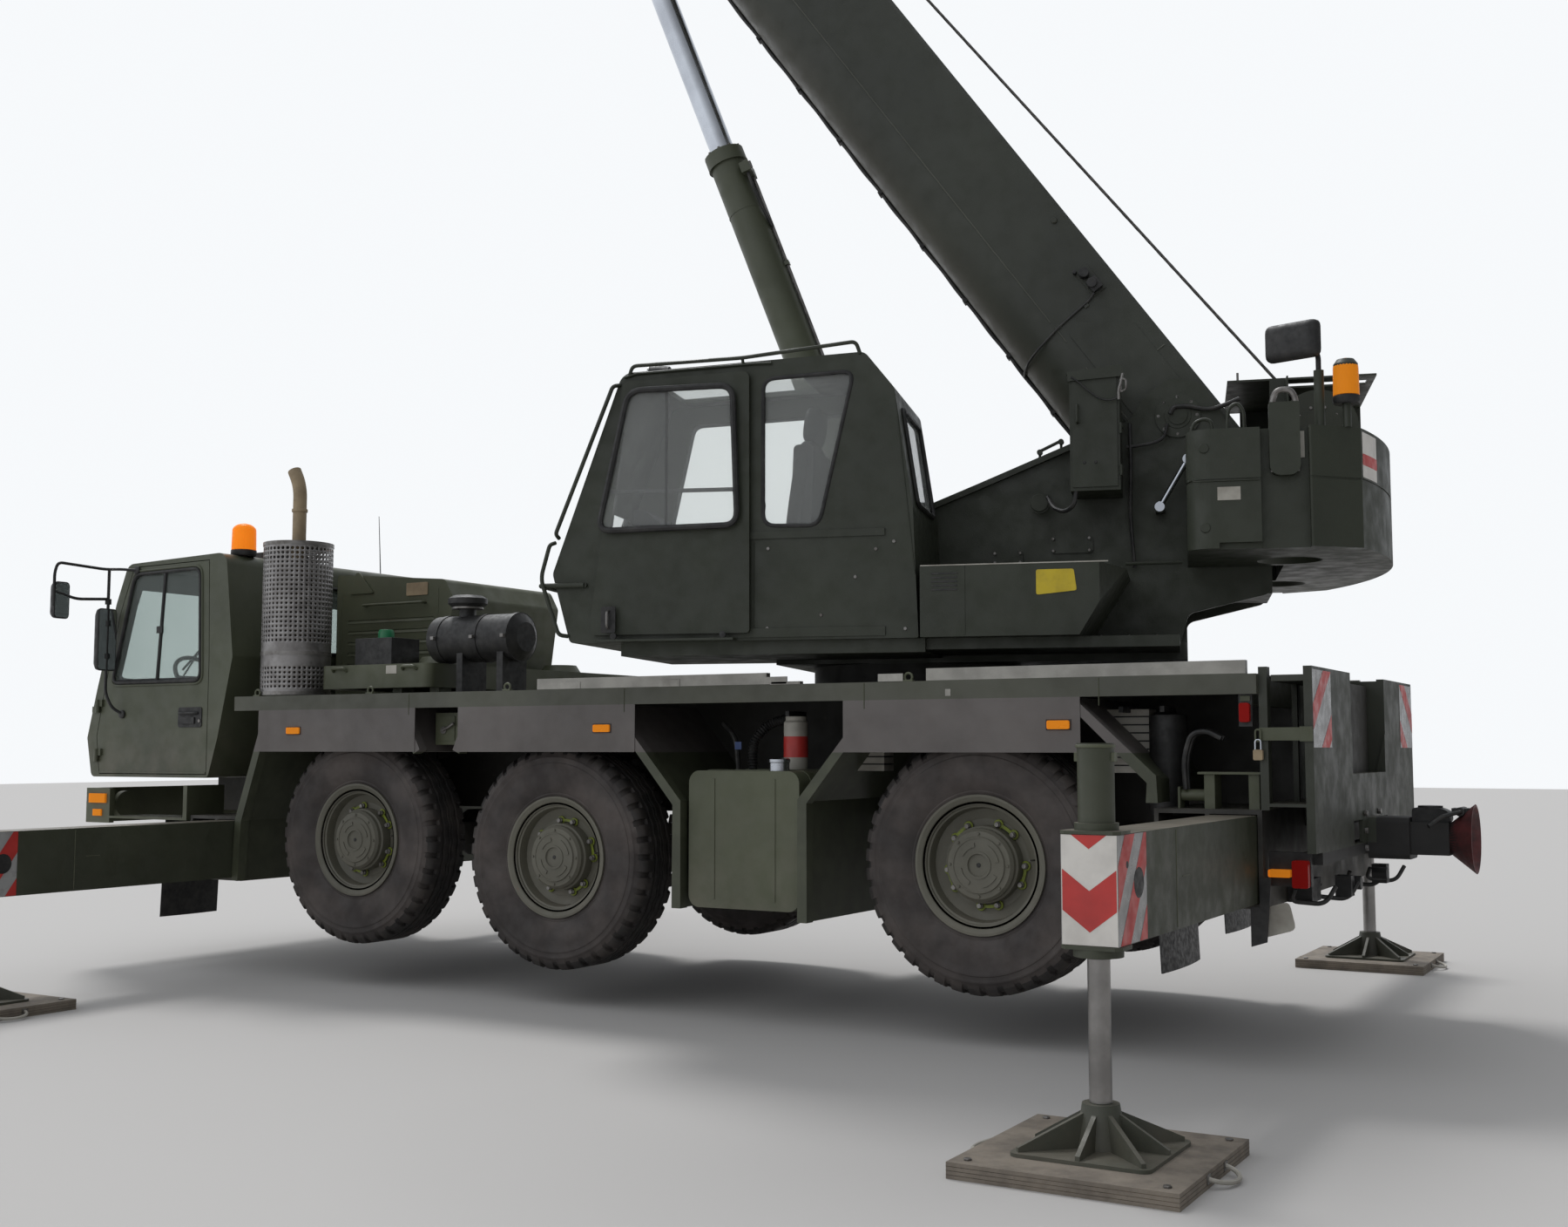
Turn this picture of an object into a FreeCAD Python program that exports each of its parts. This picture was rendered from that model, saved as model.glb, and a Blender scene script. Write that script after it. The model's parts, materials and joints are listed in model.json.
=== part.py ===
"""Three-axle all-terrain mobile crane, standing on its outriggers with the boom raised.

Millimetres. X runs along the carrier with the cab at minus X, Y across it, Z up from the ground.
X = Y = 0 is the slewing axis. The upper works and the boom are laid out in a frame of their own,
with their front towards minus x, and turned about the slewing axis at the end.
"""
import math
import os

import FreeCAD
import Part

V = FreeCAD.Vector
os.makedirs("parts", exist_ok=True)

# Clearances
GAP = 5.0                      # running gap between pieces that move past each other
PIN_GAP = 0.5                  # running gap round a pin or rod
SEAT = 0.3                     # what rides on a pad or rail is this far from it

# Carrier: overall sizes
FRONT_X, REAR_X = -6170.0, 3210.0      # nose of the cab and mouth of the coupling
DECK_Z = 1907.0
DECK_HALF = 1375.0
DECK_FRONT, DECK_REAR = -4560.0, 2440.0
PLATE = 6.0
EDGE_T, EDGE_H = 45.0, 97.0            # edge channel of the deck
RAIL_T, RAIL_H = 42.0, 66.0            # fold-down rail on the channel
RAILS = ((-1905.0, -275.0), (710.0, 2390.0))
BEARER_X = (-4300.0, -2400.0, 1100.0, 2380.0)
BEARER_HALF, BEARER_LOW = 30.0, 1760.0
HULL_HALF, HULL_Z = 430.0, 1150.0
HULL_FRONT, HULL_REAR = -4300.0, 2600.0
HULL_WALL = 14.0
NOSE_FRONT, NOSE_Z = -5800.0, (1080.0, 1330.0)
CASE_X, CASE_Z, CASE_HALF = (-1250.0, -650.0), 880.0, 210.0    # transfer gearbox under the hull

# Wheels and axles
AXLE_X = (-3510.0, -1850.0, 950.0)
HUB_Z = (951.0, 891.0, 942.0)
WHEEL_Y = 1090.0
TYRE_R, TYRE_HALF = 680.0, 187.5
RIM_R, RIM_HALF, FLANGE_R = 320.0, 166.0, 368.0
KINGPIN_Y, KINGPIN_R, YOKE_R = WHEEL_Y - 230.0, 40.0, 55.0
YOKE_H, YOKE_T = 180.0, 40.0
SPINDLE_R = 75.0
AXLE_HALF = 70.0
BULB_R = 190.0
STRUT_Y, STRUT_R, STRUT_TOP = 560.0, 62.0, 1560.0
SHAFT_R = 45.0
# tyre section, out from the rim: distance from the axis and from the wheel's middle
TYRE_SECTION = ((RIM_R, 150.0), (372.0, 150.0), (420.0, 174.0), (480.0, TYRE_HALF), (560.0, TYRE_HALF), (618.0, 181.0),
                (655.0, 166.0), (TYRE_R - 6.0, 146.0), (TYRE_R, 128.0))
# outer side of the rim and hub, from the flange to the axis
RIM_OUTSIDE = ((FLANGE_R, 150.0), (FLANGE_R, RIM_HALF), (FLANGE_R - 12.0, RIM_HALF), (334.0, 156.0), (322.0, 136.0),
               (302.0, 128.0), (292.0, 70.0), (240.0, 52.0), (205.0, 52.0), (202.0, 118.0), (192.0, 126.0),
               (190.0, 148.0), (176.0, 166.0), (150.0, 168.0), (146.0, 174.0), (60.0, 174.0), (56.0, 168.0), (0.0, 168.0))

# Skirts and arch plates
SKIRT_T, SKIRT_Z = 4.0, 1530.0
SKIRTS = ((-4320.0, -2895.0), (-2535.0, -1175.0), (210.0, 1560.0))
ARCH_T, WEB_T = 60.0, 8.0
ARCH_DEPTH = 75.0
# side outlines of the arch plates between deck and chassis, as the centre line of each
ARCHES = (
    ((-4240.0, 1810.0), (-4500.0, 1060.0), (-4520.0, 650.0)),
    ((-3030.0, 1810.0), (-2880.0, 1530.0)),
    ((-2430.0, 1810.0), (-2550.0, 1530.0)),
    ((-1370.0, 1810.0), (-880.0, 1240.0), (-880.0, 640.0)),
    ((400.0, 1810.0), (-50.0, 1260.0), (-50.0, 600.0)),
    ((1500.0, 1810.0), (1920.0, 1400.0), (1920.0, 1285.0)),
)

# Outriggers: a left and a right beam lie side by side in one box, front and rear
BEAM_W = 220.0
BEAM_WALL = 12.0
BEAM_IN, BEAM_OUT = 850.0, 3330.0
JACK_Y = BEAM_OUT - 90.0
BOX_HALF = DECK_HALF - 65.0
BOX_WALL = 22.0
FRONT_BEAM_X = {"l": -4660.0, "r": -4912.0}
REAR_BEAM_X = {"l": 2300.0, "r": 2048.0}
FRONT_BEAM_Z = (670.0, 1056.0)
REAR_BEAM_Z = (817.0, 1231.0)
BOX_PAD = (70.0, 120.0)                # wear pad in the box's mouth: half length and depth
JACK_R, ROD_R = 70.0, 43.0
JACK_TOP = 340.0                       # jack tube above its beam
JACK_COLLAR, JACK_CAP = 45.0, 15.0     # collar below the beam, end plate of the tube
JACK_STROKE = 380.0                    # what the rod can still draw in from the photographed height
END_PLATE = (150.0, 12.0, 14.0, 24.0)  # length, upper and lower thickness, cut corner of the beam's end plates
MAT = (860.0, 900.0, 60.0)
PAD_HALF, PAD_H, PAD_T = 268.0, 173.0, 14.0
PAD_HUB_R, PAD_RIB_T = 78.0, 18.0

# Carrier cab
CAB_SIDE = DECK_HALF - 40.0
CAB_FLOOR = 1345.0
CAB_WALL = 40.0
CAB_CORNERS = (45.0, 0.0, 0.0, 0.0, 90.0, 90.0, 60.0, 0.0, 45.0)
WINDOW_CORNER = 60.0
DOOR_GAP = 6.0
CAB_SIDE_LINE = ((-6110.0, CAB_FLOOR), (FRONT_X, 1630.0), (-6080.0, 1970.0), (-5890.0, 2610.0), (-5770.0, 2900.0),
                 (-4730.0, 2930.0), (-4640.0, 2190.0), (-4770.0, 1630.0), (-4860.0, CAB_FLOOR))
DOOR_LINE = ((-6020.0, 1372.0), (-6060.0, 1640.0), (-5990.0, 1970.0), (-5830.0, 2560.0), (-5700.0, 2870.0),
             (-4905.0, 2880.0), (-4880.0, 2190.0), (-4880.0, 1372.0))
DOOR_WINDOW = ((-5905.0, 2030.0), (-5690.0, 2820.0), (-4990.0, 2830.0), (-4960.0, 2030.0))
WINDSCREEN = ((-6200.0, 2060.0), (-6000.0, 2060.0), (-5780.0, 2790.0), (-6000.0, 2790.0))
WINDSCREEN_HALF = CAB_SIDE - 155.0
VISOR_LINE = ((-5778.0, 2872.0), (-5905.0, 2806.0), (-5898.0, 2790.0), (-5776.0, 2850.0))
REAR_LIGHT = (600.0, 2250.0, 2750.0)
GRILLE_Z, GRILLE_H, GRILLE_HALF = (1440.0, 1510.0, 1580.0, 1650.0, 1720.0), 34.0, 520.0
HINGE_X, HINGE_Y, HINGE_R, HINGE_PIN = -6040.0, CAB_SIDE + 18.0, 16.0, 9.0
HINGE_Z, HINGE_H = (1500.0, 1860.0), 50.0
CAB_MOUNT_X, CAB_MOUNT_Y, CAB_MOUNT_HALF = (-5650.0, -4960.0), 360.0, 60.0
CREW_SEAT_Y = (575.0 - CAB_SIDE, CAB_SIDE - 835.0)
CREW_SEAT_HALF = 220.0
CREW_SEAT_X = (-5500.0, -5130.0, -5050.0, -5010.0)
DASH_LINE = ((-6020.0, 1385.0), (-5780.0, 1385.0), (-5780.0, 1900.0), (-5860.0, 2020.0), (-6030.0, 2020.0))
DASH_HALF = CAB_SIDE - 185.0
WHEEL_CENTRE, WHEEL_R = (-5640.0, CREW_SEAT_Y[0], 2080.0), 210.0
BUMPER_X = (-6160.0, -6090.0, -5900.0, -5110.0, -5070.0)
BUMPER_Z = (1010.0, 1045.0, 1062.0, 1262.0)
LAMP_Y, LAMP_Z, LAMP_R = CAB_SIDE - 255.0, 1136.0, 88.0

# On the deck
HOOD_LINE = ((-4600.0, DECK_Z), (-3560.0, DECK_Z), (-3460.0, 2620.0), (-3540.0, 2760.0), (-4600.0, 2845.0))
HOOD_Y, HOOD_T = (-400.0, 800.0), 8.0
LOUVRE_X, LOUVRE_Z, LOUVRE_H = (-4480.0, -3640.0), (2150.0, 2230.0, 2310.0, 2390.0, 2470.0), 26.0
STACK_X, STACK_Y = -4235.0, 245.0 - DECK_HALF
GUARD_R, GUARD_T, GUARD_TOP = 235.0, 4.0, 2975.0
SILENCER_R, SILENCER_TOP = 165.0, 2800.0
STACK_R, STACK_BEND, STACK_TOP = 48.0, 3380.0, 3500.0
STAY_Z = (2150.0, 2650.0)
CLEANER_Y, CLEANER_Z, CLEANER_R = 425.0 - DECK_HALF, 2272.0, 155.0
CLEANER_X = (-3090.0, -2340.0)
INTAKE_X, INTAKE_R, INTAKE_Z = -2840.0, 55.0, (2480.0, 2560.0)
SLAB_X, SLAB_HALF, SLAB_Z = (-3940.0, -3440.0, -2950.0), DECK_HALF - 185.0, (DECK_Z + 45.0, 2110.0)
SLAB_NOTCH = (-460.0, 860.0)
CONE_X, CONE_Y, CONE_R, CONE_H = -3330.0, 670.0, (165.0, 120.0), 70.0
TANK_X, TANK_Z, TANK_Y = (-820.0, -90.0), (650.0, 1425.0), (620.0, DECK_HALF - 45.0)
TANK_CORNER = 70.0
TANK_ARM_X, TANK_ARM_Z = (-650.0, -260.0), (1180.0, 1300.0)
STRAP_W, STRAP_T = 44.0, 5.0

# Rear rack and coupling
RACK_X = (2440.0, 2480.0, 2600.0, 2650.0, 2690.0)
RACK_Y = (460.0, 480.0, DECK_HALF - 100.0, DECK_HALF - 40.0)
RACK_Z = (1000.0, 1060.0, 1275.0, 1290.0, 1905.0, 1940.0)
RACK_BEAM_Z = (1180.0, 1420.0)
RACK_BAR, RACK_RODS = DECK_HALF - 175.0, (DECK_HALF - 815.0, DECK_HALF - 475.0)     # half length, and the upright rods
COUPLING_Z = 1080.0
MOUTH_R = (75.0, 180.0)
MOUTH_LEN, MOUTH_WALL = 130.0, 8.0

# Slewing ring and upper works
SLEW = 16.5
RING_R, RING_W = 640.0, 90.0
RING_TOP = 2045.0
BASE_Z, BASE_TOP = RING_TOP + GAP, RING_TOP + 105.0
BASE_X, BASE_HALF = (-760.0, 1640.0), 640.0
CHEEK_IN, CHEEK_T = 326.0, 42.0
CCAB_IN, CCAB_OUT = CHEEK_IN + 94.0, DECK_HALF - 40.0     # inner and outer side of the crane cab
FOOT = (1610.0, 3494.0)                # boom foot pin
FOOT_R = 55.0
LUFF = 54.0
CHEEK_LINE = ((-750.0, BASE_TOP), (-700.0, 2450.0), (-350.0, 2820.0), (450.0, 3130.0), (1330.0, 3480.0),
              (1420.0, 3620.0), (1560.0, 3720.0), (1740.0, 3690.0), (1850.0, 3520.0), (2120.0, 2900.0), (2120.0, 2440.0),
              (1650.0, 2330.0), (1600.0, BASE_TOP))
FLANGE_LINE = ((-350.0, 2806.0), (450.0, 3116.0), (1290.0, 3450.0))
FLANGE_W, FLANGE_T = CCAB_IN - CHEEK_IN - 2 * GAP, 34.0
EAR_LINE = ((-400.0, BASE_TOP), (0.0, BASE_TOP), (-100.0, 2720.0), (-160.0, 2765.0), (-240.0, 2765.0), (-300.0, 2720.0))
APRON_T = 60.0
COVERS = ((520.0, 700.0, 2640.0, 2720.0), (860.0, 1110.0, 2700.0, 2800.0))

# Counterweight
TAIL_R = 2800.0
TAIL_X = (2280.0, 2540.0)              # where the sides end and where the round tail begins
CW_Z, CW_TOP, CW_LEDGE = 2590.0, 3222.0, 2950.0
CW_HALF, CW_FRONT, CW_CORNER = 1340.0, 1650.0, 120.0
CW_SEAM = (5.0, 12.0)                  # depth and height of the welded ledge
CW_SLOT = 440.0                        # half width of the slot the cheeks stand in
CW_SLOT_REAR, CW_WELL_Z = 2180.0, 3000.0
RECESS_X, RECESS_D = (2025.0, 2270.0), 60.0
LIFT_X, LIFT_Z, LIFT_CORNER = (2072.0, 2226.0), (2965.0, 3350.0), 55.0
SOCKET = (2200.0, CONE_Y, CONE_R[0] + 10.0, CONE_R[1] + 5.0, CONE_H + 10.0)      # fits over the slab's cones
BEACON = (2470.0, -1215.0, 22.0, 62.0, 3395.0, 3580.0)     # x, y, post and lens radius, lens foot and top
MIRROR_POST = (2335.0, -1215.0, 26.0, 3530.0)

# Winch
WINCH_X, WINCH_Z = 2400.0, 3400.0
DRUM_R, DRUM_HALF, DRUM_FLANGE, DRUM_RIM = 150.0, 262.0, 225.0, 22.0
STAND_LINE = ((2230.0, 3000.0), (2570.0, 3000.0), (2520.0, 3480.0), (2280.0, 3480.0))
STAND_T, STAND_GAP = 40.0, 28.0
DRUM_HUB_R, GEAR = 90.0, ((150.0, 130.0), (290.0, 75.0))     # gear: reach beyond the drum and radius of each step
ROOF_X, ROOF_Y, ROOF_Z, ROOF_T = (1900.0, 2740.0), (-180.0, 760.0), 3716.0, 12.0
SCREEN_X, SCREEN_Z = (2140.0, 2230.0, 2240.0), STAND_LINE[2][1]       # small walls that stand on the winch stands

# Crane cab
CCAB_WALL = 35.0
CDOOR_T, CDOOR_GAP = 30.0, 10.0
CCAB_LINE = ((-1790.0, BASE_TOP), (-1900.0, 2550.0), (-1485.0, 3700.0), (-70.0, 3745.0), (97.0, 3534.0), (195.0, 2865.0),
             (222.0, BASE_TOP))
CCAB_CORNERS = (30.0, 60.0, 90.0, 60.0, 60.0, 20.0, 10.0)
CDOOR_LINE = ((-1650.0, 2190.0), (-1650.0, 2300.0), (-1466.0, 3640.0), (-722.0, 3665.0), (-718.0, 2190.0))
CDOOR_WINDOW = ((-1600.0, 2780.0), (-1425.0, 3580.0), (-810.0, 3580.0), (-780.0, 2790.0))
CREAR_WINDOW = ((-650.0, 2790.0), (-650.0, 3620.0), (-130.0, 3640.0), (-330.0, 2780.0))
CFRONT_WINDOW = ((-2000.0, 2700.0), (-1780.0, 2700.0), (-1560.0, 3580.0), (-1800.0, 3580.0))
CFAR_WINDOW = ((-1500.0, 2800.0), (-1330.0, 3560.0), (-250.0, 3590.0), (-250.0, 2800.0))
CROOF_LIGHT, CREAR_LIGHT = (-1350.0, -500.0), (2900.0, 3450.0)
CFRAME_SIDE = 90.0                     # side frame left beside the cab's front and roof windows
CRAILS = ((-760.0, 2715.0, 2755.0), (-1640.0, 2165.0, 2215.0))
GRAB_R = 15.0
GRAB_LINE = ((-1700.0, 2480.0), (-1960.0, 2480.0), (-1960.0, 2760.0), (-1870.0, 2760.0))
DRIVER_X = (-950.0, -560.0, -440.0)
CONSOLE_X = (-1500.0, -1300.0)

# Housings
SIDE_BOX_LINE = ((237.0, BASE_TOP), (1085.0, BASE_TOP), (1322.0, 2535.0), (237.0, 2535.0))
CABINET_X, CABINET_Y, CABINET_Z = (1010.0, 1290.0), (-760.0, -430.0), (3010.0, 3690.0)
CABINET_ARM = (1060.0, 1140.0, 3080.0, 3180.0)
FAR_LINE = ((-150.0, BASE_TOP), (1600.0, BASE_TOP), (1600.0, 2850.0), (1450.0, 2960.0), (0.0, 2960.0), (-150.0, 2850.0))
FAR_OUT = CCAB_OUT - 35.0
FAR_LOUVRE_X, FAR_LOUVRE_Z = ((250.0, 750.0), (900.0, 1400.0)), (2350.0, 2430.0, 2510.0, 2590.0, 2670.0)

# Boom, measured from its foot pin: u along it, w square to it
BOOM_TOP, BOOM_LOW = 245.0, -515.0
BOOM_KNEE = BOOM_TOP - 490.0           # weld line where the sides meet the bowed belly
BOOM_HALF = 310.0
BOOM_CHAMFER = 25.0
BOOM_WALL = 12.0
BOOM_REAR, BOOM_LEN = -450.0, 6900.0
SECTION_GAP = 10.0
STEP_IN, STEP_OUT = 180.0, 190.0       # each section starts and ends this much further out
TELE_IN = 300.0
PAD_LEN = 150.0
HEAD_U = BOOM_LEN + 1000.0
SHEAVE_W = {"upper": -15.0, "lower": -600.0}
JIB_PIN = ((HEAD_U - 200.0, 170.0), (HEAD_U + 60.0, -360.0))
JIB_PIN_R = 30.0
HEAD_IN, HEAD_T = 170.0, 30.0
SHEAVE_R, GROOVE_R, ROPE_R = 190.0, 175.0, 9.0
SHEAVE_W_HALF, SHEAVE_PIN_R = 23.0, 35.0

# Luffing cylinder
LUFF_BASE = (-200.0, 2650.0)
EAR_IN, EAR_T, LUFF_PIN_R = 122.0, 40.0, 50.0
LUG_IN, LUG_T, EYE_PIN_R = 108.0, 40.0, 48.0
LUG_U, LUG_W = 5184.0, -656.0
BARREL_R, LUFF_ROD_R = 118.0, 80.0
BARREL_LEN, ROD_INNER = 3000.0, 1900.0
GLAND_R, GLAND_LEN = 132.0, 90.0

# Hook block
HOOK_DROP = 1650.0
BOWL_R, HOOK_R = 110.0, 38.0
FALL_Y = (-77.0, 63.0)


# Helpers
def box(x0, x1, y0, y1, z0, z1):
    """A box from its six limits."""
    return Part.makeBox(x1 - x0, y1 - y0, z1 - z0, V(x0, y0, z0))


def rod(a, b, r):
    """A round bar from a to b."""
    a, b = V(*a), V(*b)
    return Part.makeCylinder(r, (b - a).Length, a, b - a)


def tube(a, b, r, inner):
    """A round tube from a to b."""
    return rod(a, b, r).cut(rod(a, b, inner))


def cone(a, b, r0, r1):
    """A round bar from a to b that tapers from r0 to r1."""
    a, b = V(*a), V(*b)
    return Part.makeCone(r0, r1, (b - a).Length, a, b - a)


def outline(points, radii, at):
    """A face from a plane outline with rounded corners; at() puts an outline point in space."""
    n = len(points)
    radii = list(radii) if isinstance(radii, (tuple, list)) else [radii] * n
    ends = []
    for i, (px, pz) in enumerate(points):
        ax, az = points[i - 1]
        bx, bz = points[(i + 1) % n]
        la, lb = math.hypot(ax - px, az - pz), math.hypot(bx - px, bz - pz)
        ua, ub = ((ax - px) / la, (az - pz) / la), ((bx - px) / lb, (bz - pz) / lb)
        half = math.acos(max(-1.0, min(1.0, ua[0] * ub[0] + ua[1] * ub[1]))) / 2
        reach = min(radii[i] / math.tan(half), 0.45 * la, 0.45 * lb) if radii[i] else 0.0
        if reach < 0.5 or abs(half - math.pi / 2) < 0.01:
            ends.append(((px, pz), None, (px, pz)))
            continue
        r = reach * math.tan(half)
        mx, mz = ua[0] + ub[0], ua[1] + ub[1]
        m = math.hypot(mx, mz)
        d = r / math.sin(half) - r
        ends.append(((px + ua[0] * reach, pz + ua[1] * reach), (px + mx / m * d, pz + mz / m * d),
                     (px + ub[0] * reach, pz + ub[1] * reach)))
    edges = []
    for i, (start, middle, end) in enumerate(ends):
        if middle:
            edges.append(Part.Arc(at(*start), at(*middle), at(*end)).toShape())
        following = ends[(i + 1) % n][0]
        if math.hypot(end[0] - following[0], end[1] - following[1]) > 1e-6:
            edges.append(Part.makeLine(at(*end), at(*following)))
    return Part.Face(Part.Wire(edges))


def side(points, y0, y1, r=0.0):
    """A side outline (x, z) carried across from y0 to y1."""
    return outline(points, r, lambda x, z: V(x, y0, z)).extrude(V(0, y1 - y0, 0))


def plan(points, z0, z1, r=0.0):
    """A plan outline (x, y) carried up from z0 to z1."""
    return outline(points, r, lambda x, y: V(x, y, z0)).extrude(V(0, 0, z1 - z0))


def cross(points, x0, x1, r=0.0):
    """A cross outline (y, z) carried along from x0 to x1."""
    return outline(points, r, lambda y, z: V(x0, y, z)).extrude(V(x1 - x0, 0, 0))


def spun(profile, s=1):
    """A profile (distance from the axis, distance along it) revolved about Y and mirrored for the left side."""
    solid = outline(profile, 0.0, lambda r, a: V(r, a, 0)).revolve(V(0, 0, 0), V(0, 1, 0), 360)
    return solid.mirror(V(0, 0, 0), V(0, 1, 0)) if s < 0 else solid


def between(s, a, b):
    """The limits a and b on side s, lower first."""
    return sorted((s * a, s * b))


def join(shapes):
    out = shapes[0]
    if len(shapes) > 1:
        out = out.fuse(shapes[1:])
    return out.removeSplitter()


def less(shape, tools):
    return shape.cut(tools) if tools else shape


def inset(points, d):
    """Shrink a convex outline by d."""
    n = len(points)
    cx = sum(p[0] for p in points) / n
    cz = sum(p[1] for p in points) / n
    out = []
    for i in range(n):
        p, a, b = points[i], points[i - 1], points[(i + 1) % n]
        lines = []
        for q, r in ((a, p), (p, b)):
            dx, dz = r[0] - q[0], r[1] - q[1]
            m = math.hypot(dx, dz)
            nx, nz = -dz / m, dx / m
            if (cx - q[0]) * nx + (cz - q[1]) * nz < 0:
                nx, nz = -nx, -nz
            lines.append((nx, nz, nx * q[0] + nz * q[1] + d))
        (a1, b1, c1), (a2, b2, c2) = lines
        det = a1 * b2 - a2 * b1
        out.append(((c1 * b2 - c2 * b1) / det, (a1 * c2 - a2 * c1) / det))
    return out


def band(points, t):
    """A folded plate: the line of points thickened to t, as an outline."""
    left, right = [], []
    for i, (x, z) in enumerate(points):
        x0, z0 = points[max(i - 1, 0)]
        x1, z1 = points[min(i + 1, len(points) - 1)]
        dx, dz = x1 - x0, z1 - z0
        n = math.hypot(dx, dz)
        left.append((x - dz / n * t / 2, z + dx / n * t / 2))
        right.append((x + dz / n * t / 2, z - dx / n * t / 2))
    return left + right[::-1]


def bent_rod(points, r):
    """A round bar along a bent line, with a ball in each corner."""
    parts = [rod(a, b, r) for a, b in zip(points, points[1:])]
    parts += [Part.makeSphere(r, V(*p)) for p in points[1:-1]]
    return parts


def turned(shape):
    """From the upper works' own frame to the vehicle's."""
    out = shape.copy()
    out.rotate(V(0, 0, 0), V(0, 0, 1), SLEW)
    return out


def luffed(shape):
    """From the boom's frame (foot pin at the origin, boom along minus x) to the vehicle's."""
    out = shape.copy()
    out.rotate(V(0, 0, 0), V(0, 1, 0), LUFF)
    out.translate(V(FOOT[0], 0, FOOT[1]))
    return turned(out)


NODES = {}


def node(name, shape):
    """Keep a piece: one solid, or several that do not touch."""
    solids = shape.Solids
    assert solids, name
    NODES[name] = solids[0] if len(solids) == 1 else Part.makeCompound(solids)


# Chassis and deck
def beam_pocket(x, z, grow):
    half = BEAM_W / 2 + grow
    return box(x - half, x + half, -BOX_HALF - GAP, BOX_HALF + GAP, z[0] - grow, z[1] + grow)


def outrigger_box(beams, z):
    low = min(beams.values()) - BEAM_W / 2 - GAP - BOX_WALL
    high = max(beams.values()) + BEAM_W / 2 + GAP + BOX_WALL
    outer = box(low, high, -BOX_HALF, BOX_HALF, z[0] - GAP - BOX_WALL, z[1] + GAP + BOX_WALL)
    return outer, [beam_pocket(x, z, GAP) for x in beams.values()]


def chassis():
    """Torsion box with the two outrigger boxes, the slewing ring's seat and the gearbox below."""
    hull = box(HULL_FRONT, HULL_REAR, -HULL_HALF, HULL_HALF, HULL_Z, DECK_Z - PLATE)
    hull = hull.cut(box(HULL_FRONT + HULL_WALL, HULL_REAR - HULL_WALL, -HULL_HALF + HULL_WALL,
                        HULL_HALF - HULL_WALL, HULL_Z + HULL_WALL, DECK_Z - PLATE - HULL_WALL))
    front = box(NOSE_FRONT, HULL_FRONT, -HULL_HALF, HULL_HALF, *NOSE_Z)
    front = front.cut(box(NOSE_FRONT + HULL_WALL, HULL_FRONT - HULL_WALL, -HULL_HALF + HULL_WALL,
                          HULL_HALF - HULL_WALL, NOSE_Z[0] + HULL_WALL, NOSE_Z[1] - HULL_WALL))
    web = box(HULL_FRONT - 20, HULL_FRONT + 20, -HULL_HALF, HULL_HALF, NOSE_Z[0], NOSE_Z[1] + 170)
    fbox, fcuts = outrigger_box(FRONT_BEAM_X, FRONT_BEAM_Z)
    rbox, rcuts = outrigger_box(REAR_BEAM_X, REAR_BEAM_Z)
    ring = tube((0, 0, DECK_Z - PLATE), (0, 0, RING_TOP), RING_R, RING_R - RING_W)
    case = side([(CASE_X[0], HULL_Z + 5), (CASE_X[0], CASE_Z + 90), (CASE_X[0] + 90, CASE_Z), (CASE_X[1] - 90, CASE_Z),
                 (CASE_X[1], CASE_Z + 90), (CASE_X[1], HULL_Z + 5)], -CASE_HALF, CASE_HALF, 30.0)
    body = less(join([hull, front, web, fbox, rbox, ring, case]), fcuts + rcuts)
    pads = []
    half, deep = BOX_PAD
    for beams, z in ((FRONT_BEAM_X, FRONT_BEAM_Z), (REAR_BEAM_X, REAR_BEAM_Z)):
        for tag, x in beams.items():
            y0, y1 = between(-1 if tag == "l" else 1, BOX_HALF, BOX_HALF - deep)
            pads.append(box(x - half, x + half, y0, y1, z[0] - GAP, z[0] - SEAT))
    mounts = [box(x - CAB_MOUNT_HALF, x + CAB_MOUNT_HALF, s * CAB_MOUNT_Y - CAB_MOUNT_HALF,
                  s * CAB_MOUNT_Y + CAB_MOUNT_HALF, NOSE_Z[1], CAB_FLOOR - SEAT) for x in CAB_MOUNT_X for s in (-1, 1)]
    return join([body] + pads + mounts)


def deck():
    """Walkway plate with its edge channels, fold-down rails and cross bearers."""
    plate = box(DECK_FRONT, DECK_REAR, -DECK_HALF, DECK_HALF, DECK_Z - PLATE, DECK_Z)
    plate = plate.cut(rod((0, 0, DECK_Z - EDGE_H), (0, 0, DECK_Z + EDGE_H), RING_R))
    parts = [plate]
    for s in (-1, 1):
        y0, y1 = between(s, DECK_HALF, DECK_HALF - EDGE_T)
        parts.append(box(DECK_FRONT, DECK_REAR, y0, y1, DECK_Z - EDGE_H, DECK_Z))
        y0, y1 = between(s, DECK_HALF, DECK_HALF - RAIL_T)
        parts += [box(x0, x1, y0, y1, DECK_Z, DECK_Z + RAIL_H) for x0, x1 in RAILS]
        y0, y1 = between(s, HULL_HALF, DECK_HALF - EDGE_T)
        parts += [box(x - BEARER_HALF, x + BEARER_HALF, y0, y1, BEARER_LOW, DECK_Z - PLATE) for x in BEARER_X]
    return join(parts)


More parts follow.
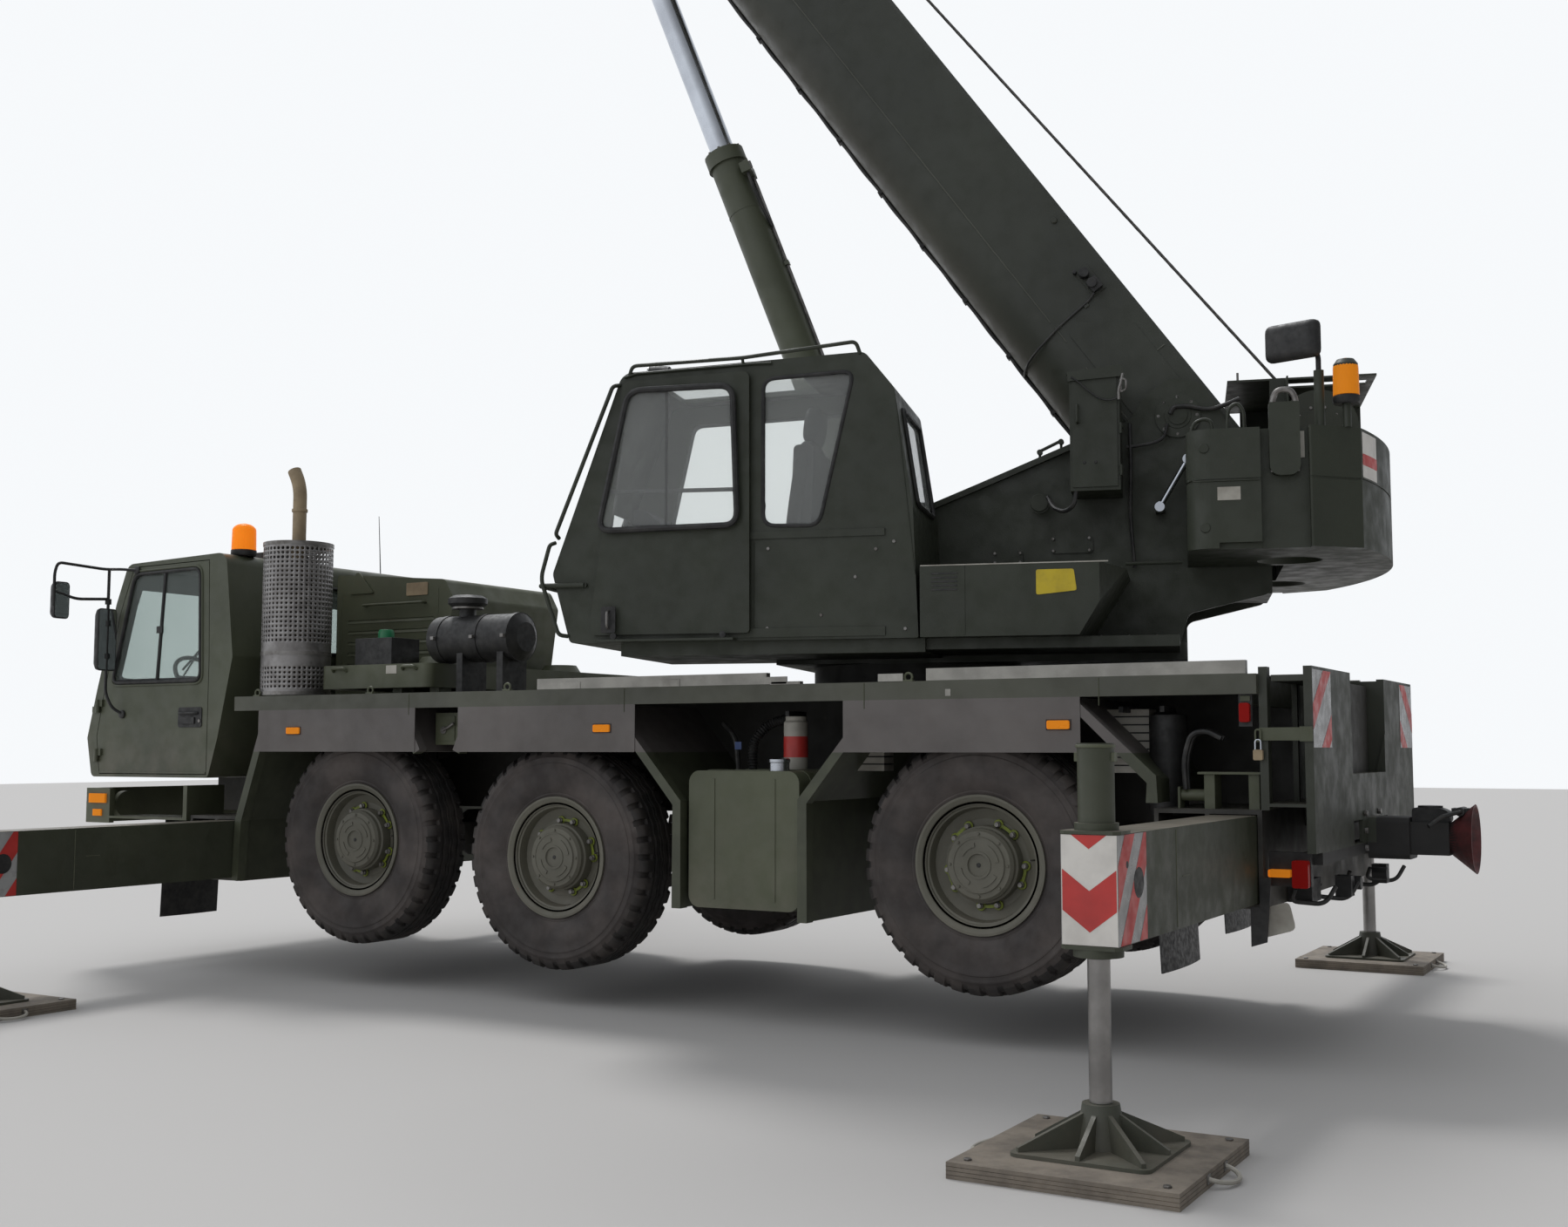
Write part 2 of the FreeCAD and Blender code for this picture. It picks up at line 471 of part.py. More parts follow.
def mudguards():
    """Skirts below the deck edge with the arch plates and webs that close them to the chassis."""
    low = DECK_Z - EDGE_H
    parts = []
    for s in (-1, 1):
        k0, k1 = between(s, DECK_HALF, DECK_HALF - SKIRT_T)
        a0, a1 = between(s, DECK_HALF - SKIRT_T, DECK_HALF - ARCH_DEPTH)
        i0, i1 = between(s, HULL_HALF, DECK_HALF - ARCH_DEPTH + GAP)
        for n, (x0, x1) in enumerate(SKIRTS):
            group = [box(x0, x1, k0, k1, SKIRT_Z, low)]
            for line in ARCHES[2 * n:2 * n + 2]:
                group.append(side([(x, min(z, low)) for x, z in band(line, ARCH_T)], a0, a1))
                group.append(side([(x, min(z, low)) for x, z in band(line, WEB_T)], i0, i1))
            parts.append(join(group))
    return Part.makeCompound(parts)


# Axles and wheels
def axles():
    """Three axle beams on their struts, with steering yokes in front and the drive shafts."""
    out = []
    for i, (x, z) in enumerate(zip(AXLE_X, HUB_Z)):
        end = KINGPIN_Y - 60 if i < 2 else WHEEL_Y - 185
        beam = cross([(-end, z - 50), (-end, z + 50), (-300, z + 75), (300, z + 75), (end, z + 50), (end, z - 50),
                      (300, z - 75), (-300, z - 75)], x - AXLE_HALF, x + AXLE_HALF)
        bulb = Part.makeSphere(BULB_R, V(x, 0, z)).common(box(x - BULB_R, x + BULB_R, -BULB_R, BULB_R, z - 160, z + 160))
        parts = [beam, bulb]
        for s in (-1, 1):
            parts.append(rod((x, s * STRUT_Y, z), (x, s * STRUT_Y, STRUT_TOP), STRUT_R))
            parts.append(rod((x, s * STRUT_Y, z + 120), (x, s * STRUT_Y, z + 330), STRUT_R + 22))
            y0, y1 = between(s, HULL_HALF, STRUT_Y)
            parts.append(box(x - 80, x + 80, y0, y1, STRUT_TOP - 80, STRUT_TOP))
            if i < 2:
                y0, y1 = between(s, end, end - YOKE_T)
                parts.append(box(x - AXLE_HALF, x + AXLE_HALF, y0, y1, z - YOKE_H, z + YOKE_H))
                y0, y1 = between(s, KINGPIN_Y, end - YOKE_T)
                for z0 in (z - YOKE_H, z + YOKE_H - YOKE_T):
                    parts.append(box(x - YOKE_R, x + YOKE_R, y0, y1, z0, z0 + YOKE_T))
                    parts.append(rod((x, s * KINGPIN_Y, z0), (x, s * KINGPIN_Y, z0 + YOKE_T), YOKE_R))
            else:
                parts.append(rod((x, s * end, z), (x, s * (end + 30), z), BULB_R))
                parts.append(rod((x, s * end, z), (x, s * (WHEEL_Y + 20), z), SPINDLE_R))
        # drive shaft from the gearbox, or from the axle ahead of it
        if i == 1:
            parts.append(rod((x, 0, z), (CASE_X[0] - 4 * GAP, 0, CASE_Z + 150), SHAFT_R))
        if i == 2:
            parts.append(rod((CASE_X[1] + 4 * GAP, 0, CASE_Z + 150), (x, 0, z), SHAFT_R))
        if i == 0:
            parts.append(rod((x, 0, z), (AXLE_X[1] - BULB_R - GAP, 0, HUB_Z[1] + 5), SHAFT_R))
        axle = join(parts)
        pins = []
        if i < 2:
            for s in (-1, 1):
                pins.append(rod((x, s * KINGPIN_Y, z - YOKE_H - 20), (x, s * KINGPIN_Y, z + YOKE_H + 20),
                                KINGPIN_R + PIN_GAP))
        out.append(less(axle, pins))
    return Part.makeCompound(out)


def knuckle(x, z, s):
    """Steering knuckle: its body and pin between the yoke's arms, brake plate, arm and spindle."""
    y, inner = s * KINGPIN_Y, YOKE_R - 1
    reach = YOKE_H - YOKE_T - 6
    y_in, y_out = sorted((y, y + s * 60))
    body = join([box(x - inner, x + inner, y_in, y_out, z - reach, z + reach), rod((x, y, z - reach), (x, y, z + reach), inner)])
    pin = rod((x, y, z - YOKE_H + 2), (x, y, z + YOKE_H - 2), KINGPIN_R)
    plate = rod((x, y + s * 60, z), (x, s * (WHEEL_Y - 155), z), BULB_R)
    arm = box(x - 190, x - 60, y_in, y_out, z - 60, z - 20)
    spindle = rod((x, y + s * 60, z), (x, s * (WHEEL_Y + 20), z), SPINDLE_R)
    return join([body, pin, plate, arm, spindle])


def wheel(x, z, s):
    """Tyre and rim with the planetary hub, outer face towards s."""
    tyre_profile = [(r, -a) for r, a in TYRE_SECTION] + [(r, a) for r, a in TYRE_SECTION[::-1]]
    well = RIM_R - 18
    rim_profile = [(RIM_R, -RIM_HALF), (FLANGE_R, -RIM_HALF), (FLANGE_R, -150), (RIM_R, -150), (RIM_R, 150)]
    rim_profile += list(RIM_OUTSIDE)
    rim_profile += [(0, 30), (SPINDLE_R + PIN_GAP, 30), (SPINDLE_R + PIN_GAP, -110), (130, -110), (150, 10), (240, 28),
                    (well, 40), (well, -RIM_HALF)]
    out = []
    for profile in (tyre_profile, rim_profile):
        solid = spun(profile, s)
        solid.translate(V(x, s * WHEEL_Y, z))
        out.append(solid)
    return out


# Outriggers
def outrigger(x, z, s):
    """Beam with its jack tube, then the jack rod with its pad, then the timber mat."""
    z0, z1 = z
    half = BEAM_W / 2
    y0, y1 = between(s, BEAM_IN, BEAM_OUT)
    beam = box(x - half, x + half, y0, y1, z0, z1)
    i0, i1 = between(s, BEAM_IN - 1, BEAM_OUT - BEAM_WALL)
    beam = beam.cut(box(x - half + BEAM_WALL, x + half - BEAM_WALL, i0, i1, z0 + BEAM_WALL, z1 - BEAM_WALL))
    y = s * JACK_Y
    jack = rod((x, y, z0 - JACK_COLLAR), (x, y, z1 + JACK_TOP), JACK_R)
    collar = rod((x, y, z0 - JACK_COLLAR), (x, y, z0), JACK_R + 25)
    foot_ring = rod((x, y, z1 + END_PLATE[1]), (x, y, z1 + 40), JACK_R + 14)
    length, upper, lower, cut = END_PLATE
    a, b = BEAM_OUT + 6, BEAM_OUT - length
    wide = half + 10
    shape = [(x - half, s * b), (x - wide, s * (b + cut)), (x - wide, s * (a - cut)), (x - wide + cut, s * a),
             (x + wide - cut, s * a), (x + wide, s * (a - cut)), (x + wide, s * (b + cut)), (x + half, s * b)]
    top = plan(shape, z1, z1 + upper)
    low = plan(shape, z0 - lower, z0)
    beam = join([beam, jack, collar, foot_ring, top, low])
    beam = beam.cut(rod((x, y, z0 - 60), (x, y, z1 + JACK_TOP - JACK_CAP), ROD_R + PIN_GAP))
    pad_top = MAT[2] + PAD_H
    chrome = rod((x, y, pad_top), (x, y, z1 + JACK_TOP - JACK_CAP - GAP - JACK_STROKE), ROD_R)
    plate = plan([(x - PAD_HALF, y - PAD_HALF), (x + PAD_HALF, y - PAD_HALF), (x + PAD_HALF, y + PAD_HALF),
                  (x - PAD_HALF, y + PAD_HALF)], MAT[2], MAT[2] + PAD_T, 40.0)
    hub = cone((x, y, MAT[2] + PAD_T), (x, y, pad_top), PAD_HUB_R + 20, PAD_HUB_R - 8)
    ribs = []
    for k in range(8):
        reach = (PAD_HALF - 8) * (1.0 if k % 2 == 0 else 1.3)
        rib = side([(0, MAT[2] + PAD_T), (reach, MAT[2] + PAD_T), (reach, MAT[2] + PAD_T + 16), (70, pad_top - 30),
                    (0, pad_top - 30)], -PAD_RIB_T / 2, PAD_RIB_T / 2)
        rib.rotate(V(0, 0, 0), V(0, 0, 1), 45 * k)
        rib.translate(V(x, y, 0))
        ribs.append(rib)
    foot = join([chrome, plate, hub] + ribs)
    mat = box(x - MAT[0] / 2, x + MAT[0] / 2, y - MAT[1] / 2, y + MAT[1] / 2, 0, MAT[2])
    return beam, foot, mat


# Carrier cab
def carrier_cab():
    """Hollow cab of the carrier, cut for its doors, windscreen, rear light and grille."""
    shell = side(CAB_SIDE_LINE, -CAB_SIDE, CAB_SIDE, CAB_CORNERS)
    room = side(inset(CAB_SIDE_LINE, CAB_WALL), -CAB_SIDE + CAB_WALL, CAB_SIDE - CAB_WALL,
                [max(r - CAB_WALL, 0.0) for r in CAB_CORNERS])
    cuts = [room]
    for s in (-1, 1):
        y0, y1 = between(s, CAB_SIDE + 5, CAB_SIDE - CAB_WALL - 5)
        cuts.append(side(inset(DOOR_LINE, -DOOR_GAP), y0, y1))
    cuts.append(side(WINDSCREEN, -WINDSCREEN_HALF, WINDSCREEN_HALF))
    half, z0, z1 = REAR_LIGHT
    cuts.append(box(-4800, -4600, -half, half, z0, z1))
    cuts += [box(FRONT_X - 20, FRONT_X + 150, -GRILLE_HALF, GRILLE_HALF, z, z + GRILLE_H) for z in GRILLE_Z]
    visor = side(VISOR_LINE, -WINDSCREEN_HALF, WINDSCREEN_HALF)
    return join([less(shell, cuts), visor] + hinge_pins())


def cab_door(s):
    """Cab door with its window opening and hinge knuckles."""
    y0, y1 = between(s, CAB_SIDE, CAB_SIDE - CAB_WALL)
    panel = side(DOOR_LINE, y0, y1)
    panel = panel.cut(side(DOOR_WINDOW, y0 - 5, y1 + 5, WINDOW_CORNER))
    x, y = HINGE_X, s * HINGE_Y
    knuckles = []
    for z in HINGE_Z:
        l0, l1 = sorted((s * CAB_SIDE, y))
        knuckles.append(rod((x, y, z), (x, y, z + HINGE_H), HINGE_R))
        knuckles.append(box(x, x + 45, l0, l1, z, z + HINGE_H))
    body = join([panel] + knuckles)
    return less(body, [rod((x, y, z - 5), (x, y, z + HINGE_H + 5), HINGE_PIN + PIN_GAP) for z in HINGE_Z])


def hinge_pins():
    """Door hinge pins with their leaves, part of the cab's pillars."""
    out = []
    for s in (-1, 1):
        x, y = HINGE_X, s * HINGE_Y
        l0, l1 = sorted((s * CAB_SIDE, y))
        for z in HINGE_Z:
            out.append(rod((x, y, z - 45), (x, y, z + HINGE_H), HINGE_PIN))
            out.append(rod((x, y, z - 45), (x, y, z - PIN_GAP), HINGE_R))
            out.append(box(x - 60, x, l0, l1, z - 45, z - PIN_GAP))
    return out


def cab_inside():
    """Floor-mounted seats, dash and wheel of the carrier cab."""
    floor = CAB_FLOOR + CAB_WALL
    seats = []
    x0, x1, x2, x3 = CREW_SEAT_X
    for y in CREW_SEAT_Y:
        seats.append(join([side([(x0, floor), (x0 + 20, floor + 300), (x0, floor + 420), (x2, floor + 420), (x2, floor)],
                                y - CREW_SEAT_HALF, y + CREW_SEAT_HALF, 20.0),
                           side([(x1, floor + 400), (x1 + 20, floor + 1060), (x3, floor + 1060), (x3, floor + 400)],
                                y - CREW_SEAT_HALF, y + CREW_SEAT_HALF, 30.0)]))
    dash = side(DASH_LINE, -DASH_HALF, DASH_HALF).common(side(inset(CAB_SIDE_LINE, CAB_WALL), -DASH_HALF, DASH_HALF))
    wx, wy, wz = WHEEL_CENTRE
    column = rod((wx - 210, wy, wz - 180), WHEEL_CENTRE, 30)
    ring = Part.makeTorus(WHEEL_R, 16, V(*WHEEL_CENTRE), V(0.76, 0, 0.65))
    spoke = rod((wx, wy - WHEEL_R + 10, wz), (wx, wy + WHEEL_R - 10, wz), 14)
    return Part.makeCompound([join([dash, column, ring, spoke])] + seats)


def front_bumper():
    """Bumper with its side steps, towing jaw and lamp pots."""
    x0, x1, x2, x3, x4 = BUMPER_X
    z0, z1, z2, z3 = BUMPER_Z
    parts = [box(x0, x1, -CAB_SIDE + 35, CAB_SIDE - 35, z0, z3)]
    pots = []
    for s in (-1, 1):
        y0, y1 = between(s, CAB_SIDE - 5, CAB_SIDE - 45)
        parts.append(box(x0, x2, y0, y1, z0, z3))
        y0, y1 = between(s, CAB_SIDE - 5, CAB_SIDE - 335)
        parts.append(box(x2, x4, y0, y1, z1, z2))
        parts.append(box(x3, x4, y0, y1, z2, CAB_FLOOR - 55))
        parts.append(rod((x1, s * LAMP_Y, LAMP_Z), (x1 + 70, s * LAMP_Y, LAMP_Z), LAMP_R + 12))
        pots.append(rod((x0 - 5, s * LAMP_Y, LAMP_Z), (x0 + 50, s * LAMP_Y, LAMP_Z), LAMP_R))
        pots.append(box(x0 - 5, x0 + 40, s * (LAMP_Y - 200) - 60, s * (LAMP_Y - 200) + 60, LAMP_Z - 45, LAMP_Z + 45))
    parts.append(box(x1, NOSE_FRONT, -300, 300, 1090, 1250))
    parts.append(box(x0 - 8, x0, -150, 150, 1100, 1240))
    pots.append(box(x0 - 10, x0 + 60, -60, 60, 1130, 1210))
    return less(join(parts), pots)


# Things on the carrier's deck
def hood():
    """Engine hood: a shell with louvres in its left side."""
    y0, y1 = HOOD_Y
    shell = side(HOOD_LINE, y0, y1, (0.0, 0.0, 40.0, 60.0, 20.0))
    room = side(inset(HOOD_LINE, HOOD_T), y0 + HOOD_T, y1 - HOOD_T, (0.0, 0.0, 32.0, 52.0, 12.0))
    slots = [box(LOUVRE_X[0], LOUVRE_X[1], y0 - 5, y0 + HOOD_T + 5, z, z + LOUVRE_H) for z in LOUVRE_Z]
    return less(shell, [room] + slots)


def exhaust():
    """Silencer in its round guard, with the stack above."""
    x, y = STACK_X, STACK_Y
    guard = tube((x, y, DECK_Z), (x, y, GUARD_TOP), GUARD_R, GUARD_R - GUARD_T)
    base = rod((x, y, DECK_Z), (x, y, DECK_Z + 8), GUARD_R - GUARD_T)
    silencer = rod((x, y, DECK_Z + 8), (x, y, SILENCER_TOP), SILENCER_R)
    stack = rod((x, y, SILENCER_TOP), (x, y, STACK_BEND), STACK_R)
    ball = Part.makeSphere(STACK_R, V(x, y, STACK_BEND))
    tip = rod((x, y, STACK_BEND), (x - 60, y, STACK_TOP), STACK_R)
    across = GUARD_R - GUARD_T / 2
    stays = [box(x - across, x + across, y - 10, y + 10, z, z + 30) for z in STAY_Z]
    return join([guard, base, silencer, stack, ball, tip] + stays)


def air_cleaner():
    """Air cleaner can on two feet with its bands, dust bowl and rain hat."""
    y, z, r = CLEANER_Y, CLEANER_Z, CLEANER_R
    x0, x1 = CLEANER_X
    can = rod((x0 + 30, y, z), (x1 - 40, y, z), r)
    ends = [cone((x0 + 30, y, z), (x0, y, z), r, r - 35), cone((x1 - 40, y, z), (x1, y, z), r, r - 60)]
    bands = [rod((x, y, z), (x + 30, y, z), r + 5) for x in (x0 + 90, x0 + 420, x1 - 70)]
    neck = rod((INTAKE_X, y, z + 100), (INTAKE_X, y, INTAKE_Z[0]), INTAKE_R)
    hat = [cone((INTAKE_X, y, INTAKE_Z[0]), (INTAKE_X, y, INTAKE_Z[0] + 25), 100, 130),
           rod((INTAKE_X, y, INTAKE_Z[0] + 25), (INTAKE_X, y, INTAKE_Z[1] - 20), 130),
           cone((INTAKE_X, y, INTAKE_Z[1] - 20), (INTAKE_X, y, INTAKE_Z[1]), 130, 95)]
    feet = [box(x - 25, x + 25, y - 120, y + 120, DECK_Z, z) for x in (-2800, -2460)]
    return join([can, neck] + ends + bands + hat + feet)


def deck_ballast():
    """Spare counterweight slab with its two centring cones, lying on the deck behind the hood."""
    z0, z1 = SLAB_Z
    x0, x1, x2 = SLAB_X
    n0, n1 = SLAB_NOTCH
    slab = plan([(x0, -SLAB_HALF), (x2, -SLAB_HALF), (x2, SLAB_HALF), (x0, SLAB_HALF), (x0, n1), (x1, n1), (x1, n0),
                 (x0, n0)], z0, z1, (60.0, 60.0, 60.0, 60.0, 10.0, 10.0, 10.0, 10.0))
    cones = [cone((CONE_X, s * CONE_Y, z1), (CONE_X, s * CONE_Y, z1 + CONE_H), *CONE_R) for s in (-1, 1)]
    y = SLAB_HALF - 190
    feet = [box(x - 40, x + 40, s * y - 60, s * y + 60, DECK_Z, z0) for x in (-3350, -3020) for s in (-1, 1)]
    return join([slab] + cones + feet)


def tanks():
    """Fuel tank, left, and the hydraulic tank, right, each held to the chassis on two arms."""
    out = []
    x0, x1 = TANK_X
    z0, z1 = TANK_Z
    line = ((x0, z0), (x1, z0), (x1, z1), (x0, z1))
    for s in (-1, 1):
        y0, y1 = between(s, TANK_Y[1], TANK_Y[0])
        body = side(line, y0, y1, TANK_CORNER)
        straps = []
        for y in (TANK_Y[0] + 120, TANK_Y[1] - 170):
            a0, a1 = between(s, y, y + STRAP_W)
            straps.append(side(inset(line, -STRAP_T), a0, a1, TANK_CORNER + STRAP_T))
        cap = rod((x1 - 180, s * (TANK_Y[1] - 90), z1), (x1 - 180, s * (TANK_Y[1] - 90), z1 + 62), 55)
        a0, a1 = between(s, TANK_Y[0], HULL_HALF)
        arms = [box(x - 30, x + 30, a0, a1, *TANK_ARM_Z) for x in TANK_ARM_X]
        out.append(join([body, cap] + straps + arms))
    return Part.makeCompound(out)


def stowage():
    """Rear rack: two broad uprights each side with the floor and the cross-member between."""
    x0, x1, x2, x3, x4 = RACK_X
    y_in, y_post, y_rail, y_out = RACK_Y
    z0, z1, z2, z3, z4, z5 = RACK_Z
    parts = []
    for s in (-1, 1):
        y0, y1 = between(s, y_out, y_in)
        parts.append(box(x3, x4, y0, y1, z1, z5))
        parts.append(box(x0, x3, y0, y1, z2, z3))
        p0, p1 = between(s, y_out, y_rail)
        parts.append(box(x0, x1, p0, p1, z2 - 17, z5))
        i0, i1 = between(s, y_post, y_in)
        parts.append(box(x1, x3, i0, i1, z3, z5 - 10))
        parts.append(box(x0, x1, i0, i1, z3, z4))
        g0, g1 = between(s, y_in, y_in - 16)
        parts.append(side([(x3 - 10, RACK_BEAM_Z[1]), (x4, RACK_BEAM_Z[1] + 210), (x4, RACK_BEAM_Z[0]), (x3 - 10, RACK_BEAM_Z[0])],
                          g0, g1))
        for y in RACK_RODS:
            q0, q1 = between(s, y, y + 26)
            parts.append(box(x1 + 20, x1 + 46, q0, q1, z3, z5 - 60))
        q0, q1 = between(s, y_in, y_out)
        parts.append(box(x1 + 20, x3, q0, q1, z5 - 70, z5 - 40))
    parts.append(box(x2, x4, -y_in, y_in, *RACK_BEAM_Z))
    parts.append(box(x2, x4, -RACK_BAR, RACK_BAR, z0, z1))
    return join(parts + coupling())


def coupling():
    """Trailer coupling: draw beam plate, body and funnel mouth."""
    z = COUPLING_Z
    plate = box(RACK_X[4] - 20, RACK_X[4], -230, 230, 1000, 1240)
    body = [cross([(-120, z - 110), (120, z - 110), (120, z + 110), (-120, z + 110)], RACK_X[4], 2900, 30.0),
            box(2900, REAR_X - MOUTH_LEN + 10, -85, 85, z - 85, z + 85),
            rod((2990, 0, z), (2990, 0, z + 150), 45), rod((2990, 0, z + 150), (2990, 0, z + 170), 62)]
    mouth = cone((REAR_X - MOUTH_LEN, 0, z), (REAR_X, 0, z), *MOUTH_R)
    mouth = mouth.cut(cone((REAR_X - MOUTH_LEN + 10, 0, z), (REAR_X + 1, 0, z), MOUTH_R[0] - 15, MOUTH_R[1] - MOUTH_WALL))
    return [plate] + body + [mouth]


# Upper works, in their own frame
def turntable():
    """Slewing platform with the cheeks of the boom foot and the ears of the luffing cylinder."""
    base = plan([(BASE_X[0], -BASE_HALF), (BASE_X[1], -BASE_HALF), (BASE_X[1], BASE_HALF), (BASE_X[0], BASE_HALF)],
                BASE_Z, BASE_TOP, 60.0)
    base = base.cut(rod((0, 0, BASE_Z - 10), (0, 0, BASE_Z + 60), RING_R - 120))
    parts = [base, tube((0, 0, RING_TOP + SEAT), (0, 0, BASE_Z + 5), RING_R - 10, RING_R - 80)]
    for s in (-1, 1):
        y0, y1 = between(s, CHEEK_IN, CHEEK_IN + CHEEK_T)
        parts.append(side(CHEEK_LINE, y0, y1, (0.0, 60.0, 90.0, 0.0, 40.0, 60.0, 80.0, 80.0, 80.0, 60.0, 60.0, 60.0, 0.0)))
        y0, y1 = between(s, CHEEK_IN, CHEEK_IN + FLANGE_W)
        parts.append(side(band(FLANGE_LINE, FLANGE_T), y0, y1))
        y0, y1 = between(s, CHEEK_IN + CHEEK_T, CHEEK_IN + CHEEK_T + 14)
        parts += [side([(a, c), (b, c), (b, d), (a, d)], y0, y1, 20.0) for a, b, c, d in COVERS]
        boss = between(s, CHEEK_IN + CHEEK_T, CHEEK_IN + CHEEK_T + 16)
        parts.append(rod((FOOT[0], boss[0], FOOT[1]), (FOOT[0], boss[1], FOOT[1]), 130))
        # ears of the luffing cylinder
        e0, e1 = between(s, EAR_IN, EAR_IN + EAR_T)
        parts.append(side(EAR_LINE, e0, e1, (0.0, 0.0, 40.0, 40.0, 40.0, 40.0)))
    apron = BASE_TOP - APRON_T
    parts.append(box(-1500, 250, -CCAB_OUT + 55, -CHEEK_IN, apron - 15, BASE_TOP))
    parts.append(box(60, 1600, -CCAB_OUT + 85, -CHEEK_IN, apron, BASE_TOP))
    parts.append(box(-200, BASE_X[1], CHEEK_IN, FAR_OUT - 50, apron, BASE_TOP))
    # the cross bar low between the cheeks, and the counterweight bearer behind
    parts.append(box(1250, BASE_X[1], -CHEEK_IN, CHEEK_IN, BASE_TOP, 2480))
    parts.append(box(BASE_X[1], 2120, -CHEEK_IN, CHEEK_IN, 2440, 2580))
    for s in (-1, 1):
        y0, y1 = between(s, CHEEK_IN + CHEEK_T, CW_SLOT)
        parts.append(box(1760, 2040, y0, y1, 2660, 2840))
    body = join(parts)
    foot = rod((FOOT[0], -CHEEK_IN - 70, FOOT[1]), (FOOT[0], CHEEK_IN + 70, FOOT[1]), FOOT_R)
    caps = []
    for s in (-1, 1):
        y0 = s * (EAR_IN + EAR_T)
        caps.append(rod((LUFF_BASE[0], y0, LUFF_BASE[1]), (LUFF_BASE[0], y0 + s * 14, LUFF_BASE[1]), LUFF_PIN_R + 16))
    return join([body, foot] + caps)


def tail_face(z, d):
    """Plan outline of the counterweight at height z, drawn in by d: round tail, straight sides, rounded front."""
    half, front, r, corner = CW_HALF - d, CW_FRONT + d, TAIL_R - d, CW_CORNER
    y_c = math.sqrt(TAIL_R ** 2 - TAIL_X[1] ** 2) - d
    x_c = math.sqrt(r * r - y_c * y_c)
    k = corner * (1 - math.sqrt(0.5))
    pts = [V(TAIL_X[0], -half, z), V(x_c, -y_c, z), V(r, 0, z), V(x_c, y_c, z), V(TAIL_X[0], half, z),
           V(front + corner, half, z), V(front + k, half - k, z), V(front, half - corner, z), V(front, -half + corner, z),
           V(front + k, -half + k, z), V(front + corner, -half, z)]
    edges = [Part.makeLine(pts[0], pts[1]), Part.Arc(pts[1], pts[2], pts[3]).toShape(), Part.makeLine(pts[3], pts[4]),
             Part.makeLine(pts[4], pts[5]), Part.Arc(pts[5], pts[6], pts[7]).toShape(), Part.makeLine(pts[7], pts[8]),
             Part.Arc(pts[8], pts[9], pts[10]).toShape(), Part.makeLine(pts[10], pts[0])]
    return Part.Face(Part.Wire(edges))


def counterweight():
    """Cast counterweight in two welded layers, with lifting lugs in its side recesses."""
    deep, high = CW_SEAM
    body = join([tail_face(CW_Z, 0.0).extrude(V(0, 0, CW_LEDGE - high / 2 - CW_Z)),
                 tail_face(CW_LEDGE - high / 2, deep).extrude(V(0, 0, high)),
                 tail_face(CW_LEDGE + high / 2, 0.0).extrude(V(0, 0, CW_TOP - CW_LEDGE - high / 2))])
    cuts = [box(CW_FRONT - 10, CW_SLOT_REAR, -CW_SLOT, CW_SLOT, CW_Z - 10, CW_TOP + 10),
            box(CW_SLOT_REAR - 10, 2700, -CW_SLOT, CW_SLOT, CW_WELL_Z, CW_TOP + 10)]
    sx, sy, r0, r1, depth = SOCKET
    for s in (-1, 1):
        y0, y1 = between(s, CW_HALF + 10, CW_HALF - RECESS_D)
        cuts.append(box(RECESS_X[0], RECESS_X[1], y0, y1, CW_Z - 10, CW_TOP + 10))
        cuts.append(cone((sx, s * sy, CW_Z - 1), (sx, s * sy, CW_Z + depth), r0, r1))
        y0, y1 = between(s, CW_HALF + 10, CW_HALF - 40)
        cuts.append(box(CW_FRONT + 160, CW_FRONT + 420, y0, y1, CW_Z - 10, CW_Z + 30))
    body = less(body, cuts)
    lugs = []
    for s in (-1, 1):
        y0, y1 = between(s, CW_HALF - 5, CW_HALF - RECESS_D)
        x0, x1 = LIFT_X
        z0, z1 = LIFT_Z
        lugs.append(side([(x0, z0), (x1, z0), (x1, z1), (x0, z1)], y0, y1, (LIFT_CORNER, LIFT_CORNER, 8.0, 8.0)))
    bx, by, post, lens, foot, top = BEACON
    lugs += [rod((bx, by, CW_TOP), (bx, by, foot), post), rod((bx, by, foot - 30), (bx, by, foot), lens - 6),
             rod((bx, by, foot), (bx, by, top - 25), lens), cone((bx, by, top - 25), (bx, by, top), lens, lens - 18)]
    mx, my, mr, mz = MIRROR_POST
    lugs.append(rod((mx, my, CW_TOP), (mx, my, mz), mr))
    return join([body] + lugs)


def winch():
    """Hoist winch: grooved drum between flanges, on two stands, with its gear hub."""
    x, z = WINCH_X, WINCH_Z
    pitch = 2 * DRUM_HALF / 24
    profile = [(0, -DRUM_HALF)]
    for k in range(24):
        a = -DRUM_HALF + k * pitch
        profile += [(DRUM_R, a), (DRUM_R - 7, a + pitch / 2)]
    profile += [(DRUM_R, DRUM_HALF), (0, DRUM_HALF)]
    drum = spun(profile)
    drum.translate(V(x, 0, z))
    flanges = [rod((x, y, z), (x, y + DRUM_RIM, z), DRUM_FLANGE) for y in (-DRUM_HALF - DRUM_RIM, DRUM_HALF)]
    sides = (-DRUM_HALF - STAND_GAP - STAND_T, DRUM_HALF + STAND_GAP)
    stands = [side(STAND_LINE, y, y + STAND_T, (0.0, 0.0, 60.0, 60.0)) for y in sides]
    collar = STAND_GAP - DRUM_RIM
    hubs = [rod((x, y, z), (x, y + collar, z), DRUM_HUB_R) for y in (-DRUM_HALF - STAND_GAP, DRUM_HALF + DRUM_RIM)]
    gear, y = [], DRUM_HALF + STAND_GAP + STAND_T
    for reach, radius in GEAR:
        gear.append(rod((x, y, z), (x, DRUM_HALF + reach, z), radius))
        y = DRUM_HALF + reach
    return join([drum] + flanges + stands + hubs + gear)


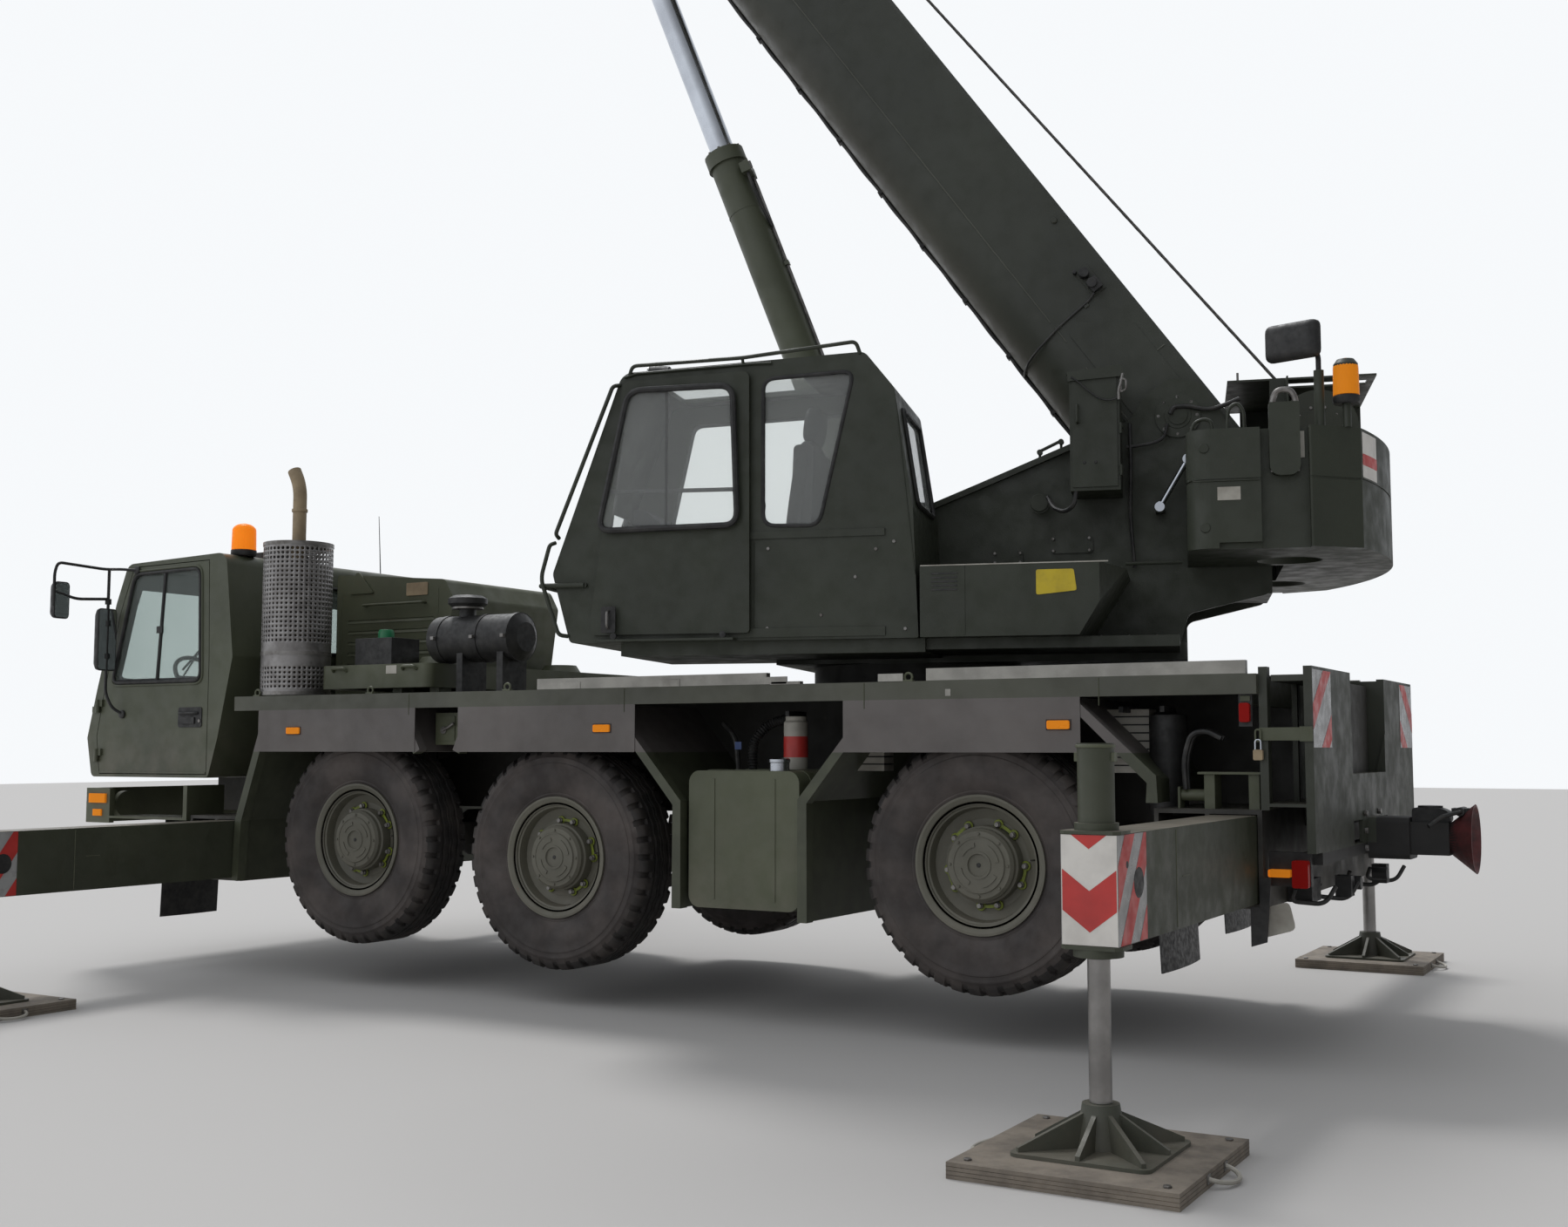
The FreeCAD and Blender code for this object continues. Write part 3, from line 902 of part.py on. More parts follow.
def winch_guard():
    """Plate roof over the winch with its far side wall, standing on the counterweight."""
    x0, x1 = ROOF_X
    y0, y1 = ROOF_Y
    roof = box(x0, x1, y0, y1, ROOF_Z, ROOF_Z + ROOF_T)
    roof = roof.cut(box(x0 + 350, x1 - 40, -60, 60, ROOF_Z - 16, ROOF_Z + 24))
    wall = box(x0 + 100, x1, y1 - ROOF_T, y1, CW_TOP, ROOF_Z)
    near = box(SCREEN_X[0], SCREEN_X[2], y0, y0 + 20, SCREEN_Z, ROOF_Z)
    back = box(SCREEN_X[1], SCREEN_X[2], -DRUM_HALF - STAND_GAP, y1 - ROOF_T, SCREEN_Z, ROOF_Z)
    return join([roof, wall, near, back])


def crane_cab():
    """Hollow crane cab with its window openings, door rails and grab rail."""
    shell = side(CCAB_LINE, -CCAB_OUT, -CCAB_IN, CCAB_CORNERS)
    room = side(inset(CCAB_LINE, CCAB_WALL), -CCAB_OUT + CCAB_WALL, -CCAB_IN - CCAB_WALL,
                [max(r - CCAB_WALL, 0.0) for r in CCAB_CORNERS])
    opening = side(inset(CDOOR_LINE, 30), -CCAB_OUT - 5, -CCAB_OUT + CCAB_WALL + 5, 40.0)
    rear = side(CREAR_WINDOW, -CCAB_OUT - 5, -CCAB_OUT + CCAB_WALL + 5, 40.0)
    front = side(CFRONT_WINDOW, -CCAB_OUT + CFRAME_SIDE, -CCAB_IN - CFRAME_SIDE)
    edge = CFRAME_SIDE + 60
    roof_light = box(CROOF_LIGHT[0], CROOF_LIGHT[1], -CCAB_OUT + edge, -CCAB_IN - edge, 3650, 3800)
    far = side(CFAR_WINDOW, -CCAB_IN - CCAB_WALL - 5, -CCAB_IN + 5, 40.0)
    back = box(60, 260, -CCAB_OUT + edge, -CCAB_IN - edge, *CREAR_LIGHT)
    shell = less(shell, [room, opening, rear, front, roof_light, far, back])
    rails = [box(x0, 40, -CCAB_OUT - CDOOR_GAP + SEAT, -CCAB_OUT, z0, z1) for x0, z0, z1 in CRAILS]
    # grab rail round the nose, and the bars over the roof window
    y0, y1 = -CCAB_OUT - 2 * CDOOR_GAP, -CCAB_IN + 10
    grab = bent_rod([(GRAB_LINE[0][0], y0, GRAB_LINE[0][1]), (GRAB_LINE[1][0], y0, GRAB_LINE[1][1]),
                     (GRAB_LINE[1][0], y1, GRAB_LINE[1][1]), (GRAB_LINE[0][0], y1, GRAB_LINE[0][1])], GRAB_R)
    feet = [rod((GRAB_LINE[0][0], -CCAB_OUT + 5, GRAB_LINE[0][1]), (GRAB_LINE[0][0], y0, GRAB_LINE[0][1]), GRAB_R),
            rod((GRAB_LINE[0][0], -CCAB_IN - 5, GRAB_LINE[0][1]), (GRAB_LINE[0][0], y1, GRAB_LINE[0][1]), GRAB_R)]
    return join([shell] + rails + grab + feet)


def crane_door():
    """Sliding door of the crane cab with its window opening."""
    y1 = -CCAB_OUT - CDOOR_GAP
    panel = side(CDOOR_LINE, y1 - CDOOR_T, y1, (20.0, 0.0, 40.0, 40.0, 20.0))
    return panel.cut(side(CDOOR_WINDOW, y1 - CDOOR_T - 5, y1 + 5, WINDOW_CORNER))


def crane_cab_inside():
    """Crane driver's seat with its arm consoles, and the front console."""
    floor = BASE_TOP + CCAB_WALL
    y = -(CCAB_OUT + CCAB_IN) / 2
    x0, x1, x2 = DRIVER_X
    parts = [side([(x0, floor + 250), (x0, floor + 420), (x2, floor + 420), (x2, floor + 250)], y - 230, y + 230, 30.0),
             side([(x1, floor + 400), (x1 + 30, floor + 1100), (x2 + 30, floor + 1100), (x2, floor + 400)],
                  y - 220, y + 220, 30.0),
             box(x0 + 100, x2 - 110, y - 130, y + 130, floor, floor + 250)]
    for s in (-1, 1):
        a0, a1 = sorted((y + s * 235, y + s * 330))
        parts.append(box(x0 + 60, x1, a0, a1, floor + 480, floor + 620))
        a0, a1 = sorted((y + s * 215, y + s * 240))
        parts.append(box(x1 - 60, x1, a0, a1, floor + 300, floor + 560))
        parts.append(rod((x0 + 120, y + s * 280, floor + 620), (x0 + 100, y + s * 280, floor + 760), 14))
    c0, c1 = CONSOLE_X
    console = side([(c0, floor), (c1, floor), (c1, floor + 640), (c0 + 60, floor + 760), (c0, floor + 760)], y - 200, y + 200)
    return Part.makeCompound([join(parts), console])


def side_box():
    """Side housing behind the crane cab, cut away at its rear."""
    body = side(SIDE_BOX_LINE, -DECK_HALF, -CHEEK_IN - CHEEK_T)
    x1 = SIDE_BOX_LINE[2][0]
    corner = plan([(x1 + 5, -DECK_HALF - 5), (x1 + 5, -DECK_HALF + 420), (x1 - 130, -DECK_HALF - 5)], BASE_TOP - 5, 2600)
    return body.cut(corner)


def cabinet():
    """Control cabinet on its arm, with a raised door and a rain lip."""
    (x0, x1), (y0, y1), (z0, z1) = CABINET_X, CABINET_Y, CABINET_Z
    body = box(x0, x1, y0, y1, z0, z1)
    door = box(x0 + 14, x1 - 14, y0 - 10, y0, z0 + 20, z1 - 30)
    lip = side([(x0 - 14, z1 - 8), (x1 + 10, z1 + 14), (x1 + 10, z1 + 20), (x0 - 14, z1)], y0 - 14, y1 + 6)
    a0, a1, c0, c1 = CABINET_ARM
    arm = box(a0, a1, y1, -CHEEK_IN - CHEEK_T, c0, c1)
    return join([body, door, lip, arm])


def far_housing():
    """Housing of the drives on the far side, with louvres."""
    body = side(FAR_LINE, CHEEK_IN + CHEEK_T, FAR_OUT, (0.0, 0.0, 30.0, 40.0, 40.0, 30.0))
    slots = [box(x0, x1, FAR_OUT - 18, FAR_OUT + 5, z, z + 26) for x0, x1 in FAR_LOUVRE_X for z in FAR_LOUVRE_Z]
    return less(body, slots)


# Boom, in its own frame
def section(i, grow, x):
    """Cross face of boom section i at x: flat top, upright sides and a bowed belly drawn as one arc."""
    step = (BOOM_WALL + SECTION_GAP) * i - grow
    h, top, low = BOOM_HALF - step, BOOM_TOP - step, BOOM_LOW + step
    knee, c = BOOM_KNEE, BOOM_CHAMFER
    pts = [V(x, h, knee), V(x, h, top - c), V(x, h - c, top), V(x, c - h, top), V(x, -h, top - c), V(x, -h, knee)]
    edges = [Part.makeLine(a, b) for a, b in zip(pts, pts[1:])]
    edges.append(Part.Arc(pts[-1], V(x, 0, low), pts[0]).toShape())
    return Part.Face(Part.Wire(edges))


def stretch(i, grow, u0, u1):
    """Solid of boom section i, grown by so much, from u0 to u1 along the boom."""
    return section(i, grow, -u1).extrude(V(u1 - u0, 0, 0))


def boom_tube(i, u0, u1):
    return stretch(i, 0.0, u0, u1).cut(stretch(i, -BOOM_WALL, u0 - 5, u1 + 5))


def boom_base():
    """Base section with its foot, end collar and the luffing lugs under the belly."""
    shell = boom_tube(0, BOOM_REAR, BOOM_LEN)
    parts = [shell, stretch(0, 14.0, BOOM_LEN - 160, BOOM_LEN), stretch(0, 10.0, BOOM_LEN - 420, BOOM_LEN - 380),
             stretch(0, 6.0, LUG_U - 380, LUG_U - 350), stretch(0, 6.0, LUG_U + 350, LUG_U + 380)]
    for s in (-1, 1):
        y0, y1 = between(s, BOOM_HALF - 2, BOOM_HALF + 8)
        parts.append(side([(-900, -190), (-620, 150), (200, 150), (330, 0), (200, -190)], y0, y1, 60.0))
    parts.append(rod((0, -CHEEK_IN + 4, 0), (0, CHEEK_IN - 4, 0), 120))
    for s in (-1, 1):
        y0, y1 = between(s, LUG_IN, LUG_IN + LUG_T)
        parts.append(side([(-LUG_U - 330, BOOM_LOW + 40), (-LUG_U + 330, BOOM_LOW + 40), (-LUG_U + 330, BOOM_LOW + 12),
                           (-LUG_U + 100, LUG_W - 110), (-LUG_U - 100, LUG_W - 110), (-LUG_U - 330, BOOM_LOW + 12)],
                          y0, y1, (0.0, 0.0, 0.0, 90.0, 90.0, 0.0)))
    body = join(parts)
    tools = [rod((0, -CHEEK_IN - 5, 0), (0, CHEEK_IN + 5, 0), FOOT_R + PIN_GAP),
             rod((-LUG_U, -200, LUG_W), (-LUG_U, 200, LUG_W), EYE_PIN_R + PIN_GAP),
             stretch(0, -BOOM_WALL, 120 + GAP, BOOM_LEN + 5)]
    return less(body, tools)


def tele(i):
    """Telescoping section i on the wear pads that fill the gap to the section around it."""
    u0, u1 = TELE_IN + STEP_IN * i, BOOM_LEN + STEP_OUT * i
    parts = [boom_tube(i, u0, u1), stretch(i, 16.0, u1 - 60, u1).cut(stretch(i, -BOOM_WALL, u1 - 65, u1 + 5))]
    h = BOOM_HALF - (BOOM_WALL + SECTION_GAP) * i
    pads = stretch(i, SECTION_GAP - SEAT, u0, u0 + PAD_LEN).cut(stretch(i, -2.0, u0 - 5, u0 + PAD_LEN + 5))
    parts.append(pads.common(Part.makeCompound([box(-u0 - PAD_LEN, -u0, -0.45 * h, 0.45 * h, BOOM_LOW - 20, BOOM_KNEE),
                                                box(-u0 - PAD_LEN, -u0, -0.5 * h, 0.5 * h, 0, BOOM_TOP + 20)])))
    if i == 3:
        parts.append(section(3, 0.0, -u1 - 14).extrude(V(14, 0, 0)))
        for s in (-1, 1):
            y0, y1 = between(s, HEAD_IN, HEAD_IN + HEAD_T)
            parts.append(side([(-u1 + 5, 160), (-u1 + 5, -420), (-HEAD_U + 90, -700), (-HEAD_U - 80, -720),
                               (-HEAD_U - 130, -620), (-HEAD_U - 160, -200), (-HEAD_U - 150, 40), (-HEAD_U + 60, 240),
                               (-HEAD_U + 260, 240)], y0, y1, (0.0, 0.0, 60.0, 60.0, 60.0, 120.0, 90.0, 60.0, 40.0)))
        for u, w in ((HEAD_U - 130, -250), (HEAD_U - 30, -300)):
            parts.append(rod((-u, -HEAD_IN - 5, w), (-u, HEAD_IN + 5, w), 40))
    body = join(parts)
    if i == 3:
        tools = [rod((-u, -250, w), (-u, 250, w), JIB_PIN_R) for u, w in JIB_PIN]
        body = less(body, tools)
    return body


def head_sheaves():
    """Upper and lower sheave sets on their pins, between the head plates."""
    out = []
    w2 = SHEAVE_W_HALF
    for which, w in SHEAVE_W.items():
        pin = rod((-HEAD_U, -HEAD_IN, w), (-HEAD_U, HEAD_IN, w), SHEAVE_PIN_R)
        wheels = []
        for y in (-77.0, -7.0, 63.0) if which == "lower" else (-2.0,):
            ring = spun([(SHEAVE_PIN_R - 5, y - w2), (SHEAVE_R, y - w2), (GROOVE_R, y - 7), (GROOVE_R, y + 7), (SHEAVE_R, y + w2), (SHEAVE_PIN_R - 5, y + w2)])
            ring.translate(V(-HEAD_U, 0, w))
            wheels.append(ring)
            wheels.append(rod((-HEAD_U, y - w2 - 8, w), (-HEAD_U, y + w2 + 8, w), 62))
        out.append(join([pin] + wheels))
    return Part.makeCompound(out)


# Luffing cylinder
def luff_line():
    """The rod's eye and the direction of the cylinder, in the upper works' frame."""
    a = math.radians(LUFF)
    ex = FOOT[0] - LUG_U * math.cos(a) + LUG_W * math.sin(a)
    ez = FOOT[1] + LUG_U * math.sin(a) + LUG_W * math.cos(a)
    dx, dz = ex - LUFF_BASE[0], ez - LUFF_BASE[1]
    n = math.hypot(dx, dz)
    return ex, ez, dx / n, dz / n


def luff_barrel():
    """Barrel of the luffing cylinder with its foot eye, pin, base cap and gland."""
    ex, ez, dx, dz = luff_line()
    bx, bz = LUFF_BASE

    def along(d, off=0.0):
        return (bx + dx * d - dz * off, 0, bz + dz * d + dx * off)
    body = [rod(along(90), along(BARREL_LEN), BARREL_R), rod(along(BARREL_LEN - GLAND_LEN), along(BARREL_LEN), GLAND_R),
            rod(along(180), along(230), BARREL_R + 9)]
    eye = rod((bx, -100, bz), (bx, 100, bz), 105)
    pin = rod((bx, -EAR_IN + SEAT, bz), (bx, EAR_IN - SEAT, bz), LUFF_PIN_R)
    bore = rod(along(150), along(BARREL_LEN + 10), LUFF_ROD_R + PIN_GAP)
    return less(join(body + [eye, pin]), [bore])


def luff_rod():
    """Chromed rod of the luffing cylinder with its head eye and pin."""
    ex, ez, dx, dz = luff_line()
    bx, bz = LUFF_BASE
    a = (bx + dx * ROD_INNER, 0, bz + dz * ROD_INNER)
    b = (ex - dx * 60, 0, ez - dz * 60)
    eye = rod((ex, -95, ez), (ex, 95, ez), 90)
    pin = rod((ex, -LUG_IN - LUG_T, ez), (ex, LUG_IN + LUG_T, ez), EYE_PIN_R)
    return join([rod(a, b, LUFF_ROD_R), eye, pin])


# Hook
def hook():
    """Hook block on its rope falls, hanging plumb below the lower head sheaves."""
    a = math.radians(LUFF)
    x = FOOT[0] - HEAD_U * math.cos(a) + SHEAVE_W["lower"] * math.sin(a)
    z = FOOT[1] + HEAD_U * math.sin(a) + SHEAVE_W["lower"] * math.cos(a)
    low = z - HOOK_DROP
    reach = GROOVE_R + ROPE_R + SEAT
    falls = [rod((x + dx, y, low + 270), (x + dx, y, z), ROPE_R) for dx in (-reach, reach) for y in FALL_Y]
    cheeks = [side([(x - 205, low + 60), (x + 205, low + 60), (x + 205, low + 300), (x + 120, low + 430),
                    (x - 120, low + 430), (x - 205, low + 300)], y, y + 20, (30.0, 30.0, 90.0, 60.0, 60.0, 90.0))
              for y in (-110, 90)]
    sheave = rod((x, -90, low + 270), (x, 90, low + 270), reach + 4)
    boss = rod((x, -125, low + 270), (x, 125, low + 270), 55)
    body = side([(x - 110, low + 20), (x + 110, low + 20), (x + 110, low + 120), (x - 110, low + 120)], -90, 90, 20.0)
    shank = rod((x, 0, low - 125), (x, 0, low + 20), 40)
    nut = rod((x, 0, low - 20), (x, 0, low + 20), 70)
    centre = V(x, 0, low - 230)
    ring = Part.makeTorus(BOWL_R, HOOK_R, centre, V(0, 1, 0))
    ring = ring.cut(box(x - 200, x - 20, -100, 200, low - 215, low - 60))
    tip = cone((x - BOWL_R, 0, low - 216), (x - BOWL_R - 22, 0, low - 150), HOOK_R, 16)
    return join(cheeks + [sheave, boss, body, shank, nut, ring, tip] + falls)


# Build
node("chassis_frame", chassis())
node("deck", less(deck(), [NODES["chassis_frame"]]))
node("mudguards", less(mudguards(), [NODES["chassis_frame"], NODES["deck"]]))
node("axles", axles())
for i, axle in enumerate(("1", "2", "3")):
    for s, tag in ((-1, "l"), (1, "r")):
        if i < 2:
            node("knuckle_" + axle + tag, knuckle(AXLE_X[i], HUB_Z[i], s))
        tyre, rim = wheel(AXLE_X[i], HUB_Z[i], s)
        node("tyre_" + axle + tag, tyre)
        node("rim_" + axle + tag, rim)
for end, beams, z in (("front", FRONT_BEAM_X, FRONT_BEAM_Z), ("rear", REAR_BEAM_X, REAR_BEAM_Z)):
    for s, tag in ((-1, "l"), (1, "r")):
        beam, foot, mat = outrigger(beams[tag], z, s)
        name = end[0] + tag
        node("beam_" + name, beam)
        node("jack_" + name, foot)
        node("mat_" + name, mat)
node("carrier_cab", carrier_cab())
node("cab_inside", cab_inside())
node("cab_door_l", cab_door(-1))
node("cab_door_r", cab_door(1))
node("hood", hood())
node("exhaust", exhaust())
node("air_cleaner", air_cleaner())
node("deck_ballast", deck_ballast())
node("tanks", tanks())
node("rear_rack", stowage())
node("front_bumper", front_bumper())

table = turntable()
node("turntable", turned(table))
node("counterweight", turned(less(counterweight(), [table])))
node("winch", turned(join([winch(), winch_guard()])))
node("crane_cab", turned(crane_cab()))
node("crane_cab_inside", turned(crane_cab_inside()))
node("crane_door", turned(crane_door()))
node("housings", turned(Part.makeCompound([less(side_box(), [table]), less(cabinet(), [table]), less(far_housing(), [table])])))

node("boom_base", luffed(boom_base()))
for i in (1, 2, 3):
    node("boom_tele_%d" % i, luffed(tele(i)))
node("head_sheaves", luffed(head_sheaves()))
node("luff_barrel", turned(luff_barrel()))
node("luff_rod", turned(luff_rod()))
node("hook_block", turned(hook()))

# The slewing axis is the datum above; the origin goes to the middle of the vehicle's length.
low, high = [1e9] * 3, [-1e9] * 3
for name in NODES:
    NODES[name].translate(V(-(FRONT_X + REAR_X) / 2, 0, 0))
    b = NODES[name].BoundBox
    for k, (a, c) in enumerate(((b.XMin, b.XMax), (b.YMin, b.YMax), (b.ZMin, b.ZMax))):
        low[k], high[k] = min(low[k], a), max(high[k], c)
    NODES[name].exportStep("parts/" + name + ".step")
print(len(NODES), "pieces", [round(v) for v in low], [round(v) for v in high])
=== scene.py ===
# %% [markdown]
# # Dressing a mobile crane
#
# The construction of this three-axle crane comes ready made: every rigid piece, its place and the body that it moves
# with are loaded as a fixed frame. This lesson gives it a finish. It paints the loaded pieces, and adds what they
# leave out: tread, glass, lamps, hoses, stripes and rope. New pieces are surfaces worked out with numpy and put into
# Blender meshes.

# %% Load the frame
import json
import math

import bpy
import numpy as np
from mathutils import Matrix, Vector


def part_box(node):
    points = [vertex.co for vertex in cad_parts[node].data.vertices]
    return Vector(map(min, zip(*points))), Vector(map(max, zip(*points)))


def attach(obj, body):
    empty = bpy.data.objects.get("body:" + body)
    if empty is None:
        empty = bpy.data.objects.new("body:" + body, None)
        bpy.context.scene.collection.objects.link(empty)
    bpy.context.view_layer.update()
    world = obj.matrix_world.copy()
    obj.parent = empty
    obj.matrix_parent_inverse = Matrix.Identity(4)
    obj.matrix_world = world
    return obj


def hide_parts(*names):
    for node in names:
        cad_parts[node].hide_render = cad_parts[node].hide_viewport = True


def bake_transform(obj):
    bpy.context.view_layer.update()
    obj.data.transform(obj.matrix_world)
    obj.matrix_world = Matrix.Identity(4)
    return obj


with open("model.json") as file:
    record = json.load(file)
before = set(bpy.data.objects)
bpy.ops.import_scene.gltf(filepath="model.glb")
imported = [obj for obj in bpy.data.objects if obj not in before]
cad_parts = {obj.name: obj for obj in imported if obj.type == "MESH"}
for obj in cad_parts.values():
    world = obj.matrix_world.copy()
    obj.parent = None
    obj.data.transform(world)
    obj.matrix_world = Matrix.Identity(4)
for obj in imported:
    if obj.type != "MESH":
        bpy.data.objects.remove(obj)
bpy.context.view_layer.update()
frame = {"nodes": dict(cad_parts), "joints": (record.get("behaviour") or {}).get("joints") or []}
nodes = frame["nodes"]

# %% [markdown]
# The crane has three sets of axes: those of the carrier, which are the frame's own, those of the upper works, which
# are turned about the slewing axis, and those of the boom, which is raised as well. The joints say where these are,
# so a piece is drawn in the axes that suit it and placed by one of three small functions.

# %% Axes of the carrier, the upper works and the boom
joints = {joint["name"]: joint for joint in frame["joints"]}
SLEW_AXIS = np.array(joints["slew"]["pos_m"]) * (1, 1, 0)
ACROSS = np.array(joints["luff"]["axis"], float)
UP = np.array((0.0, 0.0, 1.0))
BACK = np.cross(ACROSS, UP)
BOOM_FOOT = np.array(joints["luff"]["pos_m"])
ALONG_BOOM = np.array(joints["telescope_1"]["axis"], float)
OUT_OF_BOOM = np.cross(ACROSS, ALONG_BOOM)


def on_carrier(points):
    """Points given from the slewing axis: x rearwards, y to the right, z up from the ground."""
    return points + SLEW_AXIS


def on_upper(points):
    """The same, turned with the upper works: x to the counterweight, y to the right-hand side, z up."""
    return points @ np.array((BACK, ACROSS, UP)) + SLEW_AXIS


def on_boom(points):
    """From the boom's foot pin: u along the boom, y across it, w square to its top."""
    return points @ np.array((ALONG_BOOM, ACROSS, OUT_OF_BOOM)) + BOOM_FOOT


print("the boom is raised to", round(math.degrees(math.asin(ALONG_BOOM[2])), 1), "degrees")

# %% [markdown]
# A shape is a grid of points: rows along one parameter, columns along the other. `skin` joins neighbours into
# four-sided faces, and can close the grid round on itself and cap its ends, which makes a closed shell. A shell is
# turned inside out where its signed volume is negative, so that its faces always point outwards.

# %% Grids and shells
def points(*columns):
    """Arrays of x, y and z, stretched to one shape and stacked."""
    return np.stack(np.broadcast_arrays(*columns), axis=-1).astype(float)


def skin(grid, loop=True, ring=False, ends=True):
    """Faces over grid[i, j]. loop joins the last column to the first, ring the last row to the first."""
    index = np.arange(grid.shape[0] * grid.shape[1]).reshape(grid.shape[:2])
    low = index if ring else index[:-1]
    high = np.roll(index, -1, 0) if ring else index[1:]
    if loop:
        faces = (low, np.roll(low, -1, 1), np.roll(high, -1, 1), high)
    else:
        faces = (low[:, :-1], low[:, 1:], high[:, 1:], high[:, :-1])
    caps = [index[0][::-1], index[-1]] if ends and loop and not ring else []
    return grid.reshape(-1, 3), np.stack(faces, -1).reshape(-1, 4), caps


def volume(shell):
    """Six times the signed volume: the sum of corner triple products of every face's triangles."""
    corners, quads, caps = shell
    fans = [np.stack([np.full(len(c) - 2, c[0]), c[1:-1], c[2:]], -1) for c in caps]
    t = (corners - corners.mean(0))[np.concatenate([quads[:, :3], quads[:, [0, 2, 3]]] + fans)]
    return np.einsum("ij,ij->", t[:, 0], np.cross(t[:, 1], t[:, 2]))


def outward(shell):
    """The shell with its faces pointing out."""
    corners, quads, caps = shell
    return shell if volume(shell) >= 0 else (corners, quads[:, ::-1], [c[::-1] for c in caps])


def copies(shell, places):
    """One copy of the shell for each offset in places."""
    corners, quads, caps = shell
    places = np.atleast_2d(np.asarray(places, float))
    steps = np.arange(len(places)) * len(corners)
    return ((places[:, None] + corners).reshape(-1, 3), (steps[:, None, None] + quads).reshape(-1, 4),
            [cap + step for step in steps for cap in caps])


def turned_about(shell, angles, axis="y", centre=(0, 0, 0)):
    """Copies of the shell turned by each angle about an axis through centre."""
    corners, quads, caps = shell
    a, b = {"x": (1, 2), "y": (2, 0), "z": (0, 1)}[axis]
    angles = np.atleast_1d(angles)[:, None]
    local = corners - centre
    out = np.repeat(local[None], len(angles), 0)
    out[..., a] = local[:, a] * np.cos(angles) - local[:, b] * np.sin(angles)
    out[..., b] = local[:, a] * np.sin(angles) + local[:, b] * np.cos(angles)
    steps = np.arange(len(angles)) * len(corners)
    return ((out + centre).reshape(-1, 3), (steps[:, None, None] + quads).reshape(-1, 4),
            [cap + step for step in steps for cap in caps])


# %% [markdown]
# Four shapes make most of what a maker would bend, turn, saw or pull: a block, an outline carried straight across, a
# profile turned round an axis, and a round bar that follows a path. Their corners are rounded with short curves,
# because real sheet and tube have no sharp corners.

# %% Shapes
SIDES = (-1, 1)


def flank(side, inner, outer):
    """Limits across the crane on its left, -1, or its right, 1, the smaller first."""
    return sorted((side * inner, side * outer))


def softened(outline, reach, steps=3, closed=True):
    """Each corner becomes a quadratic curve that starts and ends reach away from it."""
    p = np.asarray(outline, float)
    before, after = np.roll(p, 1, 0) - p, np.roll(p, -1, 0) - p
    b_len, a_len = (np.linalg.norm(v, axis=1, keepdims=True) for v in (before, after))
    cut = np.minimum(reach, np.minimum(b_len, a_len) * 0.48)
    start, end = p + before / b_len * cut, p + after / a_len * cut
    t = np.linspace(0, 1, steps + 1)[None, :, None]
    curve = (1 - t) ** 2 * start[:, None] + 2 * t * (1 - t) * p[:, None] + t ** 2 * end[:, None]
    if closed:
        return curve.reshape(-1, p.shape[1])
    return np.concatenate([p[:1], curve[1:-1].reshape(-1, p.shape[1]), p[-1:]])


def block(x0, x1, y0, y1, z0, z1):
    """A box from its limits."""
    ring = np.array(((x0, y0), (x1, y0), (x1, y1), (x0, y1)))
    return skin(points(ring[None, :, 0], ring[None, :, 1], np.array((z0, z1))[:, None]))


def prism(outline, low, high, across="y"):
    """An outline carried straight across from low to high."""
    o = np.asarray(outline, float)[None]
    t = np.array((low, high), float)[:, None]
    return skin(points(*{"x": (t, o[..., 0], o[..., 1]), "y": (o[..., 0], t, o[..., 1]),
                         "z": (o[..., 0], o[..., 1], t)}[across]))


def lathe(profile, centre, axis="y", sides=32, closed=True):
    """A profile of (radius, height) turned about an axis through centre."""
    r, h = np.asarray(profile, float).T
    a = np.linspace(0, 2 * np.pi, sides, endpoint=False)[None]
    u, v, h = r[:, None] * np.cos(a), r[:, None] * np.sin(a), h[:, None] + 0 * a
    grid = points(*{"x": (h, u, v), "y": (v, h, u), "z": (u, v, h)}[axis]) + centre
    return skin(grid, ring=closed)


def disc(radius, low, high, centre, axis="y", sides=24, edge=0.002):
    """A round plate or plug with softened rims, between low and high along its axis."""
    low, high = sorted((low, high))
    e = min(edge, (high - low) / 2)
    return lathe([(radius - e, low), (radius, low + e), (radius, high - e), (radius - e, high)], centre, axis, sides,
                 closed=False)


def bar(path, radius, sides=10, closed=False):
    """A round bar: circles square to the path, in axes from the path's direction and the side it bends least to."""
    p = np.asarray(path, float)
    run = np.roll(p, -1, 0) - np.roll(p, 1, 0) if closed else np.gradient(p, axis=0)
    run /= np.linalg.norm(run, axis=1, keepdims=True)
    flat = np.linalg.svd(p - p.mean(0))[2][2] if len(p) > 2 else np.eye(3)[np.argmin(np.abs(run[0]))]
    across = np.cross(run, flat)
    across /= np.linalg.norm(across, axis=1, keepdims=True)
    upward = np.cross(across, run)
    a = np.linspace(0, 2 * np.pi, sides, endpoint=False)[None, :, None]
    r = np.broadcast_to(np.asarray(radius, float), (len(p),))[:, None, None]
    return skin(p[:, None] + r * (np.cos(a) * across[:, None] + np.sin(a) * upward[:, None]), ring=closed)


def hose(path, radius, bend=0.12, sides=8):
    """A bar along a path whose inner corners are bent."""
    return bar(softened(path, bend, 6, closed=False), radius, sides)


def frame_bar(outline, plane, across="y", width=0.02, reach=0.05):
    """A round seal or rail along a closed outline that lies in one plane."""
    o = softened(outline, reach, 5)
    t = np.full(len(o), float(plane))
    path = points(*{"x": (t, o[:, 0], o[:, 1]), "y": (o[:, 0], t, o[:, 1]), "z": (o[:, 0], o[:, 1], t)}[across])
    return bar(path, width, 8, closed=True)


print("a block with sides of 1 m holds", round(volume(block(0, 1, 0, 1, 0, 1)) / 6, 3), "cubic metre")

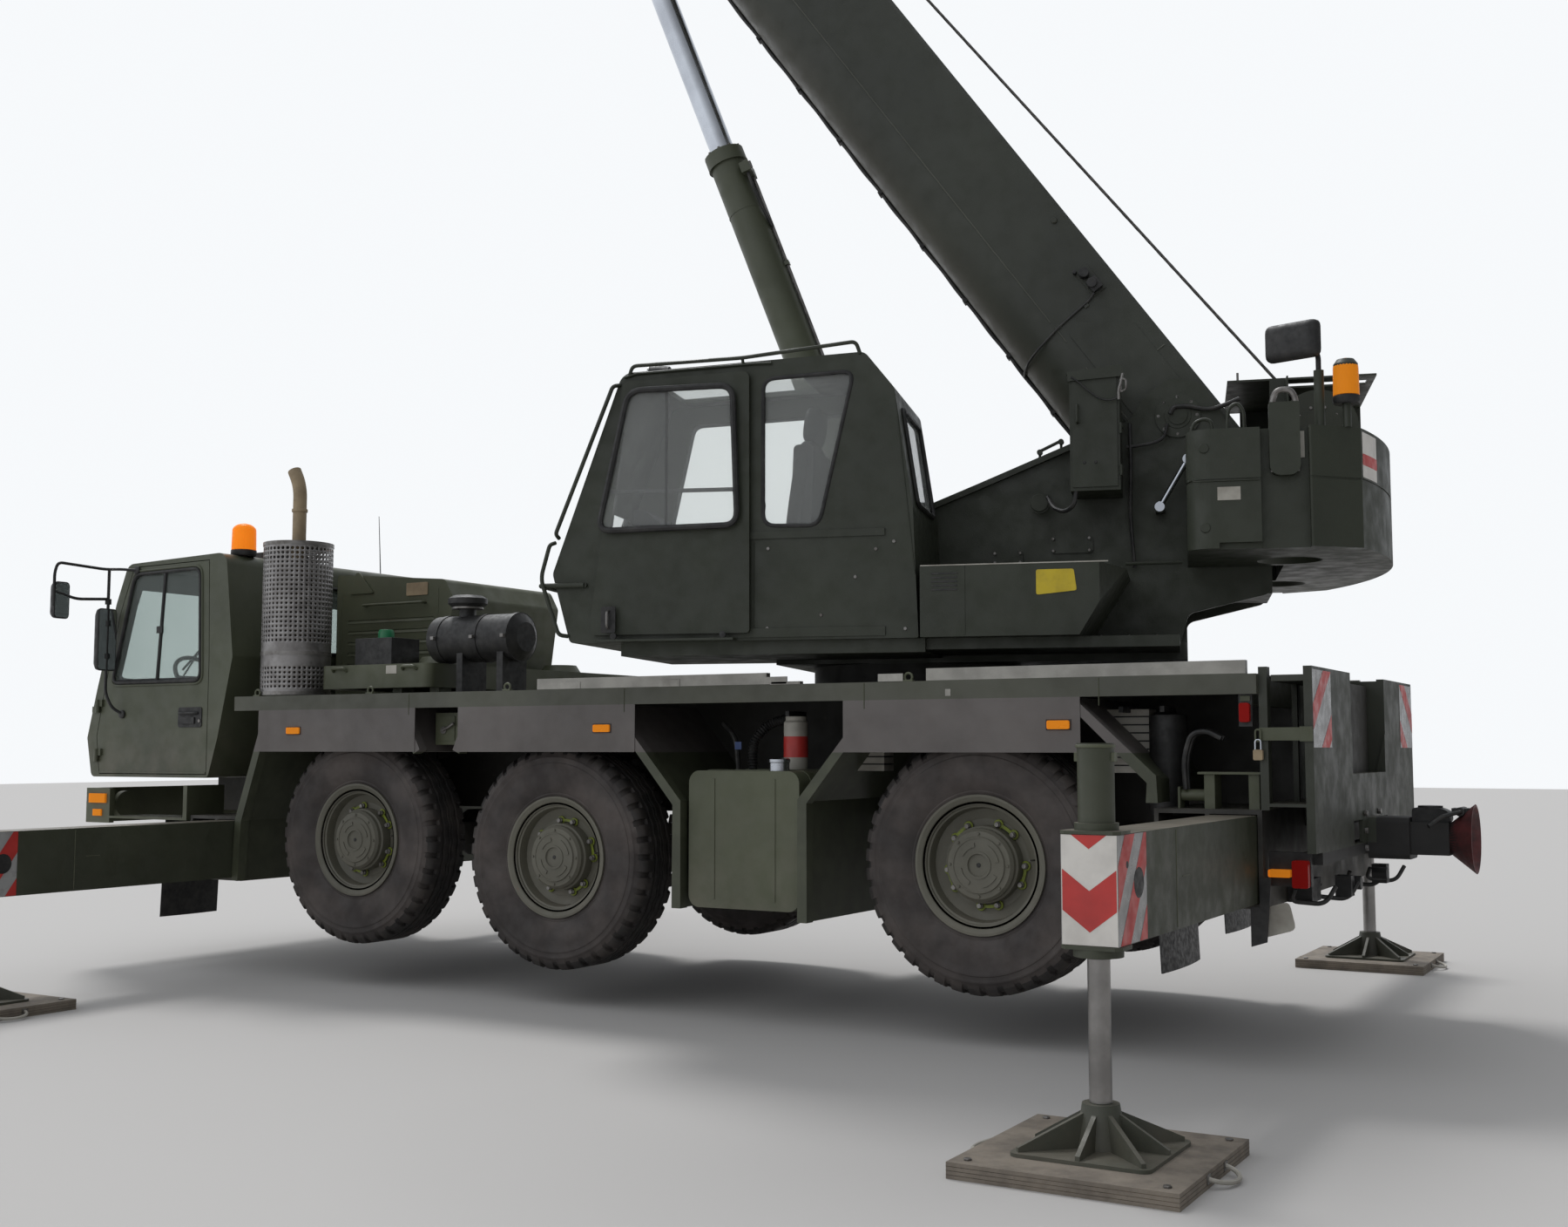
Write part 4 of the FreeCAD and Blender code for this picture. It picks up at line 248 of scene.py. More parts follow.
# %% [markdown]
# One function turns shells into a finished Blender object. It takes the shells sorted by material, places them, and
# makes the piece ride on its body. Edges sharper than a chosen angle stay sharp, and a bevel catches the light on
# sawn and pressed edges.

# %% Shells to a piece
def piece(name, body, shells, place=on_carrier, bevel=0.0, angle=38):
    """An object from {material: [shells]}, placed and riding on a body. A piece that names no body rides on none."""
    mesh = bpy.data.meshes.new(name)
    corners, faces, slots, count = [], [], [], 0
    for number, (material, group) in enumerate(shells.items()):
        mesh.materials.append(material)
        for shell in group:
            part, quads, caps = outward(shell)
            corners.append(part)
            faces += (quads + count).tolist() + [(cap + count).tolist() for cap in caps]
            slots += [number] * (len(quads) + len(caps))
            count += len(part)
    mesh.from_pydata(place(np.concatenate(corners)).tolist(), [], faces)
    mesh.polygons.foreach_set("material_index", slots)
    mesh.polygons.foreach_set("use_smooth", [True] * len(faces))
    mesh.set_sharp_from_angle(angle=math.radians(angle))
    mesh.update()
    made = bpy.data.objects.new(name, mesh)
    bpy.context.collection.objects.link(made)
    if bevel:
        soft = made.modifiers.new("soft_edges", "BEVEL")
        soft.width, soft.segments, soft.limit_method, soft.angle_limit = bevel, 2, "ANGLE", math.radians(angle)
        soft.harden_normals = True
    if body:
        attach(made, body)
    return made


# %% [markdown]
# Paint on a working machine is never one colour. It is lighter where it has chalked, browner where dust settles, and
# streaked where water runs down; here some of the tan on tops and undersides is painted sunlight and painted bounce
# light. Each finish below is built from noise in object coordinates, in metres, so that it stays on the piece at the
# right scale. A small class keeps the wiring readable.

# %% Wiring a material
class Finish:
    """A Principled material whose inputs are wired by short calls."""

    def __init__(self, name, colour, rough=0.5, metal=0.0):
        self.material = bpy.data.materials.new(name)
        self.material.use_nodes = True
        self.tree = self.material.node_tree
        self.shader = self.tree.nodes["Principled BSDF"]
        self.shader.inputs["Base Color"].default_value = (*colour, 1)
        self.shader.inputs["Roughness"].default_value = rough
        self.shader.inputs["Metallic"].default_value = metal
        self.spot = self.add("ShaderNodeTexCoord").outputs["Object"]

    def add(self, kind, **values):
        """A node with its settings."""
        node = self.tree.nodes.new(kind)
        for key, value in values.items():
            setattr(node, key, value)
        return node

    def feed(self, node, **sockets):
        """Set or link sockets by name; underscores stand for spaces."""
        for key, value in sockets.items():
            socket = node.inputs[int(key[1:]) if key[1:].isdigit() else key.replace("_", " ")]
            if isinstance(value, bpy.types.NodeSocket):
                self.tree.links.new(value, socket)
            else:
                socket.default_value = value
        return node

    def noise(self, scale, detail=4.0, stretch=(1, 1, 1), rough=0.55):
        """Clouds in object coordinates, finer with scale and squeezed by stretch."""
        mapped = self.feed(self.add("ShaderNodeMapping"), Vector=self.spot, Scale=stretch)
        cloud = self.feed(self.add("ShaderNodeTexNoise"), Vector=mapped.outputs[0], Scale=scale, Detail=detail,
                          Roughness=rough)
        return cloud.outputs["Fac"]

    def between(self, value, low, high, to_low=0.0, to_high=1.0):
        """A value remapped smoothly from low..high."""
        ramp = self.add("ShaderNodeMapRange", interpolation_type="SMOOTHSTEP")
        self.feed(ramp, Value=value, From_Min=low, From_Max=high, To_Min=to_low, To_Max=to_high)
        return ramp.outputs[0]

    def times(self, a, b, operation="MULTIPLY"):
        """Two values multiplied, or joined by another operation."""
        return self.feed(self.add("ShaderNodeMath", operation=operation), i0=a, i1=b).outputs[0]

    def mix(self, amount, a, b):
        """Colour a where the amount is 0 and b where it is 1."""
        node = self.add("ShaderNodeMix", data_type="RGBA")
        colours = [c if isinstance(c, bpy.types.NodeSocket) else (*c, 1) for c in (a, b)]
        self.feed(node, i0=amount, i6=colours[0], i7=colours[1])
        return node.outputs[2]

    def height(self, axis=2):
        """The place along one axis, which is the height unless another is named."""
        return self.feed(self.add("ShaderNodeSeparateXYZ"), Vector=self.spot).outputs[axis]

    def bump(self, value, depth):
        """A relief of the given depth, in metres."""
        node = self.feed(self.add("ShaderNodeBump"), Height=value, Distance=depth, Strength=1.0)
        self.feed(self.shader, Normal=node.outputs[0])

    def colour(self, socket):
        self.feed(self.shader, Base_Color=socket)

    def roughness(self, socket):
        self.feed(self.shader, Roughness=socket)


# %% [markdown]
# The crane's paint is a matt olive drab that has faded unevenly. Dust gathers low on the carrier, so the paint takes
# the height at which its dust begins. Streaks come from noise squeezed upright, and a very fine noise gives the
# slight orange peel of thick brushed paint.

# %% Drab paint
# Pale tan: the colour of dust, also used for painted sunlight on tops and painted bounce light under the boom.
DUST_AND_LIGHT_TAN = (0.20, 0.175, 0.14)


def drab_paint(name, colour, rough=0.5, dusty=0.12, dust_from=0.0, dust_to=0.0, settled=0.30, below=0.0,
               beyond=None):
    """Olive paint: shade from broad noise, streaks, dust that fades out between two heights, tan on what faces up that
    is partly dust and partly painted sunlight, and a paler tan of painted bounce light on what faces down. beyond =
    (zones, colour, roughness, metal) gives the part past any of its limits another finish; a zone is (axis, limit, 1
    above it or -1 under it)."""
    f = Finish(name, colour, rough)
    shade = f.between(f.noise(1.4, 5.0), 0.3, 0.7)
    dark, pale = [tuple(c * k for c in colour) for k in (0.84, 1.18)]
    ground = f.mix(shade, dark, pale)
    streaks = f.between(f.noise(2.2, 5.0, (5, 5, 0.8)), 0.62, 0.85, 0.0, dusty)
    specks = f.between(f.noise(26.0, 3.0), 0.64, 0.82, 0.0, dusty * 0.7)
    amount = f.times(streaks, specks, "ADD")
    if dust_to > dust_from:
        low = f.between(f.height(), dust_from, dust_to, 0.45, 0.0)
        amount = f.times(amount, f.times(low, f.between(f.noise(5.0, 6.0), 0.3, 0.75)), "ADD")
    facing = f.feed(f.add("ShaderNodeSeparateXYZ"), Vector=f.add("ShaderNodeNewGeometry").outputs["Normal"]).outputs[2]
    # Tan on what faces up: partly settled dust, partly painted sunlight on the top faces.
    top_dust_and_light_amount = f.times(f.between(facing, 0.75, 0.98, 0.0, settled), f.between(f.noise(3.0, 5.0), 0.25, 0.7, 0.5, 1.0))
    amount = f.times(amount, top_dust_and_light_amount, "ADD")
    # Painted bounce light: faces that point down are mixed towards pale tan, as if lit from the ground.
    if below:
        amount = f.times(amount, f.between(facing, -0.25, -0.75, 0.0, below), "ADD")
    paint = f.mix(amount, ground, DUST_AND_LIGHT_TAN)
    gloss = f.between(f.noise(9.0, 4.0), 0.25, 0.75, rough - 0.10, rough + 0.14)
    if beyond:
        zones, other, other_rough, metal = beyond
        past = 0.0
        for axis, limit, way in zones:
            inside = f.between(f.height(axis), limit - way * 0.001, limit + way * 0.001)
            past = f.times(past, inside, "MAXIMUM")
        # The other finish with a little noise; on the rear rack its near-black under the panels is painted shade.
        other_tone = f.mix(f.between(f.noise(7.0, 5.0), 0.3, 0.7), other, tuple(c * 0.72 for c in other))
        paint = f.mix(past, paint, other_tone)
        gloss = f.times(gloss, f.times(past, f.times(other_rough, gloss, "SUBTRACT")), "ADD")
        f.feed(f.shader, Metallic=f.times(past, metal))
    f.colour(paint)
    f.roughness(gloss)
    f.bump(f.noise(150.0, 2.0), 0.0006)
    return f.material


# The upper works and the boom are much darker than the carrier's olive drab; the darkness is partly painted shade.
PAINT_UPPER_WITH_SHADE = drab_paint("paint_upper", (0.026, 0.031, 0.019), 0.50, 0.06)
PAINT_BOOM_WITH_SHADE = drab_paint("paint_boom", (0.030, 0.034, 0.024), 0.46, 0.05, below=0.30)
# The beam tops are strongly tan: partly dust, partly painted sunlight.
PAINT_BEAM = drab_paint("paint_beam", (0.046, 0.051, 0.032), 0.52, 0.05, settled=0.95)
PAINT_CAB = drab_paint("paint_cab", (0.066, 0.074, 0.045), 0.46, 0.06, 1.2, 2.0)
PAINT_CARRIER = drab_paint("paint_carrier", (0.082, 0.090, 0.053), 0.52, 0.08, 0.3, 1.5)
PAINT_GUARD = drab_paint("paint_mudguard", (0.118, 0.106, 0.100), 0.55, 0.14, 0.4, 1.9,
                         beyond=(((2, 1.529, -1),), (0.070, 0.077, 0.047), 0.52, 0.0))
PAINT_HUB = drab_paint("paint_hub", (0.122, 0.117, 0.090), 0.55, 0.16, 0.2, 1.2)
BEAD = drab_paint("weld_bead", (0.080, 0.082, 0.066), 0.5, 0.1)
PAINT_UNDER = drab_paint("paint_under", (0.030, 0.029, 0.025), 0.62, 0.20, 0.2, 1.6)
print("paints:", len(bpy.data.materials))

# %% [markdown]
# Tyres are carbon black under a film of brown road dust, thickest on the sidewall. Plastic and rubber trim is dark
# and slightly rough. Metals are left bare where something slides: chrome on the rods, dull aluminium on the deck
# rails, stainless sheet round the silencer.

# %% Rubber, plastic and metals
def grubby(name, colour, other, rough=0.6, scale=6.0, metal=0.0, bump=0.0, fine=120.0):
    """Two colours mixed by cloudy noise, with uneven roughness and a fine grain."""
    f = Finish(name, colour, rough, metal)
    f.colour(f.mix(f.between(f.noise(scale, 6.0), 0.35, 0.72), colour, other))
    f.roughness(f.between(f.noise(scale * 3, 4.0), 0.3, 0.7, max(rough - 0.12, 0.05), rough + 0.12))
    if bump:
        f.bump(f.noise(fine, 3.0), bump)
    return f.material


TYRE = grubby("tyre_rubber", (0.020, 0.018, 0.017), (0.056, 0.047, 0.042), 0.78, 5.0, bump=0.0008)
TYRE_WALL = grubby("tyre_sidewall", (0.036, 0.030, 0.028), (0.088, 0.073, 0.066), 0.72, 3.0, bump=0.0005)
TRIM = grubby("black_trim", (0.012, 0.012, 0.012), (0.030, 0.029, 0.028), 0.55, 10.0, bump=0.0003)
HOSE = grubby("hose_rubber", (0.014, 0.014, 0.014), (0.040, 0.038, 0.035), 0.5, 14.0)
SEAT = grubby("seat_cloth", (0.018, 0.018, 0.020), (0.034, 0.034, 0.036), 0.9, 30.0, bump=0.002, fine=400.0)
CHROME = grubby("chrome_rod", (0.60, 0.63, 0.68), (0.46, 0.48, 0.52), 0.17, 3.0, metal=1.0)
RAIL = grubby("deck_rail", (0.34, 0.33, 0.30), (0.22, 0.21, 0.19), 0.42, 7.0, metal=0.7, bump=0.0006)
SHEET = grubby("stainless_sheet", (0.30, 0.29, 0.285), (0.19, 0.18, 0.175), 0.40, 8.0, metal=0.8, bump=0.0004)
STEEL = grubby("bare_steel", (0.26, 0.25, 0.24), (0.12, 0.11, 0.10), 0.45, 12.0, metal=0.8)
RUSTY = grubby("burnt_pipe", (0.10, 0.075, 0.05), (0.030, 0.024, 0.020), 0.8, 9.0, bump=0.001)
CABLE = grubby("wire_rope", (0.060, 0.058, 0.054), (0.14, 0.13, 0.12), 0.45, 60.0, metal=0.6)
PALE = grubby("pale_plastic", (0.45, 0.43, 0.38), (0.30, 0.28, 0.24), 0.6, 6.0)
TAN = grubby("tan_primer", (0.34, 0.26, 0.16), (0.24, 0.18, 0.11), 0.7, 9.0)
MAT_WOOD = grubby("mat_board", (0.24, 0.205, 0.165), (0.155, 0.132, 0.108), 0.85, 8.0, bump=0.002, fine=60.0)
NUT_TAG = grubby("nut_indicator", (0.20, 0.25, 0.02), (0.12, 0.14, 0.02), 0.5, 30.0)
YELLOW = grubby("yellow_plate", (0.62, 0.47, 0.02), (0.50, 0.37, 0.02), 0.5, 12.0)
WHITE = grubby("white_board", (0.74, 0.71, 0.66), (0.60, 0.57, 0.53), 0.45, 6.0)
DARK_RED = grubby("dark_red", (0.13, 0.030, 0.030), (0.055, 0.022, 0.022), 0.6, 12.0)
RED = grubby("red_board", (0.55, 0.040, 0.034), (0.42, 0.034, 0.030), 0.42, 6.0)
GREEN_CAP = grubby("green_cap", (0.01, 0.20, 0.08), (0.01, 0.14, 0.05), 0.4, 12.0)
BLUE_TAG = grubby("blue_tag", (0.03, 0.07, 0.22), (0.02, 0.05, 0.15), 0.4, 12.0)
print("finishes with rubber, plastic and metals:", len(bpy.data.materials))

# %% [markdown]
# Glass in a cab is tinted a little grey green and shows both the sky and the seats behind it. Lamp lenses are
# coloured plastic: they pass light and keep a bright surface, and a faint glow makes the beacons read as lit.

# %% Glass and lenses
def clear(name, colour, rough=0.03, pass_through=0.9, glow=0.0):
    """Transparent material: transmission, an index of refraction near one for thin panes, and a little glow."""
    f = Finish(name, colour, rough)
    f.feed(f.shader, Transmission_Weight=pass_through, IOR=1.12)
    f.roughness(f.between(f.noise(3.0, 5.0), 0.4, 0.8, rough, rough + 0.06))
    if glow:
        f.feed(f.shader, Emission_Color=(*colour, 1), Emission_Strength=glow)
    return f.material


GLASS = clear("cab_glass", (0.66, 0.72, 0.70))
CLEAR_GLASS = clear("crane_cab_glass", (0.93, 0.95, 0.94), 0.01)
MIRROR = grubby("mirror_face", (0.75, 0.77, 0.78), (0.65, 0.67, 0.68), 0.06, 2.0, metal=1.0)
AMBER = clear("amber_lens", (0.95, 0.30, 0.02), 0.25, 0.35, glow=0.25)
RED_LENS = clear("red_lens", (0.34, 0.012, 0.01), 0.25, 0.2, glow=0.02)
LAMP_GLASS = clear("lamp_glass", (0.85, 0.87, 0.88), 0.05, 0.8)
print("finishes with glass and lenses:", len(bpy.data.materials))

# %% [markdown]
# A tyre of this kind has about forty lugs on each shoulder and zigzag grooves between its ribs. Its surface is one
# grid: the section runs from bead to bead, and the section is repeated round the axle. A slot between two lugs is the
# same section with a smaller radius, so eight unevenly spaced rows to a lug are enough to give steep walls. Carving
# the slots out of a plain ring would cost far more time and leave a poorer mesh.

# %% Treaded tyres
LUGS, TREAD_FROM = 40, 0.63
ROW_IN_LUG = np.array((0.0, 0.05, 0.33, 0.38, 0.53, 0.68, 0.83, 0.95))
# radius, distance from the middle plane, depth of the slots between lugs, swing of the zigzag
HALF_TYRE = np.array((
    (0.320, 0.150, 0, 0), (0.366, 0.150, 0, 0), (0.374, 0.154, 0, 0), (0.384, 0.158, 0, 0), (0.390, 0.157, 0, 0),
    (0.420, 0.1735, 0, 0), (0.452, 0.182, 0, 0), (0.480, 0.1870, 0, 0), (0.520, 0.1885, 0, 0), (0.556, 0.1878, 0, 0),
    (0.560, 0.1895, 0, 0), (0.572, 0.1895, 0, 0), (0.576, 0.1865, 0, 0), (0.596, 0.1855, 0, 0), (0.600, 0.1875, 0, 0),
    (0.608, 0.1870, 0, 0), (0.612, 0.1835, 0, 0), (0.622, 0.1805, 0.005, 0), (0.640, 0.1745, 0.012, 0),
    (0.658, 0.165, 0.016, 0), (0.674, 0.147, 0.020, 0), (0.6795, 0.130, 0.020, 0), (0.680, 0.104, 0.020, 0),
    (0.680, 0.098, 0.0, 0), (0.680, 0.078, 0, 0.5), (0.664, 0.074, 0, 0.5), (0.664, 0.058, 0, 0.5),
    (0.680, 0.054, 0, 1), (0.680, 0.046, 0, 1), (0.680, 0.022, 0, 1), (0.665, 0.018, 0, 1), (0.665, 0.010, 0, 1),
    (0.680, 0.006, 0, 1)))


def tyre_grid(centre):
    """Radius = section radius less the slot depth where a row lies in a slot; offset = section offset plus a
    triangle wave of the angle; the point is that radius turned round the axle."""
    away = HALF_TYRE[::-1] * (1, -1, 1, 1)
    radius, offset, slot, swing = np.concatenate([HALF_TYRE, away]).T
    part = np.tile(ROW_IN_LUG, LUGS)
    turn = (np.repeat(np.arange(LUGS), len(ROW_IN_LUG)) + part) * 2 * np.pi / LUGS
    in_slot = ((part > 0.02) & (part < 0.35)).astype(float)
    wave = 0.007 * (np.abs(2 * part - 1) * 2 - 1)
    r = radius - slot * in_slot[:, None]
    a = offset + swing * wave[:, None]
    return points(r * np.cos(turn)[:, None], a, r * np.sin(turn)[:, None]) + centre


def wheel_middle(tag):
    """Centre of a wheel, from the box of its tyre, in the carrier's measures."""
    return np.mean(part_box("tyre_" + tag), axis=0) - SLEW_AXIS


TAGS = [axle + side for axle in "123" for side in "lr"]
on_tread = np.abs(np.concatenate([HALF_TYRE, HALF_TYRE[::-1]])[:, 0]) > TREAD_FROM
for tag in TAGS:
    tyre = piece("treaded_tyre_" + tag, "wheel_" + tag, {TYRE_WALL: [skin(tyre_grid(wheel_middle(tag)), ring=True)]},
                 angle=30)
    tyre.data.materials.append(TYRE)
    strip = (on_tread & np.roll(on_tread, -1)).astype(int)
    tyre.data.polygons.foreach_set("material_index", np.tile(strip, LUGS * len(ROW_IN_LUG)))
    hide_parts("tyre_" + tag)
print("tyres:", len(TAGS), "of", len(tyre.data.polygons), "faces")

# %% [markdown]
# In the dish of each rim sit ten wheel nuts in pairs, and each pair wears a loose-nut indicator, a small yellow-green
# bow tie. The hub cap carries raised arcs. An arc is a closed strip: its section is a rectangle, swept through an
# angle. All of these are repeated by turning one shell about the axle.

# %% Nuts, indicators and hub caps
def arc_strip(r0, r1, low, high, begin, end, steps=10):
    """Rectangle r0..r1 by low..high turned about the y axis from begin to end, in degrees."""
    t = np.radians(np.linspace(begin, end, steps))[:, None]
    r, a = np.array((r0, r1, r1, r0)), np.array((low, low, high, high))
    return skin(points(r * np.cos(t), a + 0 * t, r * np.sin(t)))


def mirrored_y(shells, side):
    """The shells as they are on the right, or with y reversed on the left."""
    return [(corners * (1, side, 1), quads, caps) for corners, quads, caps in shells]


def moved(shells, offset):
    """Every shell moved by one offset."""
    return [(corners + offset, quads, caps) for corners, quads, caps in shells]


PAIRS = np.radians(np.arange(5) * 72 + 20)
NUT_GAP = math.radians(26)
nut_turns = np.concatenate([PAIRS, PAIRS + NUT_GAP])
nut = lathe([(0.004, 0.052), (0.0235, 0.052), (0.0235, 0.060), (0.017, 0.061), (0.017, 0.080), (0.013, 0.084),
             (0.012, 0.084), (0.012, 0.094), (0.004, 0.094)], (0.221, 0, 0), sides=12, closed=False)
washer = disc(0.027, 0.060, 0.066, (0.221, 0, 0), sides=16)
tie = arc_strip(0.213, 0.229, 0.066, 0.071, -23, -3, 6)
valve = bar(points([0.27, 0.275, 0.262], [0.060, 0.085, 0.112], [0.03, 0.03, 0.03]), 0.005, 8)
cap_arcs = [arc_strip(0.096, 0.118, 0.173, 0.179, start, start + 52) for start in (10, 100, 190, 280)]
cap_arcs += [arc_strip(0.140, 0.146, 0.173, 0.177, 0, 358, 40), arc_strip(0.060, 0.072, 0.173, 0.178, 0, 358, 30)]
cap_bolts = turned_about(disc(0.008, 0.166, 0.174, (0.163, 0, 0), sides=6), np.arange(8) * np.pi / 4)
inner_ring = lathe([(0.320, 0.118), (0.326, 0.122), (0.326, 0.142), (0.321, 0.146), (0.314, 0.142), (0.312, 0.120)],
                   (0, 0, 0), sides=64)
plug = disc(0.012, 0.166, 0.172, (0, 0, 0), sides=12)
for tag in TAGS:
    side = 1 if tag.endswith("r") else -1
    lead = 0.23 * TAGS.index(tag)
    shells = {STEEL: [turned_about(nut, nut_turns + lead), valve],
              NUT_TAG: [turned_about(washer, nut_turns + lead), turned_about(tie, PAIRS + lead)],
              PAINT_HUB: cap_arcs + [cap_bolts, inner_ring], TRIM: [plug]}
    middle = wheel_middle(tag)
    piece("wheel_trim_" + tag, "wheel_" + tag,
          {m: moved(mirrored_y(group, side), middle) for m, group in shells.items()})
print("wheel trim on", len(TAGS), "wheels,", 2 * len(PAIRS), "nuts each")

# %% [markdown]
# The ends of the outrigger beams stick out into the road, so they wear warning film: chevrons on the end, slanted
# stripes on both sides. A slanted stripe cut off by a rectangle is a grid whose columns are the stripe edges, pushed
# into the rectangle's limits. Rows are added at each height where an edge meets a limit, so every cut is exact.

# %% Warning film
def slanted(edges, lean, deep, wide):
    """Stripes on a rectangle deep by wide: edge k lies at edges[k] - lean * depth, held between 0 and wide. Returns
    the grid of (depth, width) and the rows and columns of each red cell."""
    edges = np.asarray(edges, float)
    rows = np.unique(np.clip(np.concatenate([(0, deep), edges / lean, (edges - wide) / lean]), 0, deep).round(6))
    width = np.clip(edges - lean * rows[:, None], 0, wide)
    return np.stack([rows[:, None] + 0 * width, width], -1)


def film(grid, to_place):
    """Quads between columns 0 and 1, 2 and 3 and so on, leaving out those with no area."""
    index = np.arange(grid.shape[0] * grid.shape[1]).reshape(grid.shape[:2])
    quads = np.stack([index[:-1, :-1:2], index[:-1, 1::2], index[1:, 1::2], index[1:, :-1:2]], -1).reshape(-1, 4)
    flat = grid.reshape(-1, 2)
    d1, d2 = flat[quads[:, 2]] - flat[quads[:, 0]], flat[quads[:, 3]] - flat[quads[:, 1]]
    return to_place(flat), quads[np.abs(d1[:, 0] * d2[:, 1] - d1[:, 1] * d2[:, 0]) > 1e-7], []


OUTRIGGERS = {"fl": (-4.660, 0.670, 1.056), "fr": (-4.912, 0.670, 1.056), "rl": (2.300, 0.817, 1.231),
              "rr": (2.048, 0.817, 1.231)}
BEAM_END, BEAM_HALF, JACK_OUT = 3.330, 0.110, 3.240
FILM, RED_FILM, BLACK_FILM, FILM_WIDE = 0.0015, 0.0008, 0.0028, 0.335
# White warning film greyed as painted shade, for the beam sides and the rear panels.
SHADED_WHITE_FILM = grubby("side_film", (0.36, 0.36, 0.36), (0.26, 0.255, 0.25), 0.35, 7.0)
for tag, (x, low, high) in OUTRIGGERS.items():
    side = 1 if tag.endswith("r") else -1
    deep = high - low - 0.006
    top = high - 0.003
    end = side * (BEAM_END + FILM)
    chevrons = slanted((-0.20, 0.052, 0.207, 0.360), 0.75, BEAM_HALF - 0.004, deep)
    bands = slanted((0.080, 0.197, 0.304, 0.421, 0.528, 0.645), 0.70, deep, FILM_WIDE)
    white = [block(x - BEAM_HALF + 0.001, x + BEAM_HALF - 0.001, *sorted((side * BEAM_END, end)), low + 0.003, top)]
    red, grey, black = [], [], []
    for way in (-1, 1):
        red.append(film(chevrons, lambda g: points(x + way * g[:, 0], end + side * RED_FILM, top - g[:, 1])))
        face = x + way * (BEAM_HALF + FILM)
        red.append(film(bands, lambda g: points(face + way * RED_FILM, side * (BEAM_END - g[:, 1]), top - g[:, 0])))
        grey.append(block(*sorted((x + way * BEAM_HALF, face)), *flank(side, BEAM_END, BEAM_END - FILM_WIDE),
                          low + 0.003, top))
        black += [disc(radius, 0, way * BLACK_FILM, (x + way * BEAM_HALF, side * (BEAM_END - back), high - down), "x")
                  for radius, back, down in ((0.060, 0.240, 0.190), (0.015, 0.105, 0.115))]
    piece("warning_film_" + tag, "beam_" + tag, {WHITE: white, RED: red, SHADED_WHITE_FILM: grey, TRIM: black}, angle=30)
print("film on", len(OUTRIGGERS), "beam ends")

# %% [markdown]
# A few small forms make the beams read as welded work: a seam where two lengths of plate meet, the lugs at the top of
# each jack tube, and the ring that guides the rod.

# %% Weld seams, tube lugs and rod wipers
for tag, (x, low, high) in OUTRIGGERS.items():
    side = 1 if tag.endswith("r") else -1
    jack_y = side * JACK_OUT
    seams, lugs = [], []
    for way in (-1, 1):
        across = x + way * BEAM_HALF
        seams.append(bar(points(across, side * 2.60, np.linspace(low + 0.01, high - 0.01, 12)), 0.0035, 6))
        seams.append(bar(points(across, side * np.linspace(2.42, 2.52, 4), low + 0.21), 0.003, 6))
        lugs.append(block(*sorted((x + way * 0.062, x + way * 0.080)), jack_y - 0.018, jack_y + 0.018,
                          high + 0.270, high + 0.305))
    rim = disc(0.076, high + 0.322, high + 0.334, (x, jack_y, 0), "z", 40)
    wiper = lathe([(0.047, low - 0.052), (0.060, low - 0.051), (0.062, low - 0.046), (0.047, low - 0.046)],
                  (x, jack_y, 0), "z", 32)
    piece("beam_details_" + tag, "beam_" + tag, {PAINT_CARRIER: seams + lugs + [rim], TRIM: [wiper]}, bevel=0.002)
print("seams, lugs and wipers on", len(OUTRIGGERS), "beams")

# %% [markdown]
# Under each pad lies a mat of thick board. Its edge shows the plies, its corners carry a bolt, and a short webbing
# handle is stapled to two of its sides for dragging it about.

# %% Mat handles and bolts
for tag, (x, low, high) in OUTRIGGERS.items():
    side = 1 if tag.endswith("r") else -1
    y = side * JACK_OUT
    t = np.linspace(0, np.pi, 17)
    handles = [bar(points(x + way * (0.432 + 0.075 * np.sin(t)), y + 0.11 * np.cos(t), 0.034 - 0.018 * np.sin(t)),
                   0.009, 8) for way in (-1, 1)]
    plates = [block(x + way * 0.431 - 0.003, x + way * 0.431 + 0.003, y + j * 0.11 - 0.02, y + j * 0.11 + 0.02, 0.018,
                    0.050) for way in (-1, 1) for j in (-1, 1)]
    bolts = copies(disc(0.016, 0.060, 0.068, (0, 0, 0), "z", 6),
                   [(x + i * 0.37, y + j * 0.39, 0) for i in (-1, 1) for j in (-1, 1)])
    plies = copies(block(x - 0.4306, x + 0.4306, y - 0.4506, y + 0.4506, 0, 0.0015),
                   [(0, 0, z) for z in (0.014, 0.029, 0.044)])
    piece("mat_details_" + tag, "jack_" + tag, {PALE: handles, STEEL: plates + [bolts], RUSTY: [plies]})
print("handles and bolts on", len(OUTRIGGERS), "mats")

# %% [markdown]
# The carrier's cab has flat glass held in rubber. Each pane is a thin slab a little smaller than its opening, and a
# round rubber seal runs over the joint, so no gap shows. The side windows are in two halves that slide, with an
# upright between them.

